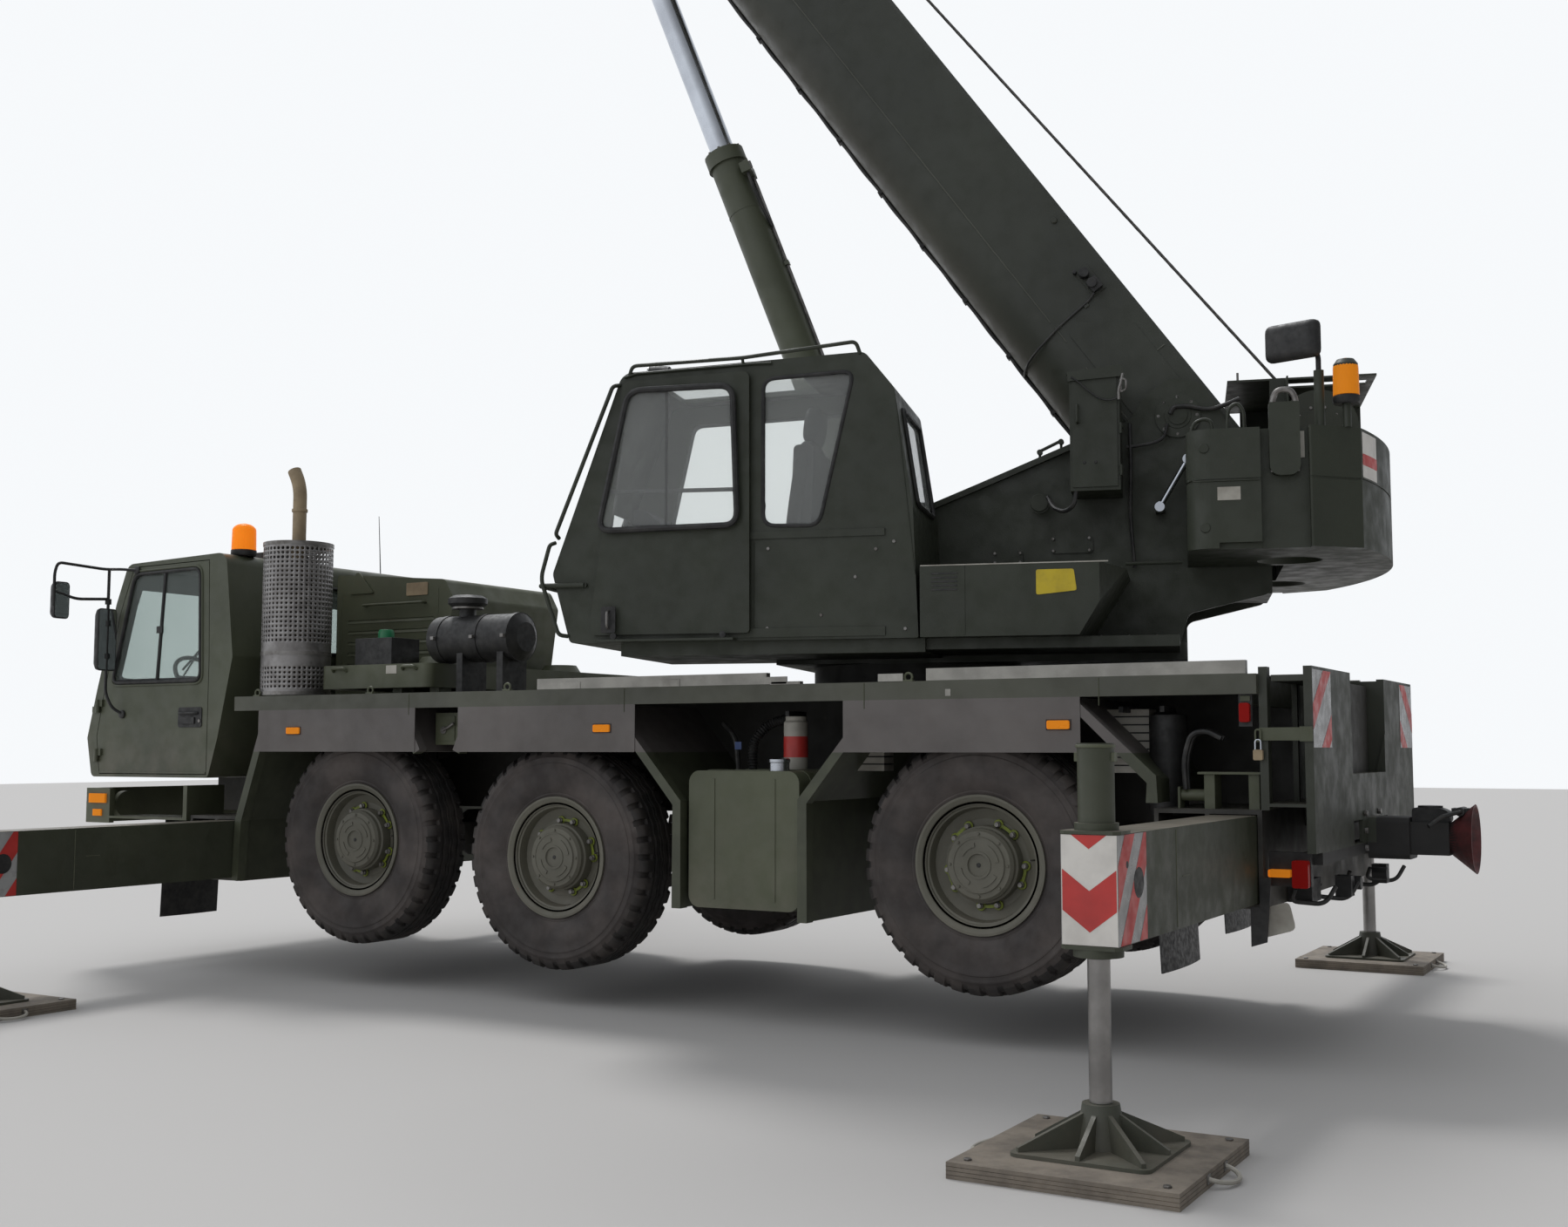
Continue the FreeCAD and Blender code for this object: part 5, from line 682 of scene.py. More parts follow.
# %% Cab glass and seals
DOOR_GLASS = ((-5.905, 2.030), (-5.690, 2.820), (-4.990, 2.830), (-4.960, 2.030))
for tag, side in zip("lr", SIDES):
    pane = prism(softened(DOOR_GLASS, 0.06, 6), *flank(side, 1.318, 1.323))
    seal = frame_bar(DOOR_GLASS, side * 1.336, "y", 0.013, 0.07)
    frame_ring = frame_bar(((-5.925, 2.008), (-5.703, 2.843), (-4.972, 2.853), (-4.938, 2.008)), side * 1.3355, "y",
                           0.009, 0.08)
    upright = bar(points([-5.425, -5.365], side * 1.328, [2.030, 2.825]), 0.013, 8)
    catch = block(-5.43, -5.37, *flank(side, 1.330, 1.344), 2.38, 2.43)
    sill = bar(points([-5.86, -4.98], side * 1.315, [2.045, 2.045]), 0.012, 8)
    piece("cab_door_glass_" + tag, "cab_door_" + tag,
          {GLASS: [pane], TRIM: [seal, upright, catch, sill], PAINT_CAB: [frame_ring]})


def front_of_cab(z, inside):
    """x of the cab's leaning front at height z, moved inside by a distance."""
    return np.interp(z, (1.970, 2.610, 2.900), (-6.080, -5.890, -5.770)) + inside


z_glass = np.array((2.045, 2.30, 2.61, 2.805))
screen = prism(np.concatenate([np.stack([front_of_cab(z_glass, 0.012), z_glass], -1),
                               np.stack([front_of_cab(z_glass, 0.019), z_glass], -1)[::-1]]), -1.18, 1.18)
ring = np.array([(z, y) for y, z in ((-1.175, 2.062), (-1.175, 2.61), (-1.175, 2.788), (1.175, 2.788), (1.175, 2.61),
                                     (1.175, 2.062))])
screen_seal = bar(softened(points(front_of_cab(ring[:, 0], -0.002), ring[:, 1], ring[:, 0]), 0.08, 5), 0.015, 8,
                  closed=True)
rear_pane = prism(((-4.662, 2.24), (-4.724, 2.76), (-4.730, 2.76), (-4.668, 2.24)), -0.61, 0.61)
rear_seal = bar(softened(((-4.644, -0.60, 2.25), (-4.644, 0.60, 2.25), (-4.706, 0.60, 2.75), (-4.706, -0.60, 2.75)),
                         0.06, 5), 0.013, 8, closed=True)
piece("cab_glass", "carrier", {GLASS: [screen, rear_pane], TRIM: [screen_seal, rear_seal]})
print("cab glazed: 2 doors, windscreen, rear light")

# %% [markdown]
# A door handle on a lorry sits in a black tray with a lever across it. The mirrors hang on bent round bar from the
# door, so they swing out with it: a tall one facing back and a small wide-angle one further out. Their glass only
# shows what is behind the crane, so it needs a smooth mirror finish and nothing more.

# %% Door handles and mirrors
def rounded_slab(outline, low, high, across, reach, steps=4):
    """A plate of one outline with its corners rounded."""
    return prism(softened(outline, reach, steps), low, high, across)


def housing(x, y0, y1, z0, z1, side):
    """A mirror's black shell: rings that shrink towards its front, and a pane in its back."""
    ring = softened(((y0, z0), (y1, z0), (y1, z1), (y0, z1)), 0.03, 4)
    mid = ring.mean(0)
    shrink = np.array((0.96, 1.0, 0.98, 0.86, 0.55))[:, None, None]
    back = np.array((0.0, -0.006, -0.030, -0.055, -0.068))[:, None]
    flat = (ring - mid) * shrink + mid
    return skin(points(x + back, side * flat[..., 0], flat[..., 1]))


for tag, side in zip("lr", SIDES):
    def at(shape):
        """Points given for the right-hand side, put on this side."""
        return points(shape[:, 0], side * shape[:, 1], shape[:, 2])

    tray = rounded_slab(((-5.176, 1.700), (-4.932, 1.700), (-4.932, 1.842), (-5.176, 1.842)),
                        *flank(side, 1.334, 1.341), "y", 0.02)
    lever = bar(at(softened(np.array(((-5.158, 1.340, 1.800), (-5.145, 1.356, 1.800), (-4.985, 1.356, 1.800),
                                      (-4.972, 1.340, 1.800))), 0.012, 3, False)), 0.011, 8)
    grip = block(-5.14, -5.00, *flank(side, 1.341, 1.350), 1.725, 1.772)
    lock = disc(0.013, *flank(side, 1.341, 1.347), (-4.952, 0, 1.745), sides=16)
    lower_edge = block(-6.02, -4.885, *flank(side, 1.333, 1.339), 1.372, 1.385)
    piece("cab_door_trim_" + tag, "cab_door_" + tag,
          {TRIM: [tray, lever, grip], STEEL: [lock], PAINT_CAB: [lower_edge]}, bevel=0.003)
    arms = [((-5.665, 1.335, 2.850), (-5.76, 1.400, 2.858), (-5.85, 1.47, 2.855), (-5.85, 1.86, 2.870),
             (-5.85, 1.885, 2.80), (-5.85, 1.885, 2.56)),
            ((-5.85, 1.437, 2.86), (-5.85, 1.437, 2.40), (-5.85, 1.437, 1.95), (-5.82, 1.40, 1.845),
             (-5.78, 1.335, 1.80)),
            ((-5.85, 1.437, 2.64), (-5.85, 1.70, 2.62), (-5.85, 1.88, 2.66))]
    bars = [hose(at(np.array(arm)), 0.011, 0.05) for arm in arms]
    clamps = [bar(points([-5.85, -5.85], side * 1.437, [z - 0.02, z + 0.02]), 0.022, 10) for z in (2.22, 2.46, 2.62)]
    tall = housing(-5.845, 1.358, 1.518, 2.115, 2.570, side)
    small = housing(-5.845, 1.760, 1.885, 2.470, 2.735, side)
    panes = [rounded_slab([(side * y, z) for y, z in ((a, b), (c, b), (c, d), (a, d))], -5.846, -5.8435, "x", 0.022)
             for a, b, c, d in ((1.366, 2.124, 1.510, 2.561), (1.768, 2.480, 1.877, 2.725))]
    feet = [disc(0.03, *flank(side, 1.334, 1.350), (x, 0, z), sides=16)
            for x, z in ((-5.665, 2.850), (-5.78, 1.80))]
    piece("cab_mirrors_" + tag, "cab_door_" + tag, {TRIM: bars + clamps + [tall, small] + feet, MIRROR: panes},
          angle=50)
print("handles and mirrors on both sides")

# %% [markdown]
# A beacon is a lens turned from one profile on a black base. The same profile serves the two beacons, on the cab and
# on the counterweight. Fine ribs in the lens come from a small wave in the radius.

# %% Beacons
def beacon(x, y, foot, radius, tall):
    """Base and lens profiles turned about the upright; the lens radius carries a fine wave round it."""
    base = lathe([(radius * wide, foot + up) for wide, up in ((0.2, 0), (0.95, 0), (1.05, 0.012), (1.05, 0.04),
                                                              (0.8, 0.045), (0.2, 0.045))], (x, y, 0), "z", 32)
    rise = np.linspace(0, 1, 24)[:, None]
    a = np.linspace(0, 2 * np.pi, 72, endpoint=False)[None]
    r = radius * (1 + 0.012 * np.cos(24 * a)) * np.where(rise < 0.72, 1 - 0.05 * rise, 0.964 * np.sqrt(
        np.clip(1 - ((rise - 0.72) / 0.285) ** 2, 0.003, 1)))
    lens = skin(points(x + r * np.cos(a), y + r * np.sin(a), foot + 0.045 + (tall - 0.045) * rise + 0 * a))
    return base, lens


base, lens = beacon(-4.800, -1.120, 2.925, 0.085, 0.235)
vent = [rounded_slab(((-4.93, -0.93), (-4.76, -0.93), (-4.76, -0.70), (-4.93, -0.70)), 2.915, 2.975, "z", 0.03),
        bar(points([-4.80, -4.80], [-0.80, -0.55], [2.95, 2.95]), 0.03, 12)]
aerial = bar(points([-5.62, -5.66], [1.10, 1.10], [2.89, 3.55]), np.array((0.006, 0.003)), 6)
piece("cab_roof_fittings", "carrier", {TRIM: [base, aerial] + vent, AMBER: [lens]}, bevel=0.004)
print("beacon, vent and aerial on the roof")

# %% [markdown]
# On the cab's front are wipers, dark mesh behind the grille, headlamps in the bumper and two amber lamps at each
# corner. A lamp is a bowl of bright metal behind a clear lens.

# %% Front of the cab and bumper
def lamp_pot(x, y, z, radius):
    """A bowl whose depth grows with the square of the radius, and a shallow domed lens, both about the x axis."""
    r = np.linspace(0.12, 1.0, 8) * radius
    bowl = lathe(np.stack([r, x + 0.05 - 0.045 * (r / radius) ** 2], -1), (0, y, z), "x", 28, closed=False)
    dome = lathe(np.stack([r, x - 0.004 - 0.010 * (1 - (r / radius) ** 2)], -1).tolist()
                 + [(radius, x + 0.004), (0.12 * radius, x + 0.004)], (0, y, z), "x", 28)
    return bowl, dome


wipers = []
for y in (-0.62, 0.30):
    for line, inside, radius in ((((2.035, 0), (2.050, 0.02), (2.55, 0.26)), -0.030, 0.008),
                                 (((2.16, 0.02), (2.70, 0.42)), -0.018, 0.010)):
        z, along = np.array(line).T
        wipers.append(bar(points(front_of_cab(z, inside), y + along, z), radius, 6))
mesh_back = block(-6.125, -6.120, -0.54, 0.54, 1.43, 1.77)
slats = copies(block(-6.135, -6.128, -0.52, 0.52, 0, 0.006), [(0, 0, z) for z in np.arange(1.445, 1.75, 0.0135)])
BUMPER_FACE = -6.160
lamps = [lamp_pot(BUMPER_FACE, side * out, 1.136, radius) for out, radius in ((1.080, 0.082), (0.840, 0.060))
         for side in SIDES]
amber = [block(-6.115, -5.935, *flank(side, 1.328, 1.346), 1.155, 1.222) for side in SIDES]
amber += [block(-6.072, -5.981, *flank(side, 1.328, 1.342), 1.060, 1.108) for side in SIDES]
front_plate = rounded_slab(((0.18, 1.075), (0.70, 1.075), (0.70, 1.190), (0.18, 1.190)), -6.168, BUMPER_FACE, "x",
                           0.01)
tow_pins = [bar(points([-6.14, -6.14], [y, y], [1.02, 1.25]), 0.018, 12) for y in (-0.45, 0.45)]
piece("cab_front_fittings", "carrier",
      {TRIM: wipers + [mesh_back, slats], CHROME: [bowl for bowl, dome in lamps],
       LAMP_GLASS: [dome for bowl, dome in lamps], AMBER: amber, PALE: [front_plate], STEEL: tow_pins})
print("wipers, grille mesh, lamps and plate")

# %% [markdown]
# The guard round the silencer is sheet punched with rows of holes. Each cell of the sheet is eight four-sided faces
# between a square and a round hole, and the cell's flat position is then rolled round the guard. Punching the holes
# with booleans would be slow and would leave ragged faces.

# %% Perforated guard
def perforated(radius, heights, hole, count, centre):
    """Cells of count round by len(hole) up: outer points at the square's corners and middles, inner points at
    hole radius times cosine and sine, all rolled by angle = position / radius. A hole of 0 leaves a plain cell."""
    rows = len(hole)
    pitch = 2 * np.pi * radius / count
    heights, hole = np.asarray(heights, float), np.asarray(hole, float)
    across, up = np.arange(count) * pitch, heights
    middle_up = (up[:-1] + up[1:]) / 2
    corner = np.stack(np.broadcast_arrays(across, up[:, None]), -1)
    along = np.stack(np.broadcast_arrays(across + pitch / 2, up[:, None]), -1)
    beside = np.stack(np.broadcast_arrays(across, middle_up[:, None]), -1)
    k = np.arange(8) * np.pi / 4 - 0.75 * np.pi
    ring = np.stack(np.broadcast_arrays((across + pitch / 2)[None, :, None] + hole[:, None, None] * np.cos(k),
                                        middle_up[:, None, None] + hole[:, None, None] * np.sin(k)), -1)
    flat = np.concatenate([g.reshape(-1, 2) for g in (corner, along, beside, ring)])
    i, j = np.meshgrid(np.arange(rows), np.arange(count), indexing="ij")
    n = (j + 1) % count
    first = np.cumsum([0, corner.size // 2, along.size // 2, beside.size // 2])
    outer = np.stack([first[0] + i * count + j, first[1] + i * count + j, first[0] + i * count + n,
                      first[2] + i * count + n, first[0] + (i + 1) * count + n, first[1] + (i + 1) * count + j,
                      first[0] + (i + 1) * count + j, first[2] + i * count + j], -1)
    inner = first[3] + ((i * count + j)[..., None] * 8 + np.arange(8))
    quads = np.stack([outer, np.roll(outer, -1, -1), np.roll(inner, -1, -1), inner], -1)
    open_cell = (hole > 0)[:, None] & np.ones(count, bool)
    turn = flat[:, 0] / radius
    return (points(radius * np.cos(turn), radius * np.sin(turn), flat[:, 1]) + centre,
            quads[open_cell].reshape(-1, 4), list(outer[~open_cell]))


GUARD_X, GUARD_Y, GUARD_R = -4.235, -1.130, 0.235
GUARD_FOOT, HOLES_ROUND = (GUARD_X, GUARD_Y, 0), 44
levels = np.linspace(1.925, 2.970, 34)
mid = (levels[:-1] + levels[1:]) / 2
holes = np.where((mid > 2.13) & (mid < 2.28), 0.0, np.where(mid > 2.83, 0.0115, 0.0085))
holes[[0, -1]] = 0
guard = piece("silencer_guard", "carrier",
              {SHEET: [perforated(GUARD_R, levels, holes, HOLES_ROUND, GUARD_FOOT)]}, angle=60)
wall = guard.modifiers.new("sheet", "SOLIDIFY")
wall.thickness, wall.offset = 0.003, -1
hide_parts("exhaust")
r = np.array((0.02, 0.10, 0.150, 0.165, 0.165, 0.158, 0.158, 0.165, 0.165, 0.150, 0.052, 0.052))
h = np.array((1.925, 1.925, 1.925, 1.945, 2.30, 2.31, 2.33, 2.34, 2.76, 2.785, 2.815, 2.86))
silencer = lathe(np.stack([r, h], -1), GUARD_FOOT, "z", 36, closed=False)
stack = hose([(GUARD_X - bent, GUARD_Y, z) for bent, z in ((0, 2.80), (0, 3.05), (0, 3.34), (0.02, 3.42),
                                                           (0.062, 3.498))], 0.047, 0.10, 20)
clamp = [disc(0.054, z, z + 0.022, GUARD_FOOT, "z", 24) for z in (2.90, 3.20)]
rims = [lathe([(GUARD_R - 0.004, z), (GUARD_R + 0.004, z), (GUARD_R + 0.004, z + 0.025), (GUARD_R - 0.004, z + 0.025)],
              GUARD_FOOT, "z", 64) for z in (1.915, 2.190, 2.950)]
lid = lathe([(0.052, 2.965), (0.20, 2.950), (0.20, 2.955), (0.052, 2.972)], GUARD_FOOT, "z", 40)
stays = [block(GUARD_X - 0.23, GUARD_X + 0.23, GUARD_Y - 0.012, GUARD_Y + 0.012, z, z + 0.03) for z in (2.15, 2.65)]
foot = disc(0.228, 1.907, 1.918, GUARD_FOOT, "z", 48)
piece("silencer_and_stack", "carrier",
      {RUSTY: [silencer] + stays, TAN: [stack] + clamp, STEEL: rims + [lid], PAINT_CARRIER: [foot]})
print("guard:", len(guard.data.polygons), "faces with", int((holes > 0).sum() * HOLES_ROUND), "holes")

# %% [markdown]
# The deck is edged with channel. On it sit the brackets of the folding rails, hinge eyes and latches, and its side
# shows the seams between its lengths. Pressed skirts below carry amber side markers on rubber feet.

# %% Deck fittings and side markers
def eye(x, y, z, radius=0.022, thick=0.007):
    """A small ring standing upright along x."""
    t = np.linspace(0, 2 * np.pi, 20, endpoint=False)
    return bar(points(x + radius * np.cos(t), y, z + radius * np.sin(t)), thick, 8, closed=True)


DECK_SIDE = 1.375
bright, painted, markers, rubber = [], [], [], []
for side in SIDES:
    for x in (0.340, -1.252, -2.95, 1.66):
        painted.append(bar(points(x, side * 1.3755, [1.765, 1.835, 1.903]), 0.003, 6))
    for x in (-4.35, -3.30, -2.15, -0.62, 0.60, 1.75):
        painted.append(eye(x, side * 1.360, 1.930))
        painted.append(block(x - 0.03, x + 0.03, side * 1.360 - 0.014, side * 1.360 + 0.014, 1.907, 1.916))
    for x in (-3.98, -1.412, 1.446):
        markers.append(prism(softened([(x - 0.060, 1.648), (x + 0.060, 1.648), (x + 0.060, 1.692), (x - 0.060, 1.692)],
                                      0.010), *flank(side, 1.372, 1.388)))
        rubber.append(block(x - 0.068, x + 0.068, *flank(side, 1.370, 1.377), 1.642, 1.698))
    for x0, x1 in ((-1.90, 0.70), (-0.27, 2.38)) if side > 0 else ((-1.90, 0.70),):
        for x in np.linspace(x0 + 0.25, x1 - 0.2, 4):
            bright.append(block(x - 0.075, x + 0.075, side * DECK_SIDE - 0.006 * side, side * DECK_SIDE + 0.003 * side,
                                1.908, 1.950))
    bright.append(block(-0.243, -0.057, *flank(side, 1.340, 1.378), 1.905, 1.922))
    bright.append(block(0.820, 0.852, *flank(side, 1.374, 1.377), 1.825, 1.862))
piece("deck_fittings", "carrier", {PAINT_CARRIER: painted, RAIL: bright, AMBER: markers, TRIM: rubber}, bevel=0.002)
print("deck fittings:", len(painted) + len(bright), "and", len(markers), "markers")

# %% [markdown]
# Between the wheels hang the tank with its filler, a filter can, hoses and a valve box, and behind the arches lie
# ribbed sheet covers. A corrugated hose is a turned profile whose radius waves along its length.

# %% Tanks, filter, covers and valve box
def corrugated(path, radius, waves, depth, sides=14):
    """A bar whose radius is radius plus depth times the sine of the length along it."""
    p = softened(path, 0.08, 8, closed=False)
    s = np.concatenate([(0,), np.cumsum(np.linalg.norm(np.diff(p, axis=0), axis=1))])
    t = np.linspace(0, s[-1], waves * 4 + 1)
    fine = np.stack([np.interp(t, s, p[:, k]) for k in range(3)], -1)
    return bar(fine, radius + depth * np.sin(np.arange(len(t)) * np.pi / 2), sides)


COVER_OUT = 0.98
caps, cans, labels, covers, cores, valve = [], [], [], [], [], []
for side in SIDES:
    caps.append(lathe([(0.010, 1.424), (0.058, 1.424), (0.058, 1.470), (0.062, 1.474), (0.062, 1.490), (0.050, 1.498),
                       (0.010, 1.498)], (-0.270, side * 1.240, 0), "z", 28, closed=False))
    can_foot = (-0.300, side * 1.00, 0)
    cans.append(lathe([(0.010, 1.425), (0.066, 1.430), (0.070, 1.445), (0.070, 1.700), (0.060, 1.712), (0.060, 1.735),
                       (0.010, 1.735)], can_foot, "z", 32, closed=False))
    labels.append(lathe([(0.0705, 1.50), (0.0712, 1.50), (0.0712, 1.62), (0.0705, 1.62)], can_foot, "z", 32))
    for x0, x1 in ((0.005, 0.260), (1.560, 1.790)):
        covers.append(copies(block(x0, x1, *flank(side, COVER_OUT, COVER_OUT - 0.12), 0, 0.034),
                             [(0, 0, z) for z in np.arange(1.425, 1.74, 0.042)]))
        cores.append(block(x0 + 0.006, x1 - 0.006, *flank(side, COVER_OUT - 0.008, COVER_OUT - 0.115), 1.425, 1.752))
    y = side * 1.200
    valve.append(block(-2.875, -2.670, *sorted((y, y - side * 0.16)), 1.575, 1.780))
    valve.append(block(-2.835, -2.710, *sorted((y + side * 0.006, y)), 1.600, 1.760))
lever = [bar(points([-2.80, -2.745, -2.705], s * 1.222, [1.668, 1.690, 1.712]), 0.009, 8) for s in SIDES]
lever += [disc(0.024, *flank(s, 1.204, 1.216), (-2.80, 0, 1.668), sides=16) for s in SIDES]
bellows = [corrugated([(-0.56, s * 1.05, 1.40), (-0.56, s * 1.05, 1.60), (-0.47, s * 1.0, 1.70),
                       (-0.36, s * 1.0, 1.72)], 0.026, 26, 0.004) for s in SIDES]
tank_hoses = [hose([(-0.72, s * 0.95, 1.41), (-0.74, s * 0.95, 1.62), (-0.86, s * 0.90, 1.70)], 0.015)
              for s in SIDES]
tag = [block(-0.735, -0.690, *flank(s, 0.967, 0.970), 1.545, 1.590) for s in SIDES]
drum = [lathe([(0.02, 1.205), (0.090, 1.215), (0.096, 1.24), (0.096, 1.72), (0.02, 1.74)], (1.895, s * 1.00, 0), "z",
              32, closed=False) for s in SIDES]
stays = [block(x - 0.012, x + 0.012, *flank(s, 0.90, 1.10), 1.735, 1.765) for s in SIDES
         for x in (-0.30, 0.13, 1.68, 1.895)]
side_ribs = [block(x - 0.012, x + 0.012, *flank(s, 1.330, 1.334), 0.70, 1.38) for s in SIDES
             for x in (-0.655, -0.255)]
piece("tank_fittings", "carrier",
      {CHROME: caps, PALE: cans + covers, RED: labels, TRIM: cores + bellows + drum + stays,
       PAINT_CARRIER: valve + side_ribs, STEEL: lever, HOSE: tank_hoses, BLUE_TAG: tag}, bevel=0.002)
print("tank fittings on both sides")

# %% [markdown]
# Rubber flaps hang behind and before the wheels. A flap is a thin sheet that bows a little: the depth of the bow is a
# parabola across it and grows towards the free edge.

# %% Mud flaps
def flap(x, y0, y1, z0, z1, bow=0.03, lean=0.02):
    """Sheet at x plus bow times (1 - across squared) times depth, plus lean times depth, with a thickness of 6 mm."""
    across, down = np.meshgrid(np.linspace(-1, 1, 13), np.linspace(0, 1, 9))
    shift = bow * (1 - across ** 2) * down + lean * down
    y, z = (y0 + y1) / 2 + across * (y1 - y0) / 2, z1 + (z0 - z1) * down
    front, back = points(x + shift, y, z), points(x + shift + 0.006, y, z)
    return skin(np.concatenate([front, back[:, ::-1]], axis=1))


BEHIND_WHEEL, BEFORE_WHEEL = ((-1, 1.900), (1, 1.700)), ((-1, -5.300), (1, -5.450))
flaps = [flap(x, *flank(s, 1.270, 0.620), 0.450, 0.900, 0.02) for s, x in BEHIND_WHEEL]
flaps += [flap(x, *flank(s, 1.320, 0.820), 0.360, 1.060, 0.015, -0.03) for s, x in BEFORE_WHEEL]
flap_bars = [bar(points(x, [s * 1.270, s * 0.620], 0.900), 0.012, 8) for s, x in BEHIND_WHEEL]
piece("mud_flaps", "carrier", {HOSE: flaps, STEEL: flap_bars}, angle=50)
print("flaps:", len(flaps))

# %% [markdown]
# On the hood are a lifting bracket and a plate, and on the slab behind it stand an oil box with a green cap and a
# blank plate. The louvres already cut in the hood get dark slats behind them. A beam from the back row shows through.

# %% Hood, slab and air cleaner fittings
louvre_back = block(-4.50, -3.62, -0.386, -0.380, 2.12, 2.52)
slats = copies(prism([(-0.405, 0.0), (-0.392, 0.028), (-0.389, 0.028), (-0.402, 0.0)], -4.48, -3.64, "x"),
               [(0, 0, z) for z in (2.150, 2.230, 2.310, 2.390, 2.470)])
bracket = prism(softened([(-4.470, 2.690), (-4.400, 2.850), (-4.370, 2.850), (-4.220, 2.690)], 0.02), -0.412, -0.400)
plate = prism(softened([(-3.905, 2.655), (-3.700, 2.655), (-3.700, 2.748), (-3.905, 2.748)], 0.01), -0.406, -0.400)
grab = hose([(-4.30, -0.400, 2.60), (-4.30, -0.445, 2.60), (-3.72, -0.445, 2.60), (-3.72, -0.400, 2.60)], 0.010, 0.02)
hood_seams = [bar(points([x, x], -0.4005, [1.93, 2.70]), 0.003, 6) for x in (-4.55, -3.60)]
oil_box = block(-3.755, -3.420, -1.050, -0.780, 2.112, 2.300)
cap = lathe([(0.01, 2.30), (0.055, 2.30), (0.055, 2.345), (0.045, 2.365), (0.01, 2.365)], (-3.60, -0.915, 0), "z", 24,
            closed=False)
blank = block(-3.330, -3.235, -1.1925, -1.189, 2.045, 2.100)
slab_eye = [hose([(x - 0.06, s * 1.190, 2.07), (x - 0.05, s * 1.215, 2.09), (x + 0.05, s * 1.215, 2.09),
                  (x + 0.06, s * 1.190, 2.07)], 0.011, 0.03) for s in SIDES for x in (-3.75, -3.12)]
piece("hood_fittings", "carrier",
      {TRIM: [louvre_back, oil_box], PAINT_CARRIER: [slats, bracket, grab] + hood_seams + slab_eye, TAN: [plate],
       GREEN_CAP: [cap], PALE: [blank]}, bevel=0.003)
CLEANER_Y = -0.950
band_bolts = [block(x, x + 0.028, CLEANER_Y - 0.185, CLEANER_Y - 0.158, 2.262, 2.284) for x in (-3.00, -2.67, -2.41)]
wing = lathe([(0.01, 0.0), (0.035, 0.0), (0.035, -0.02), (0.01, -0.03)], (-3.088, CLEANER_Y, 2.272), "x", 16,
             closed=False)
mesh_ring = lathe([(0.100, 2.470), (0.104, 2.470), (0.104, 2.505), (0.100, 2.505)], (-2.840, CLEANER_Y, 0), "z", 40)
duct = corrugated([(-3.05, -0.93, 2.27), (-3.16, -0.90, 2.30), (-3.26, -0.70, 2.34), (-3.42, -0.42, 2.34)], 0.062, 18,
                  0.006, 18)
piece("air_cleaner_fittings", "carrier", {STEEL: band_bolts + [wing, mesh_ring], HOSE: [duct]}, bevel=0.002)
print("hood, slab and air cleaner dressed")

# %% [markdown]
# The crane cab turns with the upper works, so its pieces are drawn in the turned axes. Its left side has a sliding
# door with a big window and a fixed window behind it, both in thick rubber. Its front pane leans forward so that the
# driver sees the load.

# %% Crane cab glass and seals
CRANE_DOOR_GLASS = ((-1.600, 2.780), (-1.425, 3.580), (-0.810, 3.580), (-0.780, 2.790))
REAR_SIDE_GLASS = ((-0.650, 2.790), (-0.650, 3.620), (-0.130, 3.640), (-0.330, 2.780))
FAR_SIDE_GLASS = ((-1.500, 2.800), (-1.330, 3.560), (-0.250, 3.590), (-0.250, 2.800))
pane = prism(softened(CRANE_DOOR_GLASS, 0.06, 6), -1.395, -1.389)
seal = frame_bar(CRANE_DOOR_GLASS, -1.407, "y", 0.018, 0.08)
inner_bar = [bar(points([-1.545, -0.790], -1.374, [3.005, 2.995]), 0.012, 8),
             bar(points([-1.20, -1.20], -1.385, [2.790, 3.575]), 0.009, 8)]
handle = prism(softened(((-1.575, 2.200), (-1.490, 2.200), (-1.490, 2.350), (-1.575, 2.350)), 0.012), -1.411, -1.404)
grip = hose([(-1.532, -1.408, 2.225), (-1.532, -1.435, 2.235), (-1.532, -1.435, 2.315), (-1.532, -1.408, 2.325)],
            0.008, 0.015)
runners = copies(lathe([(0.006, -1.407), (0.018, -1.407), (0.018, -1.419), (0.006, -1.421)], (0, 0, 0), "y", 16,
                       closed=False), [(-1.50, 0, 2.180), (-0.86, 0, 2.180)])
piece("crane_door_glass", "crane_door",
      {CLEAR_GLASS: [pane], TRIM: [seal, handle, runners] + inner_bar, STEEL: [grip]}, on_upper, angle=40)


def nose(z, inside):
    """x of the crane cab's leaning front at height z, moved inside by a distance."""
    return np.interp(z, (2.550, 3.700), (-1.900, -1.485)) + inside


z_pane = np.array((2.69, 3.59))
front_pane = prism(np.concatenate([np.stack([nose(z_pane, 0.014), z_pane], -1),
                                   np.stack([nose(z_pane, 0.021), z_pane], -1)[::-1]]), -1.255, -0.500)
corners_yz = np.array(((-1.245, 2.70), (-1.245, 3.58), (-0.510, 3.58), (-0.510, 2.70)))
front_seal = bar(softened(points(nose(corners_yz[:, 1], 0.0), corners_yz[:, 0], corners_yz[:, 1]), 0.06, 5), 0.017, 8,
                 closed=True)
rear_side = prism(softened(REAR_SIDE_GLASS, 0.04, 6), -1.322, -1.316)
rear_side_seal = frame_bar(REAR_SIDE_GLASS, -1.332, "y", 0.012, 0.07)
far_side = prism(softened(FAR_SIDE_GLASS, 0.04, 6), -0.440, -0.434)
far_seal = frame_bar(FAR_SIDE_GLASS, -0.418, "y", 0.015, 0.06)
roof_pane = block(-1.36, -0.49, -1.195, -0.560, 3.690, 3.696)
rear_seal = bar(softened(((0.197, -1.18, 2.905), (0.197, -0.575, 2.905), (0.115, -0.575, 3.445),
                          (0.115, -1.18, 3.445)), 0.05, 5), 0.015, 8, closed=True)
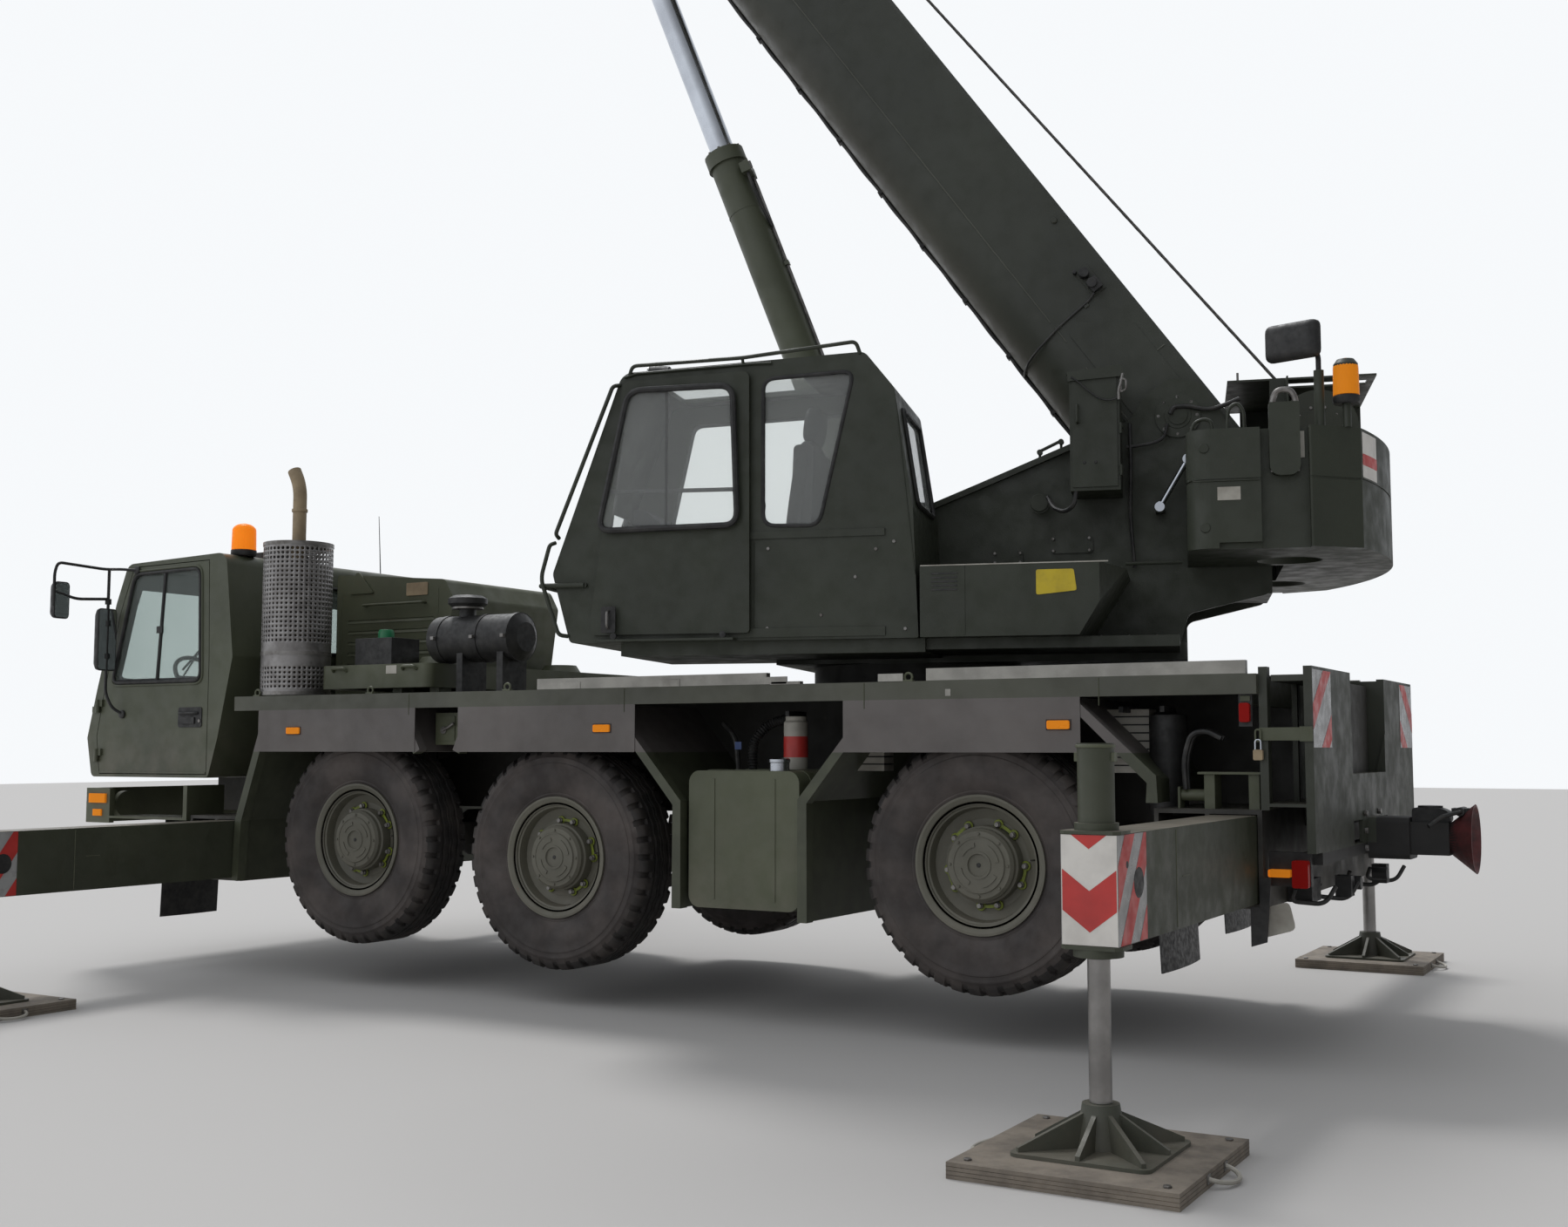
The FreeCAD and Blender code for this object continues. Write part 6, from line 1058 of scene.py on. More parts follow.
back_pane = prism(((0.180, 2.90), (0.186, 2.90), (0.106, 3.45), (0.100, 3.45)), -1.185, -0.570)
wiper = [bar(points(nose(np.array([2.68, 3.30]), -0.022), [-0.90, -0.66], [2.68, 3.30]), 0.009, 6),
         bar(points(nose(np.array([2.95, 3.50]), -0.016), [-0.86, -0.62], [2.95, 3.50]), 0.010, 6),
         disc(0.03, nose(2.66, -0.03), nose(2.66, 0.0), (0, -0.90, 2.66), "x", 16)]
piece("crane_cab_glass", "upper_works",
      {CLEAR_GLASS: [front_pane, rear_side, far_side, roof_pane, back_pane],
       TRIM: [front_seal, rear_side_seal, far_seal, rear_seal] + wiper}, on_upper)
print("crane cab glazed on six sides")

# %% [markdown]
# Thin rails run over the roof and down the leaning corner, where the driver climbs in. The lower corner has screws
# along the joint between the side sheet and the floor, a rain strip runs over the door, and a work lamp sits on the
# roof.

# %% Crane cab rails, screws and lamp
CAB_SIDE, RAIL_OUT, LOOP_OUT = -1.335, -1.352, -1.372
roof_rail = hose([(-1.445, CAB_SIDE, 3.675), (-1.420, RAIL_OUT, 3.735), (-0.770, RAIL_OUT, 3.745),
                  (-0.115, RAIL_OUT, 3.800), (-0.095, CAB_SIDE, 3.735)], 0.011, 0.03)
roof_post = bar(points(-0.767, [RAIL_OUT, CAB_SIDE], [3.745, 3.715]), 0.009, 8)
corner_rail = hose([(-1.500, CAB_SIDE, 3.630), (-1.530, LOOP_OUT, 3.620), (-1.870, LOOP_OUT, 2.775),
                    (-1.862, CAB_SIDE, 2.755)], 0.012, 0.04)
low_loop = hose([(-1.885, CAB_SIDE, 2.730), (-1.905, LOOP_OUT, 2.715), (-1.958, LOOP_OUT, 2.52),
                 (-1.845, LOOP_OUT, 2.195), (-1.800, CAB_SIDE, 2.190)], 0.012, 0.05)
screws = copies(disc(0.010, CAB_SIDE, -1.341, (0, 0, 0), sides=10),
                [(-0.01, 0, 2.641), (-0.126, 0, 2.490), (-0.319, 0, 2.283), (-0.625, 0, 2.215), (0.09, 0, 2.68),
                 (-0.62, 0, 2.66)] + [(x, 0, 2.20) for x in (-0.45, -0.15, 0.15)])
rain = bar(points([-1.47, -1.40, -0.70, -0.60], -1.345, [3.672, 3.690, 3.710, 3.708]), 0.008, 6)
seams = [bar(points([-0.700, -0.700], -1.3355, [2.20, 2.70]), 0.003, 6),
         bar(points([0.205, 0.10], -1.337, [2.50, 3.50]), 0.003, 6)]
WORK_LAMP_Y, WORK_LAMP_Z = -0.88, 3.775
bowl, dome = lamp_pot(-1.47, WORK_LAMP_Y, WORK_LAMP_Z, 0.065)
lamp_body = [lathe([(0.02, -1.335), (0.060, -1.345), (0.072, -1.42), (0.072, -1.462), (0.066, -1.466)],
                   (0, WORK_LAMP_Y, WORK_LAMP_Z), "x", 28, closed=False),
             block(-1.40, -1.37, -0.90, -0.86, 3.70, 3.75)]
step_plate = block(-1.60, -0.80, -1.345, -1.420, 2.150, 2.162)
piece("crane_cab_rails", "upper_works",
      {PAINT_UPPER_WITH_SHADE: [roof_rail, roof_post, corner_rail, low_loop, rain, step_plate] + seams, STEEL: [screws],
       TRIM: lamp_body, CHROME: [bowl], LAMP_GLASS: [dome]}, on_upper, angle=40)
print("rails, screws and work lamp")

# %% [markdown]
# A seat cushion is a crowned closed form. Its outline is a superellipse, and its height is a superellipse too, so it
# is full in the middle, rolls over at its edges and pulls in at the corners. Two shallow channels are pressed into it.
# The crane driver's seat and the two in the carrier's cab are made by the same function.

# %% Seats
def cushion(half, depth, crown=0.35, channels=2):
    """Superellipse of the two angles: each coordinate is its half size times a sign and a power of cosine or sine.
    The top is lowered by a narrow bell curve at each channel."""
    u = np.linspace(-np.pi / 2, np.pi / 2, 25)[1:-1, None]
    v = np.linspace(0, 2 * np.pi, 56, endpoint=False)[None]

    def power(t, e):
        return np.sign(t) * np.abs(t) ** e

    x = half[0] * power(np.cos(u), crown) * power(np.cos(v), 0.42)
    y = half[1] * power(np.cos(u), crown) * power(np.sin(v), 0.42)
    z = half[2] * power(np.sin(u), 0.7) + 0 * v
    across = y / half[1]
    lines = np.linspace(-1, 1, channels + 2)[1:-1]
    dent = np.exp(-((across[..., None] - lines) / 0.05) ** 2).sum(-1) * (np.sin(u) > 0)
    swell = depth * (1 - (x / half[0]) ** 2) * (1 - across ** 2) * (np.sin(u) > 0)
    return skin(points(x, y, z + swell - 0.010 * dent))


def upright(shells, lean):
    """Turns a flat cushion up into a back rest that leans by an angle."""
    return [turned_about(shell, math.radians(-90 + lean), "y") for shell in shells]


seat_low = cushion((0.225, 0.245, 0.060), 0.018)
seat_back = cushion((0.350, 0.235, 0.055), 0.014, channels=1)
head_pad = cushion((0.105, 0.145, 0.045), 0.010, channels=0)


def seat(name, body, x, y, z, place):
    """A cushion, a back rest and a head rest from the place of the seat's rear edge."""
    shells = moved([seat_low], (x - 0.21, y, z)) + moved(upright([seat_back], 8), (x + 0.045, y, z + 0.36))
    shells += moved(upright([head_pad], 8), (x + 0.105, y, z + 0.80))
    made = piece(name, body, {SEAT: shells}, place, angle=70)
    return made


seat("crane_seat", "upper_works", -0.555, -0.8775, 2.620, on_upper)
for tag, y in (("l", -0.760), ("r", 0.500)):
    seat("cab_seat_" + tag, "carrier", -5.130, y, 1.860, on_carrier)
print("seats: 3")

# %% [markdown]
# Each arm console carries a control lever whose rubber gaiter is a turned profile with sharp waves. Its knob is
# turned too.

# %% Levers
def gaiter(x, y, z):
    """Radius falls from bottom to top and alternates by a few millimetres at each fold."""
    k = np.arange(15)
    return lathe(np.stack([0.045 - 0.0019 * k + 0.004 * (k % 2), z + 0.0065 * k], -1), (x, y, 0), "z", 20,
                 closed=False)


lever_shells = []
for y in (-1.1575, -0.5975):
    lever_shells += [gaiter(-0.845, y, 2.800),
                     lathe([(0.008, 2.88), (0.010, 2.96), (0.022, 2.98), (0.026, 3.02), (0.020, 3.055), (0.004, 3.062)],
                           (-0.850, y, 0), "z", 16, closed=False)]
screen = prism(softened(((-1.02, 2.60), (-0.78, 2.60), (-0.78, 2.78), (-1.02, 2.78)), 0.015), -1.315, -1.285)
pedals = [block(-1.40, -1.25, y - 0.05, y + 0.05, 2.215, 2.235) for y in (-0.98, -0.78)]
piece("crane_cab_controls", "upper_works", {TRIM: lever_shells + [screen] + pedals}, on_upper, bevel=0.004)
print("levers and pedals in the crane cab")

# %% [markdown]
# The side housing, the control cabinet and the turntable's cheeks carry small fittings: hinges, a handle, covers with
# bolt heads, a blank yellow plate, a lifting lug. The cabinet's cable droops below it in a loop: it is fixed at both
# ends, so it is a hose bent through listed points and not a loose cord.

# %% Cabinet, covers and side housing
hinges = [bar(points(1.296, -0.772, [z - 0.03, z + 0.03]), 0.009, 10) for z in (3.12, 3.36, 3.58)]
handle = hose([(1.055, -0.772, 3.50), (1.055, -0.800, 3.50), (1.055, -0.800, 3.40), (1.055, -0.772, 3.40)], 0.008,
              0.02)
dots = [disc(0.009, -0.776, -0.768, (x, 0, z), sides=14) for x, z in ((1.091, 3.170), (1.154, 3.170))]
lid = [prism(((1.000, 3.693), (1.310, 3.722), (1.312, 3.655), (1.004, 3.640)), -0.786, -0.772)]
sag = np.linspace(0, 1, 14)
lid_wire = [bar(points(1.022 + 0.262 * sag, -0.790, 3.662 - 0.143 * np.sin(sag * 1.95) ** 1.3), 0.005, 6)]
lid_latch = [hose([(1.312, -0.786, 3.668), (1.300, -0.798, 3.610), (1.288, -0.800, 3.575), (1.288, -0.792, 3.520)],
                  0.009, 0.03),
             frame_bar(((1.300, 3.560), (1.330, 3.575), (1.330, 3.630), (1.300, 3.640)), -0.795, "y", 0.006, 0.012)]
back_hoses = [hose([(1.567, -0.405, 3.500), (1.585, -0.405, 3.540), (1.667, -0.400, 3.545), (1.787, -0.400, 3.512),
                    (1.886, -0.400, 3.542), (1.960, -0.400, 3.572)], 0.013, 0.05),
              hose([(1.316, -0.430, 3.309), (1.466, -0.430, 3.325), (1.532, -0.425, 3.356), (1.550, -0.410, 3.440)],
                   0.010, 0.05),
              hose([(1.335, -0.420, 3.451), (1.338, -0.440, 3.20), (1.330, -0.430, 2.92), (1.350, -0.420, 2.60)],
                   0.011, 0.05)]
edge_link = [bar(points([0.809, 0.935], -0.40, [3.312, 3.370]), 0.010, 8)]
edge_link += [disc(0.017, -0.418, -0.382, (x, 0, z), sides=12) for x, z in ((0.809, 3.305), (0.935, 3.363))]
edge_link += [bar(points([x, x], -0.40, [z, z + 0.045]), 0.008, 8) for x, z in ((0.809, 3.268), (0.935, 3.326))]
cable = hose([(1.04, -0.745, 3.010), (1.03, -0.745, 2.93), (0.97, -0.70, 2.90), (0.90, -0.60, 2.94),
              (0.86, -0.50, 3.02)], 0.013, 0.05)
cover = disc(0.052, -0.470, -0.452, (0.807, 0, 2.994), sides=28)
cover_ring = lathe([(0.052, -0.458), (0.062, -0.458), (0.062, -0.448), (0.052, -0.448)], (0.807, 0, 2.994), "y", 28)
bolt_places = [(x + i, 0, z + j) for x, z, a, b in ((0.610, 2.680, 0.075, 0.028), (0.985, 2.750, 0.105, 0.036))
               for i in (-a, a) for j in (-b, b)]
bolts = copies(disc(0.010, -0.402, -0.392, (0, 0, 0), sides=6), bolt_places)
edge_bolts = copies(disc(0.014, -0.384, -0.368, (0, 0, 0), sides=6),
                    [(x, 0, 2.20) for x in np.arange(0.35, 1.60, 0.16)])
foot_ring = turned_about(disc(0.012, -0.384, -0.368, (0.110, 0, 0), sides=6), np.arange(8) * np.pi / 4)
PIN_X, PIN_Z = 1.610, 3.494
foot_ring = moved([foot_ring], (PIN_X, 0, PIN_Z))
foot_cap = moved([disc(0.078, -0.388, -0.366, (0, 0, 0), sides=36)], (PIN_X, 0, PIN_Z))
yellow = prism(softened(((0.862, 2.365), (1.075, 2.385), (1.060, 2.500), (0.862, 2.500)), 0.012), -1.3785, -1.3745)
top_strip = block(0.24, 1.24, -1.377, -1.365, 2.534, 2.540)
box_seams = [bar(points([0.48, 0.48], -1.3752, [2.16, 2.53]), 0.003, 6)]
vents = copies(block(0.30, 0.44, -1.378, -1.373, 0, 0.008), [(0, 0, z) for z in np.arange(2.40, 2.50, 0.022)])
lock_strut = [bar(points([1.660, 1.500], -0.560, [3.200, 2.930]), 0.016, 12),
              disc(0.030, -0.585, -0.535, (1.660, 0, 3.200), sides=20),
              disc(0.030, -0.585, -0.535, (1.500, 0, 2.930), sides=20)]
strut_feet = [block(1.635, 1.685, -0.560, -0.370, 3.185, 3.215), block(1.475, 1.525, -0.560, -0.370, 2.915, 2.945)]
side_seat = [bar(points([1.30, 1.62], [-0.46, -0.46], [2.62, 2.62]), 0.010, 8)]
piece("housing_fittings", "upper_works",
      {PAINT_UPPER_WITH_SHADE: [handle, cover, cover_ring] + lid + edge_link + hinges + foot_cap + box_seams + strut_feet
       + side_seat, STEEL: [bolts, edge_bolts] + foot_ring + lid_latch,
       HOSE: [cable, vents] + back_hoses + dots + lid_wire, YELLOW: [yellow], PALE: [top_strip], CHROME: lock_strut},
      on_upper, bevel=0.002)
print("housing fittings with", len(bolt_places) + 16, "bolts")

# %% [markdown]
# The counterweight shows its welded layers, a ring of lifting strap in the side recess, blank plates, and a red and
# white board. A beacon and a mirror stand on it.

# %% Counterweight fittings
plates, boards, reds, strap, scars = [], [], [], [], []
for side in SIDES:
    y = side * 1.340
    plates.append(block(1.805, 1.922, *sorted((y, y + side * 0.003)), 2.842, 2.912))
    boards.append(block(2.085, 2.250, *flank(side, 1.283, 1.286), 3.06, 3.20))
    strap.append(hose([(2.090, side * 1.306, 2.985), (2.090, side * 1.318, 3.36), (2.115, side * 1.322, 3.415),
                       (2.185, side * 1.322, 3.415), (2.210, side * 1.318, 3.36), (2.210, side * 1.306, 2.985)], 0.016,
                      0.03))
    plates += [disc(0.026, *sorted((y - side * 0.01, y + side * 0.006)), (x, 0, z), sides=24)
               for x, z in ((1.74, 3.12), (1.74, 2.70))]
    scars.append(bar(points(np.linspace(1.68, 2.02, 18), y + side * 0.004,
                            2.9445 + 0.001 * np.cos(np.arange(18) * 2.1)), 0.004, 6))
loop_lines = [((1.681, 3.210), (1.681, 3.249), (1.697, 3.285), (1.742, 3.304), (1.782, 3.292), (1.796, 3.210)),
              ((1.867, 3.210), (1.867, 3.283), (1.874, 3.356), (1.918, 3.385), (1.950, 3.340), (1.955, 3.210))]
lift_loops = [hose([(x, s * 1.200, z) for x, z in line], 0.010, 0.03) for line in loop_lines for s in SIDES]
roof_peg = bar(points([1.960] * 2, -0.165, [3.720, 3.775]), 0.007, 8)
beacon_base, beacon_lens = beacon(2.470, -1.215, 3.345, 0.066, 0.243)
tail = np.radians(np.linspace(-24.5, -19.5, 7))
tail_plate = skin(np.stack([points(2.801 * np.cos(tail), 2.801 * np.sin(tail), z) for z in (2.965, 3.205)]
                           + [points(2.799 * np.cos(tail), 2.799 * np.sin(tail), z) for z in (3.205, 2.965)], axis=1)
                  .reshape(7, 4, 3))
tail_red = skin(np.stack([points(2.8025 * np.cos(tail), 2.8025 * np.sin(tail), z) for z in (3.03, 3.09)]
                         + [points(2.800 * np.cos(tail), 2.800 * np.sin(tail), z) for z in (3.09, 3.03)], axis=1)
                .reshape(7, 4, 3))
big_mirror = skin(points(np.array((0.0, -0.004, -0.030, -0.050, -0.058))[:, None]
                         + 0 * np.ones(20), *(np.moveaxis((softened(((-0.15, -0.10), (0.15, -0.10), (0.15, 0.10),
                                                                     (-0.15, 0.10)), 0.04, 4)
                                                            * np.array((0.96, 1, 0.98, 0.86, 0.6))[:, None, None]), -1,
                                                           0))))
mirror_shell = moved([turned_about(big_mirror, math.radians(62), "z")], (2.215, -1.215, 3.690))
mirror_arm = hose([(2.335, -1.215, 3.50), (2.335, -1.215, 3.62), (2.29, -1.23, 3.67), (2.24, -1.225, 3.69)], 0.014,
                  0.04)
piece("counterweight_fittings", "upper_works",
      {PALE: plates[:1] + plates[3:4] + boards, PAINT_UPPER_WITH_SHADE: plates[1:3] + plates[4:] + scars + lift_loops,
       STEEL: strap + [roof_peg],
       TRIM: mirror_shell + [beacon_base, mirror_arm], AMBER: [beacon_lens], WHITE: [tail_plate], RED: [tail_red]},
      on_upper, bevel=0.002, angle=45)
print("counterweight plates, straps, beacon and mirror")

# %% [markdown]
# The hoist rope lies on the drum in tight turns and leaves it for the top of the boom. Each turn is one ring whose
# place along the drum grows by one rope's thickness. The rope itself is six strands: a round bar whose radius waves
# round it, with the wave turning as it goes along, looks laid without a strand being modelled. Its free length runs
# straight from the drum to the guide roller on the boom as it stands, and rides on no body.

# %% Hoist rope
def laid_rope(start, end, radius, lay=0.11, per_lay=6, sides=12, strands=6):
    """Radius times (1 + a small cosine of strands * (angle - 2 pi * length / lay)) round a straight line."""
    start, end = np.asarray(start, float), np.asarray(end, float)
    length = np.linalg.norm(end - start)
    s = np.linspace(0, length, int(length / lay * per_lay) + 1)[:, None]
    run = (end - start) / length
    side = np.cross(run, (0, 1.0, 0.013))
    side /= np.linalg.norm(side)
    other = np.cross(run, side)
    a = np.linspace(0, 2 * np.pi, sides, endpoint=False)[None]
    r = radius * (1 + 0.09 * np.cos(strands * (a - 2 * np.pi * s / lay)))
    return skin(start + s[..., None] * run + (r * np.cos(a))[..., None] * side + (r * np.sin(a))[..., None] * other)


ROPE = 0.009
turns = np.arange(-0.250, 0.252, 2 * ROPE)
SECOND_LAYER, DRUM = 15, (2.400, 0, 3.400)
first, second = [lathe([(radius + ROPE * math.cos(t), ROPE * math.sin(t)) for t in np.linspace(0, 2 * np.pi, 9)[:-1]],
                       DRUM, "y", 56) for radius in (0.153, 0.169)]
wound = [copies(first, [(0, y, 0) for y in turns]), copies(second, [(0, y, 0) for y in turns[:SECOND_LAYER] + ROPE])]
drum_bolts = [turned_about(disc(0.010, -0.292, -0.284, (0.125, 0, 0), sides=6), np.arange(10) * np.pi / 5)]
drum_bolts = moved(drum_bolts, DRUM)
piece("drum_rope", "upper_works", {CABLE: wound, STEEL: drum_bolts}, on_upper)
RAISED = math.radians(54.0)


def boom_point(u, w):
    """A point of the boom at rest, written in the turned axes of the upper works."""
    return PIN_X - u * math.cos(RAISED) + w * math.sin(RAISED), PIN_Z + u * math.sin(RAISED) + w * math.cos(RAISED)


roller_u, roller_w = 7.300, 0.222
over_x, over_z = boom_point(roller_u, roller_w + 0.039)
drum_exit, roller_top = np.array((2.345, 0.0, 3.560)), np.array((over_x, 0.0, over_z))
hoist_rope = piece("hoist_rope", None, {CABLE: [laid_rope(drum_exit, roller_top, ROPE, per_lay=5)]}, on_upper)
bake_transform(hoist_rope)
print("rope turns on the drum:", len(turns) + SECOND_LAYER)

# %% [markdown]
# The boom's belly is nearly half a circle. Its radius follows from the chord between the two knees and the depth
# below it: R = (half chord squared + depth squared) / (2 * depth). The same circle places the hose that runs under
# the belly, its clips and the weld beads round the collars.

# %% Fittings of the boom's base section
KNEE, BOTTOM, HALF = -0.245, -0.515, 0.310
BELLY_R = (HALF ** 2 + (KNEE - BOTTOM) ** 2) / (2 * (KNEE - BOTTOM))


def round_boom(u, grow=0.0, steps=22):
    """Points round the belly at u: w = centre - R cos(angle), y = R sin(angle), from knee to knee."""
    limit = math.asin(min((HALF + grow) / (BELLY_R + grow), 1.0))
    a = np.linspace(-limit, limit, steps)
    return points(u, (BELLY_R + grow) * np.sin(a), BOTTOM + BELLY_R - (BELLY_R + grow) * np.cos(a))


def along_side(u0, u1, w, wave=0.0004):
    """A bead along the boom's side: a straight line with a slight ripple, on both sides."""
    u = np.linspace(u0, u1, int((u1 - u0) / 0.09) + 2)
    return [bar(points(u, s * (HALF + wave * np.cos(u * 57)), w + 0.0007 * np.sin(u * 31)), 0.0045, 6)
            for s in SIDES]


beads = along_side(-0.36, 0.58, -0.232) + along_side(0.773, 0.889, -0.229) + along_side(0.93, 6.46, -0.232)
beads += [bar(round_boom(u, 0.002), 0.004, 6) for u in (4.80, 5.57, 6.478, 6.742)]
beads += [bar(points([0.398] * 2, s * 0.3115, [-0.10, 0.205]), 0.005, 6) for s in SIDES]
u = np.linspace(0.35, 4.70, 150)
drop = BOTTOM - 0.007 - 0.005 * np.sin(u * 9.1) ** 2
belly_hose = [bar(points(u, 0.030, drop), 0.014, 8), bar(points(u, 0.062, drop + 0.006), 0.012, 8)]
clips = [copies(block(-0.012, 0.012, 0.008, 0.082, BOTTOM - 0.028, BOTTOM + 0.004),
                [(k, 0, 0) for k in np.arange(0.55, 4.7, 0.46)])]
valve_plate = block(0.893, 1.085, -0.318, -0.309, 0.058, 0.150)
valves = [disc(0.030, -0.375, -0.316, (k, 0, 0.098), sides=20) for k in (1.037, 0.957)]
valves += [block(0.905, 0.985, -0.360, -0.316, 0.072, 0.140), disc(0.012, -0.350, -0.316, (1.079, 0, 0.060), sides=12)]
side_pipe = hose([(0.905, -0.335, 0.075), (0.892, -0.322, 0.030), (0.874, -0.3185, -0.223), (0.862, -0.3185, -0.290),
                  (0.850, -0.282, -0.400), (0.845, -0.190, -0.480), (0.842, -0.060, -0.522), (0.842, 0.02, -0.530)],
                 0.0075, 0.05)
pipe_clips = [block(0.866, 0.890, -0.322, -0.309, w, w + 0.03) for w in (-0.225, -0.02)]
eye_bolt = disc(0.018, -0.330, -0.309, (1.421, 0, 0.162), sides=12)
pad_bolts = [moved([disc(0.024, 0, 0.020, (0, 0, 0), sides=6), disc(0.040, 0, 0.008, (0, 0, 0), sides=20)],
                   (6.82, 0.323, w)) for w in (0.13, -0.16)]
pad_bolts = [mirrored_y([shell for pair in pad_bolts for shell in pair], s) for s in SIDES]
top_bolts = [disc(0.020, 0.258, 0.276, (6.82, y, 0), "z", 6) for y in (-0.2, 0.2)]
foot_caps = [disc(0.105, *flank(s, 0.312, 0.3225), (0, 0, 0), sides=40) for s in SIDES]
piece("boom_fittings", "boom_base",
      {BEAD: beads, PAINT_BOOM_WITH_SHADE: [valve_plate, eye_bolt] + pipe_clips + foot_caps
       + [shell for pair in pad_bolts for shell in pair] + top_bolts, TRIM: valves + clips,
       HOSE: belly_hose + [side_pipe]}, on_boom, bevel=0.0015)
print("belly radius", round(BELLY_R, 3), "m,", len(beads), "weld beads")

# %% [markdown]
# The luffing cylinder carries a valve block near its gland, a short hose from it, and a steel pipe clipped along the
# barrel. These are drawn in the cylinder's own axes, which run from the foot pin to the eye: the direction is the
# difference of the two joints' places, divided by its length.

# %% Fittings of the luffing cylinder
CYLINDER_FOOT = on_upper(np.array((-0.200, 0.0, 2.650)))
ROD_WAY = np.array(joints["luff_rod_eye"]["pos_m"]) - CYLINDER_FOOT
ROD_WAY /= np.linalg.norm(ROD_WAY)
ROD_SIDE = np.cross(ROD_WAY, ACROSS)


def on_cylinder(points):
    """From the cylinder's foot pin: s along the rod, y across, q towards the boom."""
    return points @ np.array((ROD_WAY, ACROSS, -ROD_SIDE)) + CYLINDER_FOOT


barrel_parts = [block(2.770, 2.840, -0.140, -0.060, 0.085, 0.150), block(2.770, 2.840, -0.06, 0.05, 0.110, 0.146)]
pipe = hose([(2.80, 0.0, 0.124), (2.72, 0.0, 0.130), (0.42, 0.0, 0.130), (0.34, 0.0, 0.110)], 0.012, 0.05)
short_hose = hose([(2.785, -0.110, 0.120), (2.66, -0.112, 0.118), (2.54, -0.070, 0.120), (2.40, -0.020, 0.131)], 0.011,
                  0.08)
pipe_grips = [block(s, s + 0.03, -0.022, 0.022, 0.110, 0.147) for s in (2.12, 1.40, 0.70)]
bands = [lathe([(0.118, 2.555), (0.1205, 2.555), (0.1205, 2.562), (0.118, 2.562)], (0, 0, 0), "x", 44),
         lathe([(0.080, 3.000), (0.108, 3.000), (0.108, 3.012), (0.080, 3.014)], (0, 0, 0), "x", 44),
         lathe([(0.132, 2.905), (0.1345, 2.905), (0.1345, 2.913), (0.132, 2.913)], (0, 0, 0), "x", 44)]
gland_bolts = turned_about(disc(0.010, 3.000, 3.012, (0, 0.120, 0), "x", 6), np.arange(10) * np.pi / 5, "x")
nipple = [disc(0.012, 2.79, 2.84, (0, -0.100, 0.150), "x", 10)]
piece("cylinder_fittings", "luff_barrel",
      {PAINT_CAB: barrel_parts + pipe_grips + bands, STEEL: [gland_bolts, pipe] + nipple, HOSE: [short_hose]},
      on_cylinder, bevel=0.002)

# %% [markdown]
# The rope passes over a guide roller near the end of the last section, bends down to the upper sheave and follows it
# round. Seen from the side the three lower sheaves carry two pairs of falls. A sheave's groove is worn bright.

# %% Head rollers and rope
roller = [lathe([(0.012, -0.15), (0.030, -0.15), (0.030, 0.15), (0.012, 0.15)], (roller_u, 0, roller_w), "y", 20),
          bar(points([roller_u] * 2, [-0.172, 0.172], [roller_w] * 2), 0.012, 10)]
roller_feet = [prism(softened(((7.25, 0.186), (7.35, 0.186), (7.33, 0.25), (7.27, 0.25)), 0.02),
                     *flank(s, 0.155, 0.172)) for s in SIDES]
over = np.radians(np.linspace(68, -62, 24))
PINS_U, PINS_W = 7.900, (-0.015, -0.600)
upper_turn = points(PINS_U + 0.184 * np.sin(np.pi / 2 - over), -0.002, PINS_W[0] + 0.184 * np.cos(np.pi / 2 - over))
head_path = np.concatenate([[(roller_u, -0.001, roller_w + 0.039)], upper_turn, [(7.948, -0.007, -0.420)]])
head_beads = [bar(points([7.478] * 2, [-0.17, 0.17], [0.160] * 2), 0.004, 6)]
pin_caps = [disc(0.052, *flank(s, 0.199, 0.214), (PINS_U, 0, w), sides=28) for s in SIDES for w in PINS_W]
keepers = [block(7.86, 7.94, *flank(s, 0.200, 0.209), w + 0.060, w + 0.085) for s in SIDES for w in PINS_W]
switch_box = block(7.60, 7.74, -0.232, -0.202, -0.44, -0.34)
switch_hose = hose([(7.62, -0.216, -0.36), (7.50, -0.216, -0.30), (7.42, -0.206, -0.14), (7.20, -0.268, 0.02)], 0.008,
                   0.06)
piece("head_fittings", "boom_tele_3",
      {PAINT_BOOM_WITH_SHADE: roller_feet + pin_caps + keepers + head_beads, STEEL: roller, CABLE: [bar(head_path, ROPE, 8)],
       TRIM: [switch_box], HOSE: [switch_hose]}, on_boom, bevel=0.002)
for i, step in ((1, 0.022), (2, 0.044), (3, 0.066)):
    end = 6.90 + 0.190 * i
    marks = [disc(0.018, *flank(s, HALF - step + 0.016, HALF - step + 0.030), (end - 0.03, 0, w), sides=6)
             for s in SIDES for w in (0.08, -0.14)]
    piece("section_bolts_%d" % i, "boom_tele_%d" % i, {STEEL: marks}, on_boom)
print("head rope with", len(head_path), "points")

# %% [markdown]
# The two broad panels at the back wear slanted stripes, one a mirror image of the other. The same stripe function as
# on the beam ends cuts them to their rectangle. Beside them come a strap with a padlock and the side and tail lamps.

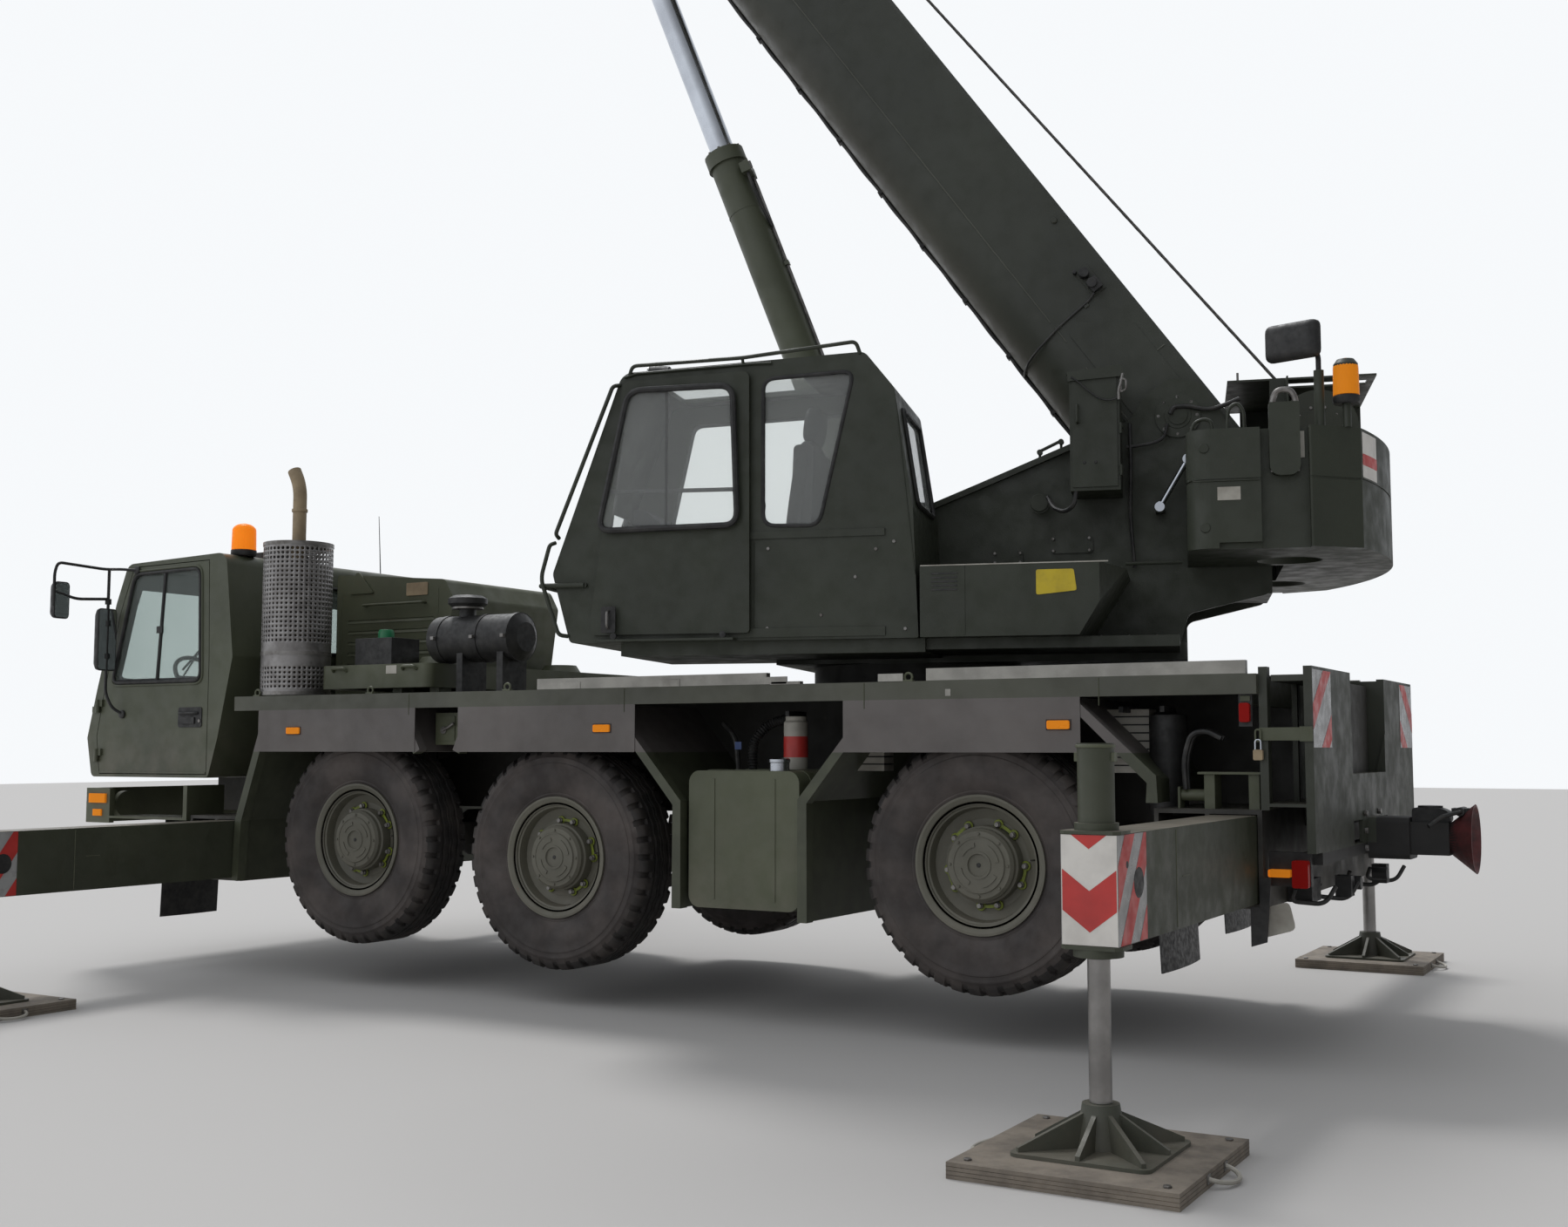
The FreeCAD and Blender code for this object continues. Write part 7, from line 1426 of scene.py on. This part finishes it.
# %% Rear panels, strap and lamps
REAR_FACE, PANEL_OUT, PANEL_TOP = 2.690, 1.333, 1.925
stripes = slanted((0.23, 0.40, 0.69, 0.86), 1.4, 0.370, 0.398)
red, white = [], []
for side in SIDES:
    white.append(block(REAR_FACE, REAR_FACE + FILM, *flank(side, PANEL_OUT, PANEL_OUT - 0.398), PANEL_TOP - 0.370,
                       PANEL_TOP))
    red.append(film(stripes, lambda g: points(REAR_FACE + 0.0023, side * (PANEL_OUT - g[:, 1]), PANEL_TOP - g[:, 0])))
strap = [block(2.440, 2.690, -1.3435, -1.3355, 1.588, 1.650), block(2.630, 2.690, -1.346, -1.343, 1.584, 1.654)]
lock = [prism(softened(((2.415, 1.495), (2.460, 1.495), (2.460, 1.545), (2.415, 1.545)), 0.008), -1.366, -1.344)]
shackle = [hose([(2.424, -1.355, 1.545), (2.424, -1.355, 1.592), (2.451, -1.355, 1.592), (2.451, -1.355, 1.545)],
                0.0045, 0.016)]
hasp = [frame_bar(((2.425, 1.585), (2.450, 1.585), (2.450, 1.640), (2.425, 1.640)), -1.352, "y", 0.005, 0.012)]
side_lamp = [prism(softened(((2.354, 1.676), (2.403, 1.676), (2.403, 1.768), (2.354, 1.768)), 0.012), -1.372, -1.342)]
side_base = [block(2.346, 2.411, -1.344, -1.336, 1.655, 1.810)]
side_label = [block(2.356, 2.402, -1.350, -1.343, 1.776, 1.802)]
amber, tail_red, holders = [], [], []
for side in SIDES:
    y0, y1 = sorted((side * 1.318, side * 1.270))
    amber.append(prism(softened(((2.460, 0.944), (2.563, 0.944), (2.563, 0.980), (2.460, 0.980)), 0.008), y0, y1))
    tail_red.append(prism(softened(((2.571, 0.896), (2.646, 0.896), (2.646, 1.026), (2.571, 1.026)), 0.012), y0, y1))
    holders.append(block(2.455, 2.650, *flank(side, 1.272, 1.225), 0.900, 1.060))
    holders.append(block(2.480, 2.500, *flank(side, 1.262, 1.230), 0.930, 1.062))
pale_sheet = prism(softened(((2.445, 0.800), (2.550, 0.832), (2.580, 0.700), (2.412, 0.650)), 0.03), -1.296, -1.290)
back_flap = prism(((2.424, 0.940), (2.480, 0.940), (2.455, 0.640), (2.380, 0.615), (2.380, 0.800), (2.424, 0.806)),
                  -1.340, -1.332)
piece("rear_markings", "carrier",
      {SHADED_WHITE_FILM: white, RED: red, PAINT_CARRIER: strap + hasp + side_label, TAN: lock, CHROME: shackle,
       RED_LENS: side_lamp + tail_red, AMBER: amber, TRIM: holders + side_base + [back_flap], PALE: [pale_sheet]},
      bevel=0.0015, angle=30)
print("stripes on two panels, lamps and strap")

# %% [markdown]
# Hoses loop from the deck to the rear outrigger box, and valves hang below it. The trailer coupling's mouth is a cone
# turned about its own axis. It is lined with a thin second cone, so that the red primer inside it is a clean surface.

# %% Outrigger box fittings, hoses and coupling
COUPLING = (3.210, 0.0, 1.080)
posts, tubes, loops = [], [], []
for side in SIDES:
    y = side * 1.200
    posts += [block(x, x + 0.052, *sorted((y - 0.06, y + 0.06)), 1.236, 1.433) for x in (2.148, 2.364)]
    posts += [block(2.120, 2.440, *sorted((y - 0.075, y + 0.075)), 1.425, 1.437)]
    tubes += [bar(points([2.016, 2.150], y, [1.322, 1.322]), 0.029, 24), disc(0.036, 2.008, 2.020, (0, y, 1.322), "x"),
              block(2.010, 2.022, *sorted((y - 0.04, y + 0.04)), 1.236, 1.362)]
    loops += [hose([(2.048, y + k, 1.350), (2.040, y + k, 1.50), (2.078, y + k, 1.622), (2.150, y + k, 1.640),
                    (2.230, y + k, 1.600)], 0.014, 0.10) for k in (-0.03, 0.02)]
under = [hose([(x, y, 0.865), (x - 0.03, y + 0.03, 0.800), (x + 0.12, y + 0.10, 0.785), (x + 0.16, y + 0.16, 0.870)],
              0.012, 0.05) for x, y in ((2.50, -0.95), (2.54, -0.60), (2.50, 0.35), (2.54, 0.72))]
valves = [block(2.44, 2.56, -0.86, -0.66, 0.790, 0.905), block(2.60, 2.68, -0.52, -0.44, 0.800, 0.905),
          block(2.60, 2.68, 0.44, 0.52, 0.800, 0.905)]
valves += [disc(0.035, 2.62, 2.70, (0, y, 0.86), "x", 20) for y in (-0.36, 0.36)]
mouth = [lathe([(0.0765, -0.128), (0.1815, 0.001), (0.1700, 0.001), (0.0640, -0.1175)], COUPLING, "x", 44)]
jaw = [prism(softened(((2.905, 1.150), (3.095, 1.165), (3.090, 1.222), (3.040, 1.242), (2.905, 1.240)), 0.02), -0.06,
             0.06),
       block(3.100, 3.190, -0.050, 0.050, 1.205, 1.240), disc(0.024, -0.075, 0.075, (3.145, 0, 1.222), "y", 20)]
lever = hose([(3.145, -0.070, 1.222), (3.145, -0.110, 1.222), (3.070, -0.160, 1.200), (3.010, -0.215, 1.150)], 0.012,
             0.03)
plate_bolts = copies(disc(0.017, 2.690, 2.708, (0, 0, 0), "x", 6),
                     [(0, y, z) for y in (-0.19, 0.19) for z in (1.03, 1.12, 1.21)])
piece("rear_fittings", "carrier",
      {PAINT_CARRIER: posts + tubes, HOSE: loops + under + [lever], TRIM: valves + jaw,
       STEEL: [plate_bolts], DARK_RED: mouth}, bevel=0.002)
print("coupling mouth lined, hoses and valves hung")

# %% [markdown]
# The hook block hangs from two pairs of falls. Each fall in the frame is a plain rod, so a laid rope is drawn round
# it. A spring catch closes the hook's mouth, and the cheeks carry bolts and a pin cap.

# %% Hook block
hook_x, hook_z = boom_point(PINS_U, PINS_W[1])
low = hook_z - 1.650
reach = 0.175 + 0.009
falls = [laid_rope((hook_x + dx, y, low + 0.28), (hook_x + dx, y, hook_z - 0.02), 0.0102) for dx in (-reach, reach)
         for y in (-0.077, 0.063)]
cheek_bolts = [disc(0.014, *flank(s, 0.110, 0.122), (hook_x + dx, 0, low + dz), sides=6) for s in SIDES
               for dx, dz in ((-0.14, 0.10), (0.14, 0.10), (-0.10, 0.38), (0.10, 0.38))]
catch = hose([(hook_x + 0.055, 0, low - 0.165), (hook_x + 0.01, 0, low - 0.150), (hook_x - 0.105, 0, low - 0.172)],
             0.010, 0.03)
catch_pin = disc(0.014, -0.045, 0.045, (hook_x + 0.055, 0, low - 0.165), sides=14)
blank_plates = [block(hook_x - 0.06, hook_x + 0.06, *flank(s, 0.110, 0.1125), low + 0.17, low + 0.23)
                for s in SIDES]
collar = lathe([(0.041, low - 0.130), (0.052, low - 0.130), (0.052, low - 0.090), (0.041, low - 0.085)],
               (hook_x, 0, 0), "z", 28)
piece("hook_fittings", "hook_block",
      {CABLE: falls, STEEL: cheek_bolts + [catch, catch_pin], TRIM: [collar], PALE: blank_plates}, on_upper,
      bevel=0.0015)
print("hook block with", len(falls), "falls")

# %% [markdown]
# The loaded pieces keep their shape. Each gets the finish of what it is on the real crane; some of these finishes also
# carry painted shade.

# %% Finishes of the loaded pieces
DECK_PAINT = drab_paint("paint_deck", (0.072, 0.074, 0.055), 0.52, 0.10, 0.3, 1.5,
                        beyond=(((2, 1.909, 1),), (0.33, 0.32, 0.29), 0.42, 0.6))
JACK_PAINT = drab_paint("paint_jack", (0.058, 0.062, 0.046), 0.5, 0.15, 0.0, 0.3,
                        beyond=(((2, 0.236, 1),), (0.30, 0.29, 0.28), 0.30, 0.9))
# The rear rack's dark olive is partly painted shade. Under a height of 1.056 m its near-black is painted shade in the
# recess under the rear panels; past x = 4.215 the black is the parts' own.
REAR_PAINT_AND_SHADE = drab_paint("paint_rear", (0.034, 0.038, 0.026), 0.52, 0.05,
                        beyond=(((0, 4.215, 1), (2, 1.056, -1)), (0.022, 0.021, 0.020), 0.6, 0.0))
HOOK_PAINT = drab_paint("paint_hook", (0.050, 0.053, 0.041), 0.5, 0.12, settled=0.2,
                        beyond=(((2, 8.360, 1),), (0.060, 0.058, 0.054), 0.5, 0.5))
PREFIX_FINISH = (("tyre_", TYRE_WALL), ("rim_", PAINT_HUB), ("knuckle_", PAINT_UNDER), ("beam_", PAINT_BEAM),
                 ("jack_", JACK_PAINT), ("mat_", MAT_WOOD), ("cab_door", PAINT_CAB), ("boom", PAINT_BOOM_WITH_SHADE),
                 ("cab_inside", TRIM), ("crane_cab_inside", SEAT))
NODE_FINISH = {"chassis_frame": PAINT_UNDER, "axles": PAINT_UNDER, "deck": DECK_PAINT, "carrier_cab": PAINT_CAB,
               "hood": PAINT_CARRIER, "exhaust": SHEET, "air_cleaner": TRIM, "deck_ballast": PAINT_CARRIER,
               "tanks": PAINT_CARRIER, "rear_rack": REAR_PAINT_AND_SHADE, "front_bumper": PAINT_CARRIER,
               "head_sheaves": STEEL, "hook_block": HOOK_PAINT, "mudguards": PAINT_GUARD, "luff_rod": CHROME,
               "luff_barrel": PAINT_CAB}


def finish_of(name):
    """The finish named for a piece or for the start of its name, and otherwise that of the upper works."""
    for start, material in PREFIX_FINISH:
        if name.startswith(start):
            return material
    return NODE_FINISH.get(name, PAINT_UPPER_WITH_SHADE)


for name, node in nodes.items():
    for place_in_list in node.material_slots:
        place_in_list.material = finish_of(name)

# %% [markdown]
# The camera stands where the photographer stood, on the crane's left behind the rear outrigger, at eye height.
# The light is soft: a pale sky all round and one large lamp high on the left. The floor is a plain pale sheet.

# %% Camera, light and floor
EYE = (5.899, -9.213, 1.550)
TURN_LEFT, LOOK_UP = 30.297, 4.730
camera_data = bpy.data.cameras.new("camera")
camera_data.lens, camera_data.sensor_width = 37.476, 36.0
camera_data.clip_end = 500
camera = bpy.data.objects.new("camera", camera_data)
camera.location = EYE
camera.rotation_euler = (math.radians(90 + LOOK_UP), 0, math.radians(TURN_LEFT))
bpy.context.collection.objects.link(camera)
bpy.context.scene.camera = camera

sky = bpy.data.worlds.new("sky")
bpy.context.scene.world = sky
sky.use_nodes = True
tree = sky.node_tree
plain = tree.nodes["Background"]
plain.inputs["Color"].default_value = (0.93, 0.96, 1.0, 1)
where = tree.nodes.new("ShaderNodeSeparateXYZ")
tree.links.new(tree.nodes.new("ShaderNodeTexCoord").outputs["Generated"], where.inputs[0])
dim = tree.nodes.new("ShaderNodeMapRange")
for socket, value in (("From Min", -0.2), ("From Max", 0.8), ("To Min", 0.95), ("To Max", 0.22)):
    dim.inputs[socket].default_value = value
tree.links.new(where.outputs[0], dim.inputs["Value"])
tree.links.new(dim.outputs[0], plain.inputs["Strength"])
seen = tree.nodes.new("ShaderNodeBackground")
seen.inputs["Color"].default_value = (0.93, 0.95, 0.97, 1)
path = tree.nodes.new("ShaderNodeLightPath")
any_sight = tree.nodes.new("ShaderNodeMath")
any_sight.operation = "MAXIMUM"
tree.links.new(path.outputs["Is Camera Ray"], any_sight.inputs[0])
tree.links.new(path.outputs["Is Transmission Ray"], any_sight.inputs[1])
either = tree.nodes.new("ShaderNodeMixShader")
tree.links.new(any_sight.outputs[0], either.inputs[0])
tree.links.new(plain.outputs[0], either.inputs[1])
tree.links.new(seen.outputs[0], either.inputs[2])
tree.links.new(either.outputs[0], tree.nodes["World Output"].inputs[0])

sun_data = bpy.data.lights.new("soft_sun", "SUN")
sun_data.energy, sun_data.angle = 1.5, math.radians(14)
sun = bpy.data.objects.new("soft_sun", sun_data)
sun.rotation_euler = (math.radians(-17), math.radians(-27), 0)
bpy.context.collection.objects.link(sun)

floor_mesh = bpy.data.meshes.new("floor")
reach = 60.0
floor_mesh.from_pydata([(-reach, -reach, 0), (reach, -reach, 0), (reach, reach, 0), (-reach, reach, 0)], [],
                       [(0, 1, 2, 3)])
floor_finish = Finish("pale_floor", (0.50, 0.485, 0.47), 0.9)
floor_mesh.materials.append(floor_finish.material)
floor = bpy.data.objects.new("floor", floor_mesh)
bpy.context.collection.objects.link(floor)

# %% [markdown]
# The box of the finished model must stay within a few percent of the construction's box.

# %% View transform
bpy.context.scene.view_settings.view_transform = "Standard"
